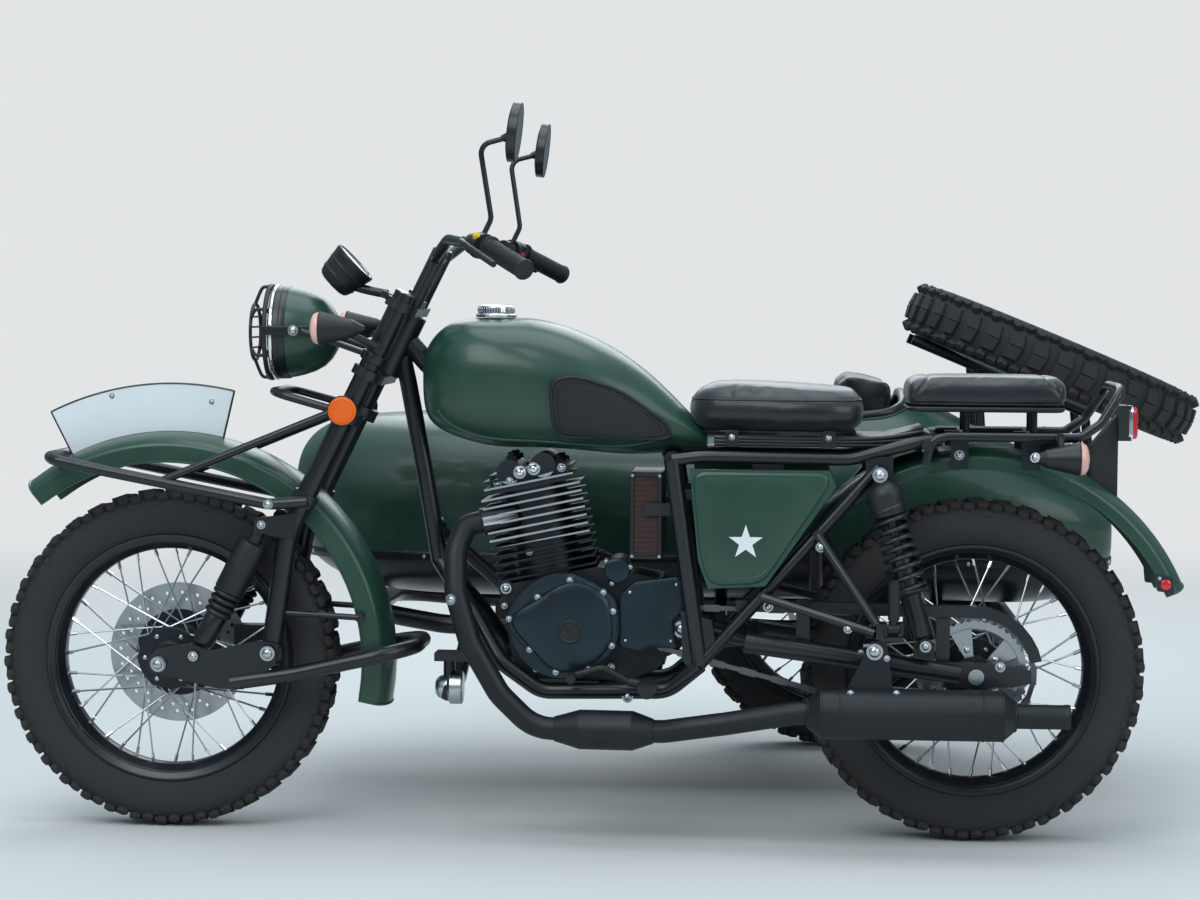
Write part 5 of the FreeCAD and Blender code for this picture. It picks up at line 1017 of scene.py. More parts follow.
@dataclass
class Cushion:
    """Sewn, filled seat piece: its CAD solid swollen a little as cloth, then seamed."""

    name: str
    node: str
    voxel: float = 0.006
    shrink: float = 0.004
    swell: float = 0.007
    pressure: float = 4.0
    frames: int = 16
    fill: float = 0.7
    stations: tuple[tuple[float, float, float, float], ...] = ()
    square: float = 2.7
    grooves: tuple[tuple[Vector, Vector, float], ...] = ()
    groove_depth: float = 0.003
    groove_width: float = 0.006

    def build(self) -> bpy.types.Object:
        """Build the cushion.

        Returns:
            The finished piece.
        """
        data = self._form()
        data.name = self.name
        data.materials.clear()
        piece = bpy.data.objects.new(self.name, data)
        bpy.context.scene.collection.objects.link(piece)
        self._inset(piece)
        self._apply(piece, "REMESH", mode="VOXEL", voxel_size=self.voxel)
        rest = [v.co.copy() for v in piece.data.vertices]
        self._inflate(piece)
        self._limit(piece, rest)
        self._apply(piece, "SMOOTH", factor=0.5, iterations=3)
        self._apply(piece, "SUBSURF", levels=1)
        self._sew(piece)
        piece.data.materials.append(Finishes.LEATHER.material())
        piece.data.shade_smooth()
        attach(piece, ROOT)
        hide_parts(self.node)
        LOG.info("built cushion %s, %d faces", self.name, len(piece.data.polygons))
        return piece

    def _form(self) -> bpy.types.Mesh:
        """Return what the cover starts from: the CAD solid, or sections (x, half width, low, high) in mm."""
        if not self.stations:
            return frame["nodes"][self.node].data.copy()
        sheet = Sheet(self.name)
        rows = []
        for x, half, low, high in smooth_line([Vector(station) for station in self.stations], 3):
            middle = low + (high - low) * 0.42
            row = []
            for angle in turns(48):
                across, rise = math.cos(angle), math.sin(angle)
                reach = high - middle if rise > 0 else middle - low
                row.append(spot(x, half * math.copysign(abs(across) ** (2 / self.square), across),
                                middle + reach * math.copysign(abs(rise) ** (2 / self.square), rise)))
            rows.append(row)
        sheet.grid(rows, Finishes.LEATHER, wrap_columns=True)
        sheet.cap(rows[0], Finishes.LEATHER)
        sheet.cap(rows[-1], Finishes.LEATHER)
        form = bpy.data.meshes.new(self.name)
        sheet.mesh.to_mesh(form)
        sheet.mesh.free()
        return form

    def _inset(self, piece: bpy.types.Object) -> None:
        """Draw the solid in, so that the filled cover keeps its size."""
        made = bmesh.new()
        made.from_mesh(piece.data)
        bmesh.ops.remove_doubles(made, verts=made.verts, dist=1e-5)
        bmesh.ops.recalc_face_normals(made, faces=made.faces)
        made.normal_update()
        for vert in made.verts:
            vert.co -= vert.normal * self.shrink
        made.to_mesh(piece.data)
        made.free()

    @staticmethod
    def _keep(piece: bpy.types.Object, modifier: bpy.types.Modifier) -> None:
        """Make a modifier's result the piece's mesh."""
        graph = bpy.context.evaluated_depsgraph_get()
        made = bpy.data.meshes.new_from_object(piece.evaluated_get(graph))
        old = piece.data
        piece.modifiers.remove(modifier)
        piece.data = made
        made.name = piece.name
        bpy.data.meshes.remove(old)

    def _apply(self, piece: bpy.types.Object, kind: str, **values: object) -> None:
        """Add a modifier and make its result the mesh.

        Args:
            piece: The object.
            kind: The modifier's type.
            **values: The modifier's settings.
        """
        modifier = piece.modifiers.new(kind.lower(), kind)
        for name, value in values.items():
            setattr(modifier, name, value)
        self._keep(piece, modifier)

    def _inflate(self, piece: bpy.types.Object) -> None:
        """Let the cover swell as cloth under the pressure of its filling."""
        modifier = piece.modifiers.new("cover", "CLOTH")
        settings = modifier.settings
        settings.use_pressure = True
        settings.uniform_pressure_force = self.pressure
        settings.mass = 0.2
        settings.tension_stiffness = 12.0
        settings.compression_stiffness = 8.0
        settings.bending_stiffness = 0.6
        settings.effector_weights.gravity = 0.0
        modifier.point_cache.frame_start = 1
        modifier.point_cache.frame_end = self.frames
        scene = bpy.context.scene
        for step in range(1, self.frames + 1):
            scene.frame_set(step)
        self._keep(piece, modifier)
        scene.frame_set(1)

    def _limit(self, piece: bpy.types.Object, rest: list[Vector]) -> None:
        """Keep each point near where it was before the cover swelled."""
        for vert, start in zip(piece.data.vertices, rest):
            move = vert.co - start
            if move.length > self.swell:
                vert.co = start + move * (self.swell / move.length)

    def _sew(self, piece: bpy.types.Object) -> None:
        """Draw the cover in along each seam, given by a plane's point, its normal and its reach."""
        if not self.grooves:
            return
        normals = [v.normal.copy() for v in piece.data.vertices]
        for vert, normal in zip(piece.data.vertices, normals):
            depth = 0.0
            for point, across, low in self.grooves:
                if vert.co.z < low:
                    continue
                off = abs((vert.co - point).dot(across))
                if off < self.groove_width:
                    depth = max(depth, math.cos(off / self.groove_width * math.pi / 2) ** 2)
            vert.co -= normal * depth * self.groove_depth


def stitches(sheet: Sheet, path: list[Vector], length: float = 0.0045, gap: float = 0.0035,
             radius: float = 0.0007) -> None:
    """Sew a row of stitches along a path.

    Args:
        sheet: The mesh to add to.
        path: Points that the row follows.
        length: Length of a stitch.
        gap: Space between stitches.
        radius: Radius of the thread.
    """
    travel = 0.0
    start = None
    for before, after in zip(path, path[1:]):
        run = after - before
        reach = run.length
        walked = 0.0
        while walked < reach:
            phase = travel % (length + gap)
            inside = phase < length
            step = (length if inside else length + gap) - phase
            step = max(1e-5, min(step, reach - walked))
            point = before + run * (walked / reach)
            if inside and start is None:
                start = point
            if not inside and start is not None:
                if (point - start).length > 1e-4:
                    sheet.tube([start, point], radius, Finishes.THREAD, 5)
                start = None
            walked += step
            travel += step


class Seats:
    """Rider's saddle, passenger's pad and the sidecar's cushions."""

    def build(self) -> None:
        """Build the seats with their piping and stitching."""
        self.build_saddle()
        self.build_pillion()
        self.build_sidecar_seat()

    def build_saddle(self) -> None:
        """Broad saddle with a seam round its skirt over a black pan."""
        cushion = Cushion("saddle_cushion", "rider_seat", fill=0.8, stations=(
            (560, 34, 814, 846), (552, 64, 805, 866), (536, 90, 799, 880), (512, 109, 797, 888),
            (448, 130, 796, 891), (394, 140, 795, 889), (334, 144, 795, 886), (273, 140, 796, 882),
            (232, 122, 799, 876), (215, 98, 806, 866), (208, 62, 818, 852))).build()
        surface = Surface(cushion)
        centre = spot(385, 0, 0)
        trim = Sheet("saddle_piping")
        line = surface.girdle(centre + UP * 0.858, 90, 0.4, 0.0002)
        trim.tube(line, 0.0020, Finishes.PIPING, 8, closed=True)
        for height in (862.5, 853.5):
            line = surface.girdle(centre + UP * height * MM, 120, 0.4, 0.0002)
            stitches(trim, line + line[:1])
        trim.finish(ROOT, 50)
        self._pan("saddle_pan", surface.girdle(centre + UP * 0.804, 72, 0.4), centre, 0.7885)
        self.build_tray_cover()

    @staticmethod
    def build_tray_cover() -> None:
        """Long ribs down both sides of the tray under the saddle, with the saddle's bolts."""
        sheet = Sheet("tray_cover_ribs")
        for side in (LEFT, RIGHT):
            for rib in range(3):
                low = 773 + rib * 6.3
                path = [spot(503, side * 107, low), spot(215, side * 107, low),
                        spot(105, side * 106, 778 + rib * 11.5)]
                sheet.tube(smooth_line(path, 6), (3.6 + 0.5 * rib) * MM, Finishes.BLACK, 12)
            for x in (470, 285):
                bracket = [spot(x + a, side * out, z) for out in (96, 112) for a, z in
                           ((-15, 768), (15, 768), (11, 800), (-11, 800))]
                sheet.block(bracket, Finishes.BLACK)
                Bolt(spot(x, side * 112, 786), SIDEWAYS * side, 5.0 * MM).add(sheet)
        sheet.finish(ROOT, 40, bevel=0.0006)

    @staticmethod
    def _pan(name: str, line: list[Vector], centre: Vector, bottom: float) -> None:
        """Moulded pan under a seat, from the line where its cover ends.

        Args:
            name: Name of the piece.
            line: Points round the seat.
            centre: Point above which the seat's middle stands.
            bottom: Height of the pan's underside.
        """
        sheet = Sheet(name)
        rows = []
        for lift, out in ((0.0, -0.030), (0.0, -0.006), (0.002, -0.001), (0.007, 0.0012), (0.010, -0.001)):
            row = []
            for point in line:
                away = Vector((point.x - centre.x, point.y - centre.y, 0)).normalized()
                row.append(Vector((point.x, point.y, bottom + lift)) + away * out)
            rows.append(row)
        sheet.grid(rows, Finishes.PLASTIC, wrap_columns=True)
        sheet.finish(ROOT, 40)

    def build_pillion(self) -> None:
        """Flat pad with a piped edge, slanted seams and a thin base."""
        seams = ((spot(108, 0, 888), Vector((0.80, 0.0, 0.60)), 0.858),
                 (spot(-142, 0, 888), Vector((-0.80, 0.0, 0.60)), 0.858))
        cushion = Cushion("passenger_cushion", "passenger_seat", voxel=0.005, swell=0.006, grooves=seams,
                          groove_depth=0.0025, groove_width=0.005, fill=0.8, square=4.2, stations=(
            (145, 84, 862, 886), (140, 103, 852, 898), (127, 115, 846, 904), (60, 121, 844, 907),
            (-92, 121, 844, 907), (-159, 115, 846, 904), (-172, 103, 852, 898), (-177, 84, 862, 886))).build()
        surface = Surface(cushion)
        centre = spot(-16, 0, 0)
        trim = Sheet("passenger_piping")
        line = surface.girdle(centre + UP * 0.854, 96, 0.4, 0.0004)
        trim.tube(line, 0.0026, Finishes.PIPING, 8, closed=True)
        line = surface.girdle(centre + UP * 0.860, 96, 0.4, 0.0003)
        stitches(trim, line + line[:1])
        trim.finish(ROOT, 50)
        self._pan("passenger_pan", surface.girdle(centre + UP * 0.862, 96, 0.4), centre, 0.8385)

    def build_sidecar_seat(self) -> None:
        """Base and back cushions with sewn channels."""
        sides = [-675 + step * 72 for step in (-2, -1, 0, 1, 2)]
        seams = tuple((spot(0, side, 0), SIDEWAYS, 0.0) for side in sides)
        cushion = Cushion("sidecar_cushions", "sidecar_seat", voxel=0.008, shrink=0.005, swell=0.011,
                          grooves=seams, groove_depth=0.006, groove_width=0.010).build()
        surface = Surface(cushion)
        trim = Sheet("sidecar_stitching")
        for side in sides:
            for start, way, count, stride in ((spot(250, side, 1200), -UP, 40, AHEAD * 0.010),
                                              (spot(700, side, 560), -AHEAD, 30, UP * 0.010)):
                starts = [start + stride * index for index in range(count)]
                line = [p for p in surface.line(starts, way, 1.2, 0.0004) if p.x > 0.19]
                if len(line) > 3:
                    stitches(trim, [p for p in line if (p - line[0]).length < 0.5])
        trim.finish(ROOT, 50)


class TankTrim:
    """Filler cap, knee-pad edging and the lower welded lip of the tank."""

    PAD = ((818, 893), (812, 798), (798, 783), (584, 779), (592, 810), (684, 876), (770, 903))

    def build(self) -> None:
        """Build the trim."""
        self.build_cap()
        self.build_pads()
        self.build_lip()

    def build_cap(self) -> None:
        """Chromed cap with a ribbed edge, a domed lid and its lock."""
        low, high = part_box("fuel_cap")
        centre = Vector(((low.x + high.x) / 2, 0, low.z))
        height = (high.z - low.z) / MM
        sheet = Sheet("filler_cap")
        sheet.turn(centre, centre + UP, [(0, 30), (0, 39.5), (2, 40), (5, 40), (7, 38), (8, 35.5),
                                         (height - 6, 35.5), (height - 4.5, 34.5), (height - 2.5, 31),
                                         (height - 1, 24), (height - 0.4, 12), (height, 0)],
                   Finishes.CHROME, 64)
        for angle in turns(40):
            out = Vector((math.cos(angle), math.sin(angle), 0))
            foot = centre + out * 0.0355
            sheet.tube([foot + UP * 0.0095, foot + UP * (height * MM - 0.0065)], 0.0013, Finishes.CHROME, 6)
        lock = centre + UP * (height * MM - 0.0008)
        sheet.turn(lock, lock + UP, [(0, 12.5), (0.8, 12), (0.8, 9), (0.2, 8.6), (0.2, 0)], Finishes.STEEL,
                   32)
        piece = sheet.finish(ROOT, 35, bevel=0.0003)
        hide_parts("fuel_cap")

    def build_pads(self) -> None:
        """Raised bead round each knee pad and a smaller one inside it."""
        surface = Surface("knee_pads", "fuel_tank")
        sheet = Sheet("knee_pad_beads")
        middle = [sum(values) / len(self.PAD) for values in zip(*self.PAD)]
        for share, radius in ((0.985, 0.0036), (0.86, 0.0017)):
            outline = rounded_polygon(shrunk(self.PAD, middle, share), 30, 6)
            for side in (LEFT, RIGHT):
                sheet.tube(surface.beside(outline, side, 300), radius, Finishes.RUBBER, 8, closed=True)
        sheet.finish(ROOT, 60)

    @staticmethod
    def build_lip() -> None:
        """Folded seam along both lower edges of the tank."""
        surface = Surface("fuel_tank")
        sheet = Sheet("tank_lip")
        for side in (LEFT, RIGHT):
            starts = [spot(x, side * 92, 560) for x in range(1040, 548, -12)]
            line = [p - UP * 0.0012 for p in surface.line(starts, UP, 0.5) if p.z < 0.86]
            sheet.tube(smooth_line(line, 2), 3.0 * MM, Finishes.PAINT, 10)
        sheet.finish(ROOT, 60)


class PanelTrim:
    """Crowned skins on the side panels, each with its plain star."""

    OUTLINE = ((545, 721), (288, 721), (281, 700), (408, 508), (508, 502), (527, 553))

    def build(self) -> None:
        """Build both skins and stars."""
        skin = Sheet("side_panel_skins")
        star = Sheet("side_panel_stars")
        outline = rounded_polygon(self.OUTLINE, 26, 6)
        layers = ((139.8, 1.0), (142.0, 0.992), (143.6, 0.975), (144.6, 0.94), (144.9, 0.90), (144.2, 0.885),
                  (144.6, 0.87), (146.2, 0.6), (146.9, 0.3))
        for side in (LEFT, RIGHT):
            rows = side_layers(outline, (430, 620), side, layers)
            skin.grid(rows, Finishes.PAINT, wrap_columns=True)
            skin.cap(rows[-1], Finishes.PAINT)
            self._star(star, side, Vector((441, 587)), 34.0, layers[-1][0])
        skin.finish(ROOT, 30)
        star.finish(ROOT, 30)

    @staticmethod
    def _star(sheet: Sheet, side: int, centre: Vector, radius: float, out: float) -> None:
        """Flat five-pointed star."""
        ring = []
        for point in range(10):
            reach = radius if point % 2 == 0 else radius * 0.39
            angle = math.pi / 2 + math.tau * point / 10
            ring.append((centre.x + reach * math.cos(angle), centre.y + reach * math.sin(angle)))
        low = [spot(x, side * (out - 2.5), z) for x, z in ring]
        high = [spot(x, side * (out + 0.5), z) for x, z in ring]
        sheet.grid([low, high], Finishes.WHITE, wrap_columns=True)
        middle = spot(centre.x, side * (out + 0.5), centre.y)
        for point in range(10):
            sheet.cap([middle, high[point], high[(point + 1) % 10]], Finishes.WHITE)


@dataclass
class FenderSkin:
    """Smooth painted skin with rolled edges over an arched fender."""

    name: str
    body: str
    axle: tuple[float, float, float]
    radius: float
    half: float
    skirt: float
    start: float
    end: float
    drop: float = 26.0
    lift: float = 0.7

    def section(self, angle: float) -> list[Vector]:
        """Return the skin's points across the fender at an angle from straight ahead, in degrees."""
        arch = [math.radians(90 - 180 * k / 28) for k in range(29)]
        wide, low = self.half + self.lift, self.radius - self.skirt
        crown = [(self.radius - self.drop + (self.drop + self.lift) * math.cos(t), wide * math.sin(t))
                 for t in arch]
        turn = math.radians(angle)
        x, y, z = self.axle
        return [spot(x + r * math.cos(turn), y + across, z + r * math.sin(turn))
                for r, across in [(low, wide), *crown, (low, -wide)]]

    def build(self) -> None:
        """Build the skin and the beads round its edges."""
        sheet = Sheet(self.name)
        count = round((self.end - self.start) / 2)
        rows = [self.section(self.start + (self.end - self.start) * k / count) for k in range(count + 1)]
        sheet.grid(rows, Finishes.PAINT)
        border = [row[0] for row in rows] + rows[-1][1:] + [row[-1] for row in reversed(rows[:-1])]
        border += list(reversed(rows[0]))[1:-1]
        sheet.tube(border, 2.4 * MM, Finishes.PAINT, 8, closed=True)
        sheet.finish(self.body, 40)


@dataclass
class Headlamp:
    """Round lamp with a painted shell, a bright bowl, fluted glass and a wire guard."""

    centre: Vector = field(default_factory=lambda: spot(1372.2, 0, 979.0))
    radius: float = 94.0
    depth: float = 128.0
    guard_reach: float = 44.0
    arms: int = 6

    def build(self) -> None:
        """Build the lamp in place of its CAD node."""
        body = Sheet("headlamp_shell")
        back = -self.depth
        bands = (
            (Finishes.PAINT, [(back, 0), (back + 1, 20), (back + 6, 36), (back + 16, 52), (back + 30, 66),
                              (-80, 76), (-60, 83), (-44, 87), (-31, 89)]),
            (Finishes.BLACK, [(-31.5, 88), (-31, 90.2), (-29.5, 91), (-20, 91.6), (-19, 90.8), (-18, 91.6),
                              (-8, 91.8), (-7, 90)]),
            (Finishes.CHROME, [(-7.5, 90), (-7, 92.8), (-5.5, 94), (-2, 94), (0.5, 92.5), (2, 90), (1.6, 86),
                               (-1, 84)]),
            (Finishes.CHROME, [(-0.5, 85), (-6, 82), (-22, 74), (-42, 58), (-56, 38), (-62, 14)]))
        for finish, profile in bands:
            body.turn(self.centre, self.centre + AHEAD, profile, finish, 72)
        bulb = [(-62, 14), (-58, 14), (-58, 9), (-36, 9), (-31, 6), (-29, 0)]
        body.turn(self.centre, self.centre + AHEAD, bulb, Finishes.WHITE, 24)
        self._ears(body)
        shell = body.finish(FORK, 40, bevel=0.0004)
        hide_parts("headlamp")
        self._glass()
        self._guard()

    def _ears(self, sheet: Sheet) -> None:
        """Two rods from the shell to the sleeves round the fork tubes."""
        for side in (LEFT, RIGHT):
            root = self.centre + spot(-66, side * 93, 4)
            tip = steer(1027, 43, side * 100)
            sheet.tube([root, tip], 6 * MM, Finishes.BLACK, 16)
            strap = [self.centre + spot(along, side * out, 4) for along, out in
                     ((14, 93.5), (-24, 93.5), (-50, 93.5), (-78, 93.5))]
            rows = [[p + UP * lift * MM + SIDEWAYS * side * out * MM for p in strap]
                    for lift, out in ((-9, -2), (-9, 1.6), (-8, 2.4), (8, 2.4), (9, 1.6), (9, -2))]
            sheet.grid(rows, Finishes.BLACK, wrap_rows=True)
            for ring in (0, -1):
                sheet.cap([row[ring] for row in rows], Finishes.BLACK)
            Bolt(self.centre + spot(-50, side * 95.9, 4), SIDEWAYS * side, 8.5 * MM).add(sheet)
            low, high = steer(1018, 20, side * 100), steer(1036, 20, side * 100)
            sheet.turn(low, high, [(0, 20.3), (0, 24.5), (1, 25.3), (17, 25.3), (18, 24.5), (18, 20.3)],
                       Finishes.BLACK, 36)

    def _glass(self) -> None:
        """Domed glass with upright flutes."""
        sheet = Sheet("headlamp_glass")
        rows = []
        for ring in range(21):
            share = ring / 20
            radius = 85.0 * (1 - share)
            dome = 13.0 * (1 - (1 - share) ** 2)
            row = []
            for angle in turns(96):
                side, rise = radius * math.cos(angle), radius * math.sin(angle)
                flute = 0.5 * math.cos(math.tau * side / 14) * min(1.0, share * 8)
                row.append(self.centre + spot(1.2 + dome + flute, side, rise))
            rows.append(row)
        sheet.grid(rows[:-1], Finishes.GLASS, wrap_columns=True)
        sheet.cap(rows[-2], Finishes.GLASS)
        sheet.finish(FORK, 60)

    def _guard(self) -> None:
        """Wire guard of two rings joined by bent arms."""
        sheet = Sheet("headlamp_guard")
        front = self.centre + AHEAD
        reach = self.guard_reach
        rim = self.radius
        sheet.turn(self.centre, front, [(4, rim - 8), (4, rim), (5, rim + 1), (11, rim + 1), (12, rim),
                                        (12, rim - 7), (11, rim - 8), (5, rim - 8), (4, rim - 7)],
                   Finishes.PLASTIC, 72)
        sheet.turn(self.centre, front, [(reach - 6, 53), (reach - 6, 57), (reach - 5, 58), (reach - 1, 58),
                                        (reach, 57), (reach, 53), (reach - 1, 52), (reach - 5, 52),
                                        (reach - 6, 53)], Finishes.PLASTIC, 60)
        for angle in turns(self.arms, 0.5):
            out = Vector((0, math.cos(angle), math.sin(angle)))
            corner = self.centre + out * (rim - 5) * MM
            path = [corner, corner + AHEAD * reach * 0.45 * MM,
                    corner + AHEAD * reach * 0.66 * MM - out * 5 * MM,
                    self.centre + out * 56 * MM + AHEAD * (reach - 3) * MM]
            sheet.tube(smooth_line(path, 5), 3.4 * MM, Finishes.PLASTIC, 10)
        for height in (-30, -10, 10, 30):
            half = math.sqrt(54 ** 2 - height ** 2)
            ends = [self.centre + spot(reach - 3, side * half, height) for side in (LEFT, RIGHT)]
            sheet.tube(ends, 2.0 * MM, Finishes.PLASTIC, 8)
        sheet.finish(FORK, 45)


@dataclass
class Instrument:
    """Round dial on its arm, with plain marks and one needle."""

    base: Vector = field(default_factory=lambda: steer(1112, 170))
    lean: float = math.radians(43)
    marks: int = 41

    def build(self) -> None:
        """Build the dial in place of its CAD node."""
        axis = Vector((-math.cos(self.lean), 0, math.sin(self.lean)))
        end = self.base + axis
        sheet = Sheet("dial_case")
        sheet.turn(self.base, end, [(0, 0), (0, 27), (2, 32), (7, 36), (16, 39), (17, 40.2), (21, 40.8),
                                    (22, 40), (38, 43), (39, 44.2), (42, 44.6), (43, 43.8), (56, 46),
                                    (58, 47), (64, 47), (66, 45.5), (66, 43), (64, 42.2), (61, 42)],
                   Finishes.PLASTIC, 64)
        sheet.turn(self.base, end, [(61, 42), (60.5, 30), (60.5, 0)], Finishes.DIAL, 64)
        case_arm = steer(1144, 62)
        root = self.base + axis * 12 * MM
        sheet.tube(smooth_line([root, (root + case_arm) / 2 + spot(0, 0, -3), case_arm], 6), 9 * MM,
                   Finishes.BLACK, 18)
        foot = steer(1141, 57.4)
        along, up = steer(0, 1) - steer(0, 0), steer(1, 0) - steer(0, 0)
        ring = ((-15, -20), (15, -20), (15, 20), (-15, 20))
        sheet.block([foot + along * a + SIDEWAYS * b * MM + up * c for c in (-7, 7) for a, b in ring],
                    Finishes.BLACK)
        case = sheet.finish(FORK, 35, bevel=0.0005)
        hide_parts("instrument")
        self._face(axis)

    def _face(self, axis: Vector) -> None:
        """Marks, needle, rim and glass of the dial."""
        sheet = Sheet("dial_face")
        middle = self.base + axis * 60.6 * MM
        for index in range(self.marks):
            angle = math.radians(225 - 270 * index / (self.marks - 1))
            inner, half = (30.0, 0.9) if index % 5 == 0 else (34.0, 0.45)
            self._bar(sheet, middle, axis, angle, (inner, 38.5), half, Finishes.WHITE)
        hub = middle + axis * 1.2 * MM
        self._bar(sheet, hub, axis, math.radians(210), (-7.0, 31.0), 0.9, Finishes.ORANGE)
        sheet.turn(middle, middle + axis, [(0, 4.6), (2.4, 4.6), (3, 3.6), (3, 0)], Finishes.PLASTIC, 24)
        sheet.turn(middle, middle + axis, [(0.4, 41.9), (3.4, 42.1), (4.2, 41.4), (3.4, 40.6), (0.4, 40.4)],
                   Finishes.CHROME, 64)
        sheet.finish(FORK, 35)
        glass = Sheet("dial_glass")
        glass.turn(middle, middle + axis, [(3.6, 41.2), (4.4, 36), (5.0, 24), (5.3, 10), (5.4, 0)],
                   Finishes.GLASS, 48)
        glass.finish(FORK, 60)

    @staticmethod
    def _bar(sheet: Sheet, middle: Vector, axis: Vector, angle: float, span: tuple[float, float],
             half: float, finish: Finish) -> None:
        """Thin raised bar on the face.

        Args:
            sheet: The mesh to add to.
            middle: Centre of the face.
            axis: Direction out of the face.
            angle: Direction of the bar, in radians.
            span: Where the bar starts and ends, in millimetres from the centre.
            half: Half its width in millimetres.
            finish: Finish of the bar.
        """
        way = SIDEWAYS * math.cos(angle) + axis.cross(SIDEWAYS).normalized() * math.sin(angle)
        over = axis.cross(way)
        start, end = span
        ring = ((start, -half), (end, -half), (end, half), (start, half))
        sheet.block([middle + (way * along + over * side + axis * lift) * MM
                     for lift in (-0.3, 0.35) for along, side in ring], finish)


class Lamps:
    """Lenses and rings of the flashing lamps and of the tail lamp, and the reflectors."""

    def build(self) -> None:
        """Build all lenses."""
        self.build_flashers("front_indicator_lenses", FORK, Vector((1267.2, 170, 988.9)), 1)
        self.build_flashers("rear_indicator_lenses", ROOT, Vector((-195, 170, 755)), -1)
        self.build_tail_lens()
        self.build_fork_reflectors()
        self.build_tip_reflector()

    @staticmethod
    def build_flashers(name: str, body: str, tip: Vector, way: int) -> None:
        """Dark hood and pale lens of both flashing lamps.

        Args:
            name: Name of the piece.
            body: CAD body that carries it.
            tip: Middle of the left lamp's end, in millimetres.
            way: 1 when the lens looks ahead, -1 when it looks back.
        """
        sheet = Sheet(name)
        for side in (LEFT, RIGHT):
            start = spot(tip.x, side * tip.y, tip.z)
            end = start + AHEAD * way
            sheet.turn(start, end, [(-13.5, 32.1), (-12, 32.7), (-10, 32.4), (-8.5, 31.5), (-8.5, 30)],
                       Finishes.PLASTIC, 48)
            sheet.turn(start, end, [(-8.8, 30.8), (-6, 30.6), (-1, 29), (2, 27), (4.4, 23.5), (6.4, 18),
                                    (8.2, 9), (8.8, 0)], Finishes.AMBER, 48)
            for ring in (8, 13, 18):
                crest = 8.9 - (ring / 25) ** 2 * 8.4
                rib = [(crest - 0.6, ring - 0.9), (crest + 0.5, ring), (crest - 0.6, ring + 0.9)]
                sheet.turn(start, end, rib, Finishes.AMBER, 40)
        sheet.finish(body, 50)

    @staticmethod
    def build_tail_lens() -> None:
        """Ribbed red lens on the tail lamp's housing."""
        sheet = Sheet("tail_lamp_lens")
        outline = rounded_polygon([(-42, -31), (42, -31), (42, 31), (-42, 31)], 12, 6)
        rows = [[spot(-296 - out, y * share, 818 + z * share) for y, z in outline]
                for out, share in ((-3, 1.0), (8, 1.0), (11, 0.97), (13, 0.90), (13.6, 0.6), (13.8, 0.3))]
        sheet.grid(rows, Finishes.RED, wrap_columns=True)
        sheet.cap(rows[-1], Finishes.RED)
        for step in range(-3, 4):
            z = 818 + step * 7.5
            half = 36 if abs(step) < 3 else 31
            sheet.tube([spot(-309.4, -half, z), spot(-309.4, half, z)], 0.9 * MM, Finishes.RED, 8)
        rim = rounded_polygon([(-45.5, -34.5), (45.5, -34.5), (45.5, 34.5), (-45.5, 34.5)], 13, 6)
        rows = [[spot(x, y * s, 818 + z * s) for y, z in rim]
                for x, s in ((-292, 1.0), (-298, 1.0), (-299.5, 0.985), (-299.5, 0.94), (-296, 0.93))]
        sheet.grid(rows, Finishes.CHROME, wrap_columns=True)
        sheet.finish(ROOT, 40)

    @staticmethod
    def build_fork_reflectors() -> None:
        """Round orange reflector in a cup on each fork tube."""
        surface = Surface("fork_frame", "fork_guard")
        sheet = Sheet("fork_reflectors")
        for side in (LEFT, RIGHT):
            way = SIDEWAYS * side
            tube = surface.beside([(1219, 830)], side)[0]
            base = Vector((1.219, tube.y - side * 0.004, 0.830))
            sheet.turn(base, base + way, [(0, 0), (0, 18), (2, 27), (4, 29.5), (10, 29.5), (11, 28.8),
                                          (11, 27.4)], Finishes.BLACK, 48)
            sheet.turn(base, base + way, [(10, 27.6), (12.4, 27.2), (14.2, 25), (15.2, 20), (15.6, 10),
                                          (15.8, 0)], Finishes.ORANGE, 48)
            for ring in (9, 16, 22):
                sheet.turn(base, base + way, [(14.6, ring - 0.8), (16.0, ring), (14.6, ring + 0.8)],
                           Finishes.ORANGE, 40)
        sheet.finish(FORK, 40)

    @staticmethod
    def build_tip_reflector() -> None:
        """Small plate with a red reflector on each side of the rear fender's tip."""
        sheet = Sheet("rear_fender_reflectors")
        outline = rounded_polygon([(-341, 533), (-374, 527), (-376, 497), (-344, 499)], 5, 3)
        for side in (LEFT, RIGHT):
            rows = side_layers(outline, (0, 0), side, ((86.5, 1.0), (91.0, 1.0)))
            sheet.grid(rows, Finishes.BLACK, wrap_columns=True)
            sheet.cap(rows[-1], Finishes.BLACK)
            sheet.cap(list(reversed(rows[0])), Finishes.BLACK)
            base = spot(-361, side * 91, 512)
            sheet.turn(base, base + SIDEWAYS * side, [(-0.5, 10), (2.6, 10), (3.6, 8.5), (4, 0)],
                       Finishes.RED, 32)
            Bolt(spot(-349, side * 91, 524), SIDEWAYS * side, 3.2 * MM).add(sheet)
        sheet.finish(ROOT, 40)


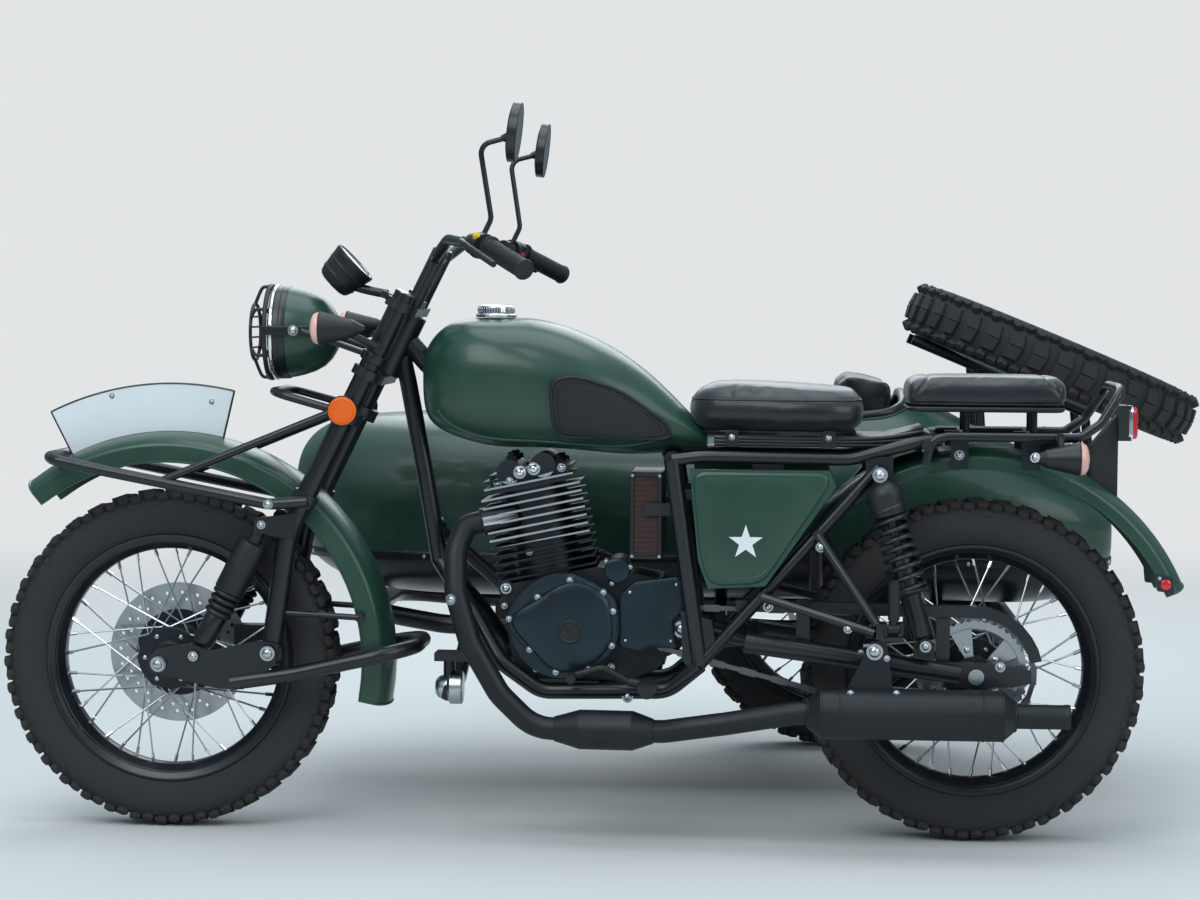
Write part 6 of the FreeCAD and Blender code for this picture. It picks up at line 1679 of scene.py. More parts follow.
class Controls:
    """Ribbed grips, mirror glasses, switch and bar clamps."""

    def build(self) -> None:
        """Build what the hands use."""
        self.build_grips()
        self.build_mirrors()
        self.build_switches()
        self.build_clamps()

    @staticmethod
    def build_grips() -> None:
        """Rubber sleeves with ribs and a flange at the inner end."""
        sheet = Sheet("grip_sleeves")
        for side in (LEFT, RIGHT):
            inner, outer = steer(1324, -112, side * 345), steer(1320, -194, side * 441)
            run = (outer - inner).normalized()
            start = outer - run * 127 * MM
            profile = [(0.5, 15), (0.5, 22), (1.5, 23), (4, 23), (5.5, 21), (7, 18.4)]
            for rib in range(19):
                base = 10 + rib * 6
                profile += [(base, 17.3), (base + 0.8, 18.3), (base + 3.6, 18.3), (base + 4.4, 17.3)]
            profile += [(125, 17.4), (126, 19.4), (129, 20), (131.5, 19), (132.5, 15), (132.8, 8), (132.8, 0)]
            sheet.turn(start, outer, profile, Finishes.RUBBER, 36)
        sheet.finish(FORK, 30)

    @staticmethod
    def build_mirrors() -> None:
        """Glass and rim on the back of each mirror head."""
        glass = Sheet("mirror_glasses")
        face = Vector((-1, 0, -0.12)).normalized()
        for side in (LEFT, RIGHT):
            centre = steer(1535, -56, side * 310)
            glass.turn(centre, centre + face, [(6.6, 55.4), (8.2, 55.4), (8.8, 54.4), (8.4, 52.6)],
                       Finishes.PLASTIC, 56)
            glass.turn(centre, centre + face, [(8.3, 52.8), (8.0, 40), (7.7, 22), (7.6, 0)],
                       Finishes.MIRROR, 56)
            glass.turn(centre, centre - face, [(6.6, 55.4), (8.6, 52), (11.5, 40), (13.4, 22), (14, 0)],
                       Finishes.PLASTIC, 56)
        glass.finish(FORK, 50)

    @staticmethod
    def build_switches() -> None:
        """Buttons and the yellow slide on the switch housings."""
        sheet = Sheet("switch_buttons")
        for side in (LEFT, RIGHT):
            inner = steer(1318, -86, side * 300)
            run = (steer(1324, -112, side * 345) - inner).normalized()
            up = (UP - run * run.z).normalized()
            back = run.cross(up).normalized()
            if back.x > 0:
                back = -back
            middle = inner + run * 19 * MM
            for lift, along, half, finish in ((128, 7, 6.5, Finishes.YELLOW), (20, 4, 3.4, Finishes.PLASTIC),
                                              (-14, -4, 3.0, Finishes.RED if side < 0 else Finishes.PLASTIC)):
                way = back * math.cos(math.radians(lift)) + up * math.sin(math.radians(lift))
                root = middle + run * along * MM + way * 22.5 * MM
                sheet.turn(root, root + way, [(0, half + 2), (2.2, half + 2), (2.6, half + 1.4),
                                              (2.6, half), (6, half), (6.8, half - 1), (7, 0)], finish, 20)
            sheet.turn(middle, middle + run, [(-14.8, 23.4), (-14.8, 24.6), (-13, 25), (-10, 24.2)],
                       Finishes.PLASTIC, 36)
            sheet.turn(middle, middle + run, [(-0.8, 23.9), (-0.8, 24.5), (0.8, 24.5), (0.8, 23.9)],
                       Finishes.RUBBER, 36)
        sheet.finish(FORK, 35)

    @staticmethod
    def build_clamps() -> None:
        """Caps and socket screws of the bar's two risers and the steering stem's nut."""
        sheet = Sheet("bar_clamps")
        ahead = (steer(0, 1) - steer(0, 0)).normalized()
        up = (steer(1, 0) - steer(0, 0)).normalized()
        for side in (LEFT, RIGHT):
            top = steer(1268, 1, side * 50)
            sheet.turn(top, top + up, [(-2, 15.4), (0.5, 15.2), (2, 13.5), (2.4, 0)], Finishes.BLACK, 32)
            for way in (-1, 1):
                Bolt(top + ahead * way * 8 * MM + up * 2.2 * MM, up, 3.6 * MM).add(sheet)
        stem = steer(1150, 0)
        sheet.turn(stem, stem + up, [(-1, 16), (0, 18), (2, 18), (2.5, 15), (12, 15), (14, 12), (14, 0)],
                   Finishes.CHROME, 6)
        for side in (LEFT, RIGHT):
            cap = steer(1166, 20, side * 100)
            sheet.turn(cap, cap + up, [(-1, 19), (1.5, 18.6), (3.5, 15), (4, 9), (1.5, 8), (1.5, 0)],
                       Finishes.ZINC, 32)
        sheet.finish(FORK, 35)


@dataclass
class EngineTrim:
    """Covers, caps, plugs and fin edges of the engine."""

    axis_lean: float = math.radians(12)
    cover: tuple[float, float] = (793, 418)
    rim: Outline = (
        (900, 433), (889, 462), (867, 487), (841, 499), (808, 510), (777, 520), (749, 508), (723, 497),
        (692, 470), (684, 429), (686, 392), (703, 362), (733, 338), (769, 328), (807, 326), (838, 348),
        (868, 374), (892, 402))
    screws: Outline = (
        (896, 431), (841, 474), (779, 508), (714, 485), (695, 449), (697, 382), (742, 337), (805, 329),
        (856, 372))
    chain_cover: Outline = (
        (681, 479), (655, 504), (571, 515), (560, 505), (551, 452), (582, 431), (571, 376), (623, 377),
        (640, 369), (684, 378), (690, 423))
    wall_reach: float = 101.8
    clutch: tuple[float, float] = (761, 442)
    starter: tuple[float, float] = (690, 525)

    def build(self) -> None:
        """Dress both sides of the engine."""
        self.build_left_cover()
        self.build_right_cover()
        self.build_sprocket_cover()
        self.build_starter_cap()
        self.build_head_trim()
        self.build_fittings()

    @staticmethod
    def _dome(sheet: Sheet, place: tuple[float, float, float], side: int, profile: Outline, finish: Finish,
              steps: int = 72) -> None:
        """Turn a profile on a face that looks sideways.

        Args:
            sheet: The mesh to add to.
            place: Its middle along X, how far out the face is, and its height, in millimetres.
            side: Side of the machine.
            profile: Points as (height above the face, radius).
            finish: Finish of the faces.
            steps: Number of steps round the axis.
        """
        base = mirrored(spot(*place), side)
        sheet.turn(base, base + SIDEWAYS * side, profile, finish, steps)

    def build_left_cover(self) -> None:
        """Crowned crank cover that bulges round its screws, with a round cap and a plug."""
        sheet = Sheet("crank_cover_left")
        x, z = self.cover
        ring, dome = ([tuple(p) for p in smooth_line([Vector(corner) for corner in line], steps, closed=True)]
                      for line, steps in ((self.rim, 8), (self.screws, 16)))
        wall = []
        for point in ring:
            grow = max(1.0, self.wall_reach / math.dist(point, self.cover))
            wall += shrunk([point], self.cover, grow)
        rows = side_layers(wall, self.cover, LEFT, ((72, 1.0), (115.6, 1.0), (117.4, 0.985), (117.4, 0.95)))
        rows += side_layers(ring, self.cover, LEFT, ((117.4, 0.965), (119.0, 0.95), (119.2, 0.90),
                                                     (118.6, 0.80)))
        sheet.grid(rows, Finishes.COVER, wrap_columns=True)
        rows = side_layers(dome, self.cover, LEFT, ((118, 0.97), (120, 0.955), (123.4, 0.92), (125.2, 0.85),
                                                    (126.4, 0.7), (127.0, 0.5), (127.2, 0.3)))
        sheet.grid(rows, Finishes.COVER, wrap_columns=True)
        sheet.cap(rows[-1], Finishes.COVER)
        cap = [(-3, 23), (2.6, 23), (4.4, 21.5), (4.8, 19), (3.6, 17.5), (3.6, 6), (2.4, 5), (2.4, 0)]
        self._dome(sheet, (x - 15, 125, z - 10), LEFT, cap, Finishes.PLASTIC, 40)
        plug = [(-5, 13.5), (2, 13.5), (3.6, 12), (3.9, 9), (3.0, 8), (3.0, 0)]
        self._dome(sheet, (x + 15, 123, z + 55), LEFT, plug, Finishes.CAST, 6)
        for px, pz in self.screws:
            self._boss(sheet, spot(px, 118.6, pz), LEFT, 8.0)
        sheet.finish(ROOT, 30)

    @staticmethod
    def _boss(sheet: Sheet, place: Vector, side: int, radius: float) -> None:
        """Screw boss with its bright screw."""
        out = SIDEWAYS * side
        sheet.turn(place, place + out, [(-30, radius), (-1, radius), (0.6, radius - 1.2), (0.6, 0)],
                   Finishes.COVER, 18)
        Bolt(place + out * 0.6 * MM, out, radius * 0.62 * MM).add(sheet)

    def build_right_cover(self) -> None:
        """Clutch cover with a raised ring and screws."""
        sheet = Sheet("clutch_cover_right")
        x, z = self.clutch
        self._dome(sheet, (x, 116, z), RIGHT, [(-38, 108.6), (-4, 110), (-1.5, 109), (0, 106), (0.6, 98),
                                               (3, 95), (6, 92), (6.8, 80), (6.0, 70), (3.4, 66), (3.4, 40),
                                               (5.4, 36), (6.4, 30), (6.4, 0)], Finishes.COVER, 96)
        for angle in turns(10):
            place = spot(x + 103.5 * math.cos(angle), -116.2, z + 103.5 * math.sin(angle))
            self._boss(sheet, place, RIGHT, 7.5)
        sheet.finish(ROOT, 30)

    def build_sprocket_cover(self) -> None:
        """Smooth crowned cover over the front chain wheel, held off the case by its screws."""
        sheet = Sheet("chain_wheel_cover")
        layers = ((96.6, 0.90), (96.6, 0.99), (97.4, 1.0), (100.2, 1.0), (101.4, 0.985), (102.4, 0.94),
                  (103.0, 0.8), (103.3, 0.5), (103.4, 0.25))
        rows = side_layers(rounded_polygon(self.chain_cover, 7, 4), (620, 436), LEFT, layers)
        sheet.grid(rows, Finishes.COVER, wrap_columns=True)
        sheet.cap(rows[-1], Finishes.COVER)
        sheet.cap(list(reversed(rows[0])), Finishes.COVER)
        for px, pz in ((664, 484), (574, 500), (584, 390), (672, 390)):
            self._boss(sheet, spot(px, 100.6, pz), LEFT, 7.0)
        sheet.finish(ROOT, 30)

    def build_starter_cap(self) -> None:
        """Domed end of the starter with three lugs."""
        sheet = Sheet("starter_cap")
        x, z = self.starter
        self._dome(sheet, (x, 92, z), LEFT, [(-8, 24.6), (-1, 24.6), (1.5, 23), (3, 19), (3.4, 12), (3.4, 0)],
                   Finishes.COVER, 48)
        for angle in (40, 165, 290):
            turn = math.radians(angle)
            place = spot(x + 27 * math.cos(turn), 90, z + 27 * math.sin(turn))
            sheet.turn(place, place + SIDEWAYS, [(-18, 5.8), (0, 5.8), (0.8, 4.8), (0.8, 0)],
                       Finishes.COVER, 16)
            Bolt(place + SIDEWAYS * 0.8 * MM, SIDEWAYS, 3.6 * MM).add(sheet)
        sheet.finish(ROOT, 30)

    def build_head_trim(self) -> None:
        """Acorn nuts, plugs and valve covers round the cylinder head."""
        sheet = Sheet("head_trim")
        surface = Surface("engine_head", "engine_cylinder")
        lean = Vector((math.sin(self.axis_lean), 0, math.cos(self.axis_lean)))
        for side in (LEFT, RIGHT):
            for x, z, radius, finish in ((881, 712, 10.5, Finishes.CHROME), (854, 719, 10.5, Finishes.CHROME),
                                         (901, 695, 6, Finishes.ZINC), (800, 722, 7, Finishes.ZINC),
                                         (925, 690, 7, Finishes.ZINC)):
                for place in surface.beside([(x, z)], side):
                    Bolt(place, SIDEWAYS * side, radius * MM, finish).add(sheet)
        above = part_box("engine_head")[1].z + 0.05
        nut = [(-4, 15), (5, 15), (7, 12.5), (7, 9), (12, 9), (14, 6.5), (14.6, 0)]
        starts = [Vector((0.868 + x * MM, side * MM, above)) for x in (-46, 44) for side in (-38, 38)]
        for place in surface.line(starts, -lean, 0.3):
            sheet.turn(place, place + lean, nut, Finishes.CAST, 6)
        sheet.finish(ROOT, 35, bevel=0.0004)

    @staticmethod
    def build_fittings() -> None:
        """Banjo fittings on the crank case and the plugs below it."""
        sheet = Sheet("case_fittings")
        surface = Surface("engine_case", "engine_cylinder")
        for x, z, radius in ((906, 486, 11), (909, 452, 6), (862, 556, 6), (902, 396, 6), (700, 336, 7),
                             (846, 330, 7)):
            for side in (LEFT, RIGHT):
                out = SIDEWAYS * side
                for place in surface.beside([(x, z)], side):
                    sheet.turn(place, place + out, [(-4, radius + 4), (3, radius + 4), (4, radius + 3),
                                                    (4, 0)], Finishes.CAST, 24)
                    Bolt(place + out * 4 * MM, out, radius * 0.8 * MM).add(sheet)
        sheet.finish(ROOT, 35)


@dataclass
class ExhaustTrim:
    """Clamps, weld beads, rounded muffler ends and the tip of the exhaust."""

    muffler_low: Vector = field(default_factory=lambda: spot(320, 222, 273))
    muffler_high: Vector = field(default_factory=lambda: spot(-68, 222, 273))

    def build(self) -> None:
        """Build the rings and caps."""
        sheet = Sheet("exhaust_trim")
        start, end = self.muffler_low, self.muffler_high
        length = (start - end).length / MM
        for place in (24, 60, length - 60, length - 24):
            sheet.turn(start, end, [(place - 3, 47.6), (place - 1.5, 48.8), (place + 1.5, 48.8),
                                    (place + 3, 47.6)], Finishes.EXHAUST, 56)
        for place in (0.5, length - 0.5):
            sheet.turn(start, end, [(place - 3, 26), (place - 1.8, 29), (place, 29.8), (place + 1.8, 29),
                                    (place + 3, 26)], Finishes.EXHAUST, 48)
        tip = [(0, 22.9), (1.5, 23.8), (10.5, 23.8), (12, 22.5), (12, 20), (4, 19.6), (-60, 19.4)]
        sheet.turn(spot(-158, 222, 273), spot(-200, 222, 273), tip, Finishes.EXHAUST, 40)
        sheet.finish(ROOT, 35)


class AirboxTrim:
    """Framed brown mesh on the airbox's sides."""

    def build(self) -> None:
        """Build the frames and the ribs of the mesh."""
        low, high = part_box("airbox")
        sheet = Sheet("airbox_faces")
        middle = (low + high) / 2 / MM
        half_x, half_z = (high.x - low.x) / 2 / MM, (high.z - low.z) / 2 / MM
        face = high.y / MM
        outline = rounded_polygon([(-half_x, -half_z), (half_x, -half_z), (half_x, half_z),
                                   (-half_x, half_z)], 8, 4)
        layers = ((-6, 1.03, 1.012), (3, 1.03, 1.012), (5, 0.98, 0.995), (5, 0.80, 0.93), (4.2, 0.78, 0.922),
                  (1.2, 0.77, 0.918))
        for side in (LEFT, RIGHT):
            rows = [[spot(middle.x + px * s, side * (face + out), middle.z + pz * t) for px, pz in outline]
                    for out, s, t in layers]
            sheet.grid(rows, Finishes.PLASTIC, wrap_columns=True)
            sheet.cap(rows[-1], Finishes.FILTER)
            for step in range(-7, 8):
                ends = [spot(middle.x + end * half_x * 0.76, side * (face + 1.6), middle.z + step * 10)
                        for end in (-1, 1)]
                sheet.tube(ends, 0.0013, Finishes.FILTER, 6)
            for px in (-0.88, 0.88):
                for pz in (-0.94, 0.94):
                    Bolt(spot(middle.x + px * half_x, side * (face + 5), middle.z + pz * half_z),
                         SIDEWAYS * side, 2.6 * MM).add(sheet)
        sheet.finish(ROOT, 35)


@dataclass
class SidecarTrim:
    """Padded rim of the cockpit, seam strip and floor mat of the sidecar."""

    centre_y: float = -675.0
    mouth_low: float = 120.0
    mouth_high: float = 900.0
    mouth_half: float = 235.0
    mouth_corner: float = 60.0
    seam: float = 505.0

    def build(self) -> None:
        """Build the sidecar's trim."""
        self.build_coaming()
        self.build_seam()
        self.build_mat()

    def _mouth(self, grow: float) -> Outline:
        """Outline of the mouth, larger all round by a distance."""
        corner = self.mouth_corner + grow
        low, high, half = self.mouth_low - grow, self.mouth_high + grow, self.mouth_half + grow
        made = []
        for cx, cy, start in ((high - corner, half - corner, 0), (low + corner, half - corner, 90),
                              (low + corner, -half + corner, 180), (high - corner, -half + corner, 270)):
            for step in range(9):
                angle = math.radians(start + 90 * step / 8)
                made.append((cx + corner * math.cos(angle), self.centre_y + cy + corner * math.sin(angle)))
        dense = []
        for before, after in zip(made, made[1:] + made[:1]):
            count = max(1, int(math.dist(before, after) / 16))
            for step in range(count):
                share = step / count
                dense.append((before[0] + (after[0] - before[0]) * share,
                              before[1] + (after[1] - before[1]) * share))
        return dense

    def build_coaming(self) -> None:
        """Soft black roll that follows the edge of the mouth, with a welt outside it."""
        surface = Surface("sidecar_tub")
        edge, welt = (surface.line([spot(x, y, 1400) for x, y in self._mouth(grow)], -UP, 1.2)
                      for grow in (4, 17))
        edge = [p for p in edge if p.z > 0.6]
        count = len(edge)
        even = [(edge[i - 2] + edge[i - 1] * 2 + edge[i] * 3 + edge[(i + 1) % count] *
                 2 + edge[(i + 2) % count]) / 9 for i in range(count)]
        sheet = Sheet("cockpit_roll")
        sheet.tube([p - UP * 0.001 for p in even], 0.0105, Finishes.LEATHER, 14, closed=True)
        sheet.tube(welt, 0.0022, Finishes.PIPING, 8, closed=True)
        sheet.finish(ROOT, 60)

    def build_seam(self) -> None:
        """Joint strip round the tub, held by a row of screws."""
        surface = Surface("sidecar_tub", "sidecar_pan")
        centre = spot(560, self.centre_y, self.seam + 7)
        sheet = Sheet("tub_seam_strip")
        count, reach, drop = 160, 1.6, UP * 0.016
        upper, middle, lower = [], [], []
        for angle in turns(count):
            way = Vector((0.94 * math.cos(angle), 0.34 * math.sin(angle), 0)).normalized()
            found = surface.line([centre + way * reach, centre - drop + way * reach], -way, reach)
            if len(found) < 2:
                continue
            out = max((found[0] - centre).length, (found[1] - centre + drop).length)
            upper.append(centre + way * (out + 0.0002) + UP * 0.004)
            middle.append(centre + way * (out + 0.0032))
            lower.append(middle[-1] - UP * 0.014)
        last = [p - UP * 0.004 - (p - centre).normalized() * 0.003 for p in lower]
        sheet.grid([upper, middle, lower, last], Finishes.BLACK, wrap_columns=True)
        for index in range(0, len(middle), 5):
            p = (middle[index] + lower[index]) / 2
            out = Vector((p.x - centre.x, (p.y - centre.y) * 3, 0)).normalized()
            Bolt(p, out, 0.0036).add(sheet)
        sheet.finish(ROOT, 40)

    def build_mat(self) -> None:
        """Ribbed rubber mat on the sidecar's floor."""
        surface = Surface("sidecar_pan")
        sheet = Sheet("floor_mat")
        rows = []
        for i in range(25):
            x = 700 + i * 18
            row = []
            for j in range(17):
                y = self.centre_y + (j - 8) * 22
                found = surface.hit(spot(x, y, 520), -UP, 0.4)
                height = found[0].z if found is not None else 0.36
                row.append(Vector((x * MM, y * MM, height + 0.0045)))
            rows.append(row)
        sheet.grid(rows, Finishes.RUBBER)
        edge = rows[0] + [r[-1] for r in rows[1:]] + rows[-1][-2::-1] + [r[0] for r in rows[-2:0:-1]]
        sheet.grid([edge, [p - UP * 0.006 for p in edge]], Finishes.RUBBER, wrap_columns=True)
        for i in range(1, 24):
            sheet.tube([p + UP * 0.0008 for p in rows[i][1:-1]], 0.0016, Finishes.RUBBER, 6)
        sheet.finish(ROOT, 40)


@dataclass
class Studio:
    """Pale floor, soft lamps and the camera at the photograph's angle."""

    eye: Vector = field(default_factory=lambda: Vector((0.38343, 5.48453, 1.04193)))
    yaw: float = 3.617
    pitch: float = 3.008
    roll: float = 0.450
    focal_pixels: float = 2803.53
    image_width: float = 1200.0
    backdrop: tuple[float, float, float] = (0.76, 0.78, 0.79)
    horizon: tuple[float, float, float] = (0.10, 0.125, 0.14)
    zenith: tuple[float, float, float] = (0.50, 0.66, 0.74)
    floor_colour: tuple[float, float, float] = (0.66, 0.65, 0.64)
    floor_half: float = 60.0
    lamp_colour: tuple[float, float, float] = (0.93, 0.975, 1.0)

    def build(self) -> None:
        """Build the floor, the lamps, the world and the camera."""
        self.build_camera()
        self.build_floor()
        self.build_world()
        for name, place, size, power in (("key_lamp", (2.2, 3.6, 3.8), 3.2, 110.0),
                                         ("fill_lamp", (-3.0, 3.0, 2.6), 3.0, 62.0),
                                         ("back_lamp", (0.6, -4.2, 3.4), 3.4, 92.0),
                                         ("top_lamp", (0.6, 0.0, 4.4), 3.0, 60.0)):
            self.build_lamp(name, Vector(place), size, power)
        bpy.context.scene.view_settings.view_transform = "Standard"

    @staticmethod
    def _link(name: str, data: bpy.types.ID) -> bpy.types.Object:
        """Return a new object of the scene."""
        made = bpy.data.objects.new(name, data)
        bpy.context.scene.collection.objects.link(made)
        return made

    def build_camera(self) -> None:
        """Camera at the photograph's place, angle and lens."""
        data = bpy.data.cameras.new("photo_camera")
        data.sensor_width = 36.0
        data.lens = data.sensor_width * self.focal_pixels / self.image_width
        data.clip_end = 200.0
        camera = self._link("photo_camera", data)
        yaw, pitch, roll = (math.radians(a) for a in (self.yaw, self.pitch, self.roll))
        ahead = Vector((math.sin(yaw) * math.cos(pitch), -math.cos(yaw) * math.cos(pitch), -math.sin(pitch)))
        right = ahead.cross(UP).normalized()
        up = right.cross(ahead)
        across = right * math.cos(roll) + up * math.sin(roll)
        above = up * math.cos(roll) - right * math.sin(roll)
        turn = Matrix((across, above, -ahead)).transposed()
        camera.matrix_world = Matrix.Translation(self.eye) @ turn.to_4x4()
        bpy.context.scene.camera = camera

    def build_floor(self) -> None:
        """Wide pale floor that passes into the backdrop away from the machine."""
        data = bpy.data.meshes.new("floor")
        half = self.floor_half
        data.from_pydata([(-half, -half, 0), (half, -half, 0), (half, half, 0), (-half, half, 0)], [],
                         [(0, 1, 2, 3)])
        floor = self._link("floor", data)
        made = bpy.data.materials.new("pale_floor")
        made.use_nodes = True
        nodes = Nodes(made.node_tree)
        near = made.node_tree.nodes["Principled BSDF"]
        nodes.feed(near, {"Base Color": self.floor_colour, "Roughness": 0.9})
        place = nodes.add("NewGeometry", {}, "Position")
        away = nodes.add("VectorMath", {0: place, 1: (0.6, -0.4, 0.0)}, "Value", operation="DISTANCE")
        far = nodes.add("MapRange", {"Value": away, 1: 2.2, 2: 7.0, 3: 0.0, 4: 1.0}, "Result",
                        interpolation_type="SMOOTHSTEP")
        share = nodes.add("Math", {0: far, 1: self.seen_rays(nodes)}, operation="MULTIPLY")
        pale = nodes.add("Emission", {"Color": self.backdrop}, "Emission")
        self._blend(nodes, share, near.outputs["BSDF"], pale, "Material Output")
        data.materials.append(made)

    @staticmethod
    def seen_rays(nodes: Nodes) -> Socket:
        """Return 1 for rays by which the backdrop is seen, straight or through glass."""
        path = nodes.tree.nodes.new("ShaderNodeLightPath").outputs
        return nodes.add("Math", {0: path["Is Camera Ray"], 1: path["Is Transmission Ray"]},
                         operation="MAXIMUM")

    @staticmethod
    def _blend(nodes: Nodes, share: Socket, first: Socket, second: Socket, output: str) -> None:
        """Give an output node two shaders, blended by the share of the second."""
        mixed = nodes.add("MixShader", {"Fac": share, 1: first, 2: second}, "Shader")
        nodes.feed(nodes.tree.nodes[output], {"Surface": mixed})

    def build_world(self) -> None:
        """Sky that grows paler upwards, behind it the even backdrop that the camera sees."""
        world = bpy.data.worlds.new("pale_world")
        bpy.context.scene.world = world
        world.use_nodes = True
        nodes = Nodes(world.node_tree)
        sky = world.node_tree.nodes["Background"]
        height = nodes.add("SeparateXYZ", {"Vector": nodes.add("TexCoord", {}, "Generated")}, "Z")
        rise = nodes.mapped(height, (0.0, 0.85), (0.0, 1.0))
        nodes.feed(sky, {"Color": nodes.mix(rise, self.horizon, self.zenith)})
        seen = nodes.add("Background", {"Color": self.backdrop}, "Background")
        self._blend(nodes, self.seen_rays(nodes), sky.outputs["Background"], seen, "World Output")

    def build_lamp(self, name: str, place: Vector, size: float, power: float) -> None:
        """Large soft lamp that faces the machine.

        Args:
            name: Name of the lamp.
            place: Where it hangs.
            size: Side of its square face.
            power: Its power in watts.
        """
        data = bpy.data.lights.new(name, "AREA")
        data.size = size
        data.energy = power
        data.color = self.lamp_colour
        lamp = self._link(name, data)
        lamp.location = place
        aim = Vector((0.6, -0.3, 0.5)) - place
        lamp.rotation_mode = "QUATERNION"
        lamp.rotation_quaternion = aim.to_track_quat("-Z", "Y")


class CarriedParts:
    """CAD pieces that keep their shape and take a finish."""

    FINISHES = {
        Finishes.PAINT: ("front_fender", "rear_fender", "sidecar_fender", "fuel_tank", "side_panels"),
        Finishes.TUB: ("sidecar_tub",),
        Finishes.BLACK: ("fork_frame", "fork_link", "fork_guard", "handlebar", "main_frame", "swing_arm",
                         "tail_tray", "rear_rack", "peg_brackets", "sidecar_frame", "sidecar_arm",
                         "sidecar_pan", "spare_carrier", "chain_guard", "mirrors"),
        Finishes.CAST: ("engine_case", "engine_cylinder", "engine_head"),
        Finishes.EXHAUST: ("exhaust",),
        Finishes.PLASTIC: ("hand_controls", "airbox", "front_indicators", "rear_lamps"),
        Finishes.RUBBER: ("knee_pads", "foot_controls", "passenger_peg_left", "passenger_peg_right"),
        Finishes.ZINC: ("front_axle", "rear_axle"),
        Finishes.CHAIN: ("drive_chain",),
        Finishes.WHITE: ("number_plate",),
    }
    FIN_FOOT = spot(825, 0, 510)
    FIN_HALF = (0.097, 0.073)
    BRIGHT_FINS = (72.0, 196.0)

    def build(self) -> None:
        """Give every carried piece its finish."""
        for finish, nodes in self.FINISHES.items():
            for node in nodes:
                data = frame["nodes"][node].data
                data.materials.clear()
                data.materials.append(finish.material())
        self.brighten_fins()

    def brighten_fins(self) -> None:
        """Give the ground outer edges of the upper fins their bright finish."""
        lean = EngineTrim.axis_lean
        up = Vector((math.sin(lean), 0, math.cos(lean)))
        low, high = self.BRIGHT_FINS
        for node in ("engine_cylinder", "engine_head"):
            data = frame["nodes"][node].data
            data.materials.append(Finishes.FIN_EDGE.material())
            for polygon in data.polygons:
                away = polygon.center - self.FIN_FOOT
                rise = away.dot(up)
                beside = away - up * rise
                outer = max(abs(beside.x) / self.FIN_HALF[0], abs(beside.y) / self.FIN_HALF[1])
                if low < rise / MM < high and outer > 0.99 and abs(polygon.normal.dot(up)) < 0.3:
                    polygon.material_index = 1


BOLTS = (
    Fasteners("frame_bolts", ROOT, ("main_frame", "swing_arm", "peg_brackets", "chain_guard", "exhaust",
                                    "foot_controls", "engine_case"),
              ((302, 577, 8), (397, 460, 8), (196, 391, 13), (246, 431, 7), (30, 417, 6), (6, 377, 6),
               (-46, 354, 8), (563, 413, 14), (666, 282, 9), (1005, 470, 9), (219, 379, 5), (173, 379, 5),
               (241, 315, 5), (155, 316, 5))),
    Fasteners("shock_bolts", ROOT, ("rear_shocks",), ((188, 720, 12), (98, 395, 9))),
    Fasteners("rack_bolts", ROOT, ("rear_rack", "rear_fender", "rear_lamps"), ((35, 756, 8), (-102, 757, 8))),
    Fasteners("fork_bolts", FORK, ("fork_frame", "fork_link", "fork_guard", "front_axle"),
              ((1362, 648, 8), (1363, 359, 12), (1509, 351, 8), (1379, 607, 7), (1577, 335, 11))),
)


@dataclass
class StrutKnob:
    """Bright ball housing at the end of the sidecar's lower front strut."""

    start: Vector = field(default_factory=lambda: spot(1000, -10, 279))

    def build(self) -> None:
        """Build the housing."""
        sheet = Sheet("strut_knob")
        profile = [(-1, 0), (-1, 30), (1, 33), (23, 33), (25, 31.5), (27, 28), (29, 25), (42, 23), (48, 20),
                   (53, 13), (55, 0)]
        sheet.turn(self.start, self.start + AHEAD, profile, Finishes.ZINC, 48)
        sheet.finish(ROOT, 35)


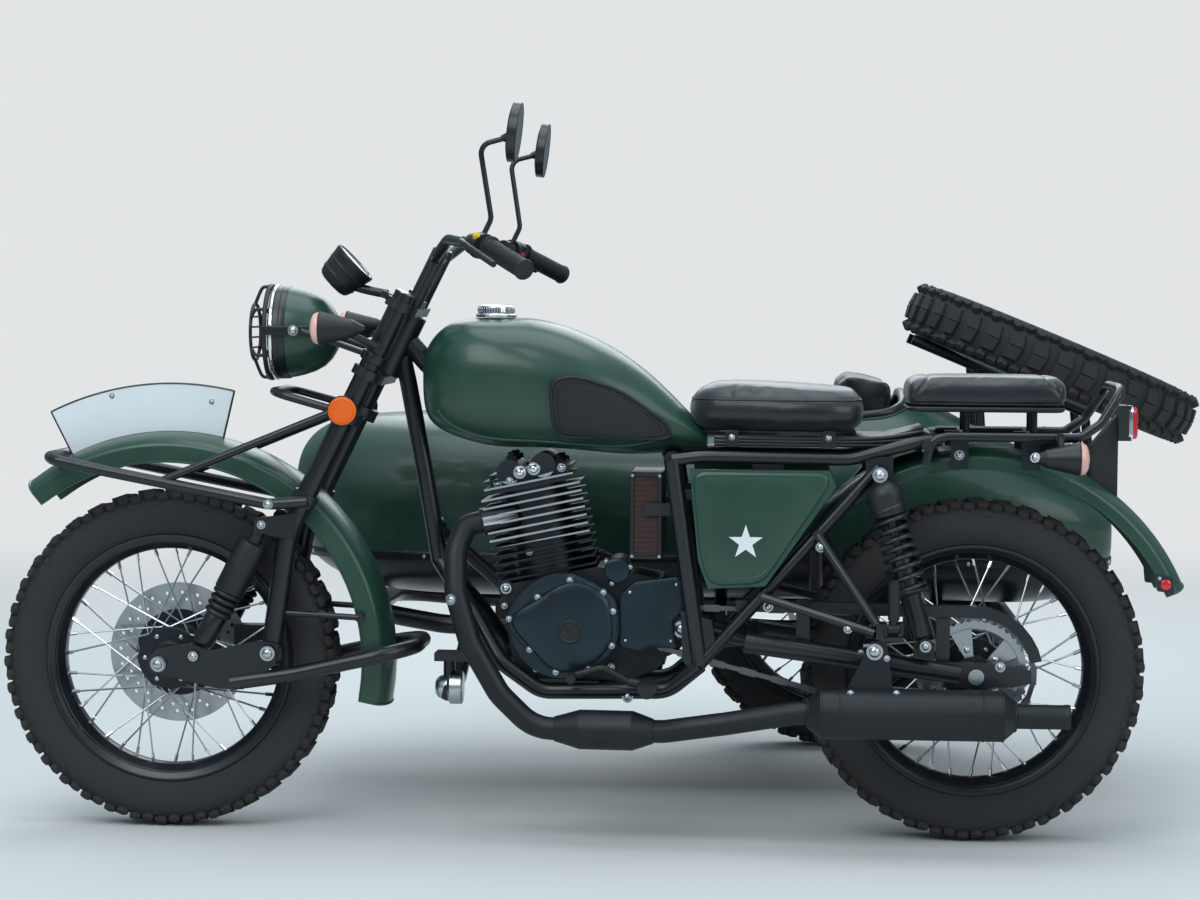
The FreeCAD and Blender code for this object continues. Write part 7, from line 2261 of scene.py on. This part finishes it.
@dataclass
class PlateEdge:
    """Black edging and two screws on each face of the blank plate."""

    bead: float = 1.7
    screws: Outline = ((1500, 840), (1700, 850))

    def build(self) -> None:
        """Build the edging along the plate's own edges, and the screws."""
        sheet = Sheet("plate_edge")
        made = bmesh.new()
        made.from_mesh(frame["nodes"]["number_plate"].data)
        bmesh.ops.remove_doubles(made, verts=made.verts, dist=1e-5)
        made.normal_update()
        for edge in made.edges:
            sideways = [abs(face.normal.y) for face in edge.link_faces]
            if len(sideways) == 2 and max(sideways) > 0.9 > min(sideways) + 0.5:
                sheet.tube([vert.co for vert in edge.verts], self.bead * MM, Finishes.BLACK, 8)
        made.free()
        surface = Surface("number_plate")
        for side in (LEFT, RIGHT):
            for place in surface.beside(self.screws, side, 200):
                Bolt(place, SIDEWAYS * side, 4.5 * MM).add(sheet)
        sheet.finish(FORK, 40)


def main() -> None:
    """Build the dressed machine."""
    logging.basicConfig(level=logging.INFO, format="%(message)s")
    for extra in [o for o in bpy.data.objects
                  if "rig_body" not in o and not o.name.startswith("body:")]:
        bpy.data.objects.remove(extra)
    Studio().build()
    CarriedParts().build()
    Wheel("front_wheel", "front_roller", Vector((1.577, 0.0, 0.335)), disc_radius=0.140,
          disc_side=-0.0575).build()
    Wheel("rear_wheel", "rear_roller", Vector((0.0, 0.0, 0.335)), disc_radius=0.110, disc_side=-0.0575,
          sprocket_radius=0.1015).build()
    Wheel("sidecar_wheel", "sidecar_roller", Vector((0.245, -1.150, 0.335)), hub_left=0.060,
          hub_right=0.050, disc_radius=0.110, disc_side=0.0575).build()
    Wheel("spare_wheel", ROOT, Vector((-0.209, -0.700, 0.917)), hub_right=0.050, tilt=-22.5).build()
    ForkDampers().build()
    CoilShock("rear", "rear_shocks", spot(99, 150, 389), spot(188, 150, 719)).build()
    CoilShock("sidecar", "sidecar_shock", spot(300, -1032.7, 339), spot(230, -1032.7, 625), coil_radius=24.5,
              wire_radius=3.5, turns=8, spring_from=96, spring_to=252, paired=False).build()
    Seats().build()
    FenderSkin("front_fender_skin", FORK, (1577, 0, 335), 445, 74, 55, 51, 191).build()
    FenderSkin("rear_fender_skin", ROOT, (0, 0, 335), 437, 88, 42, 40, 157).build()
    FenderSkin("sidecar_fender_skin", ROOT, (245, -1150, 335), 407, 88, 150, 12, 168).build()
    for trim in (TankTrim(), PanelTrim(), Headlamp(), Instrument(), Lamps(), Controls(), EngineTrim(),
                 ExhaustTrim(), AirboxTrim(), SidecarTrim(), *BOLTS, StrutKnob(), PlateEdge()):
        trim.build()


if __name__ == "__main__":
    main()
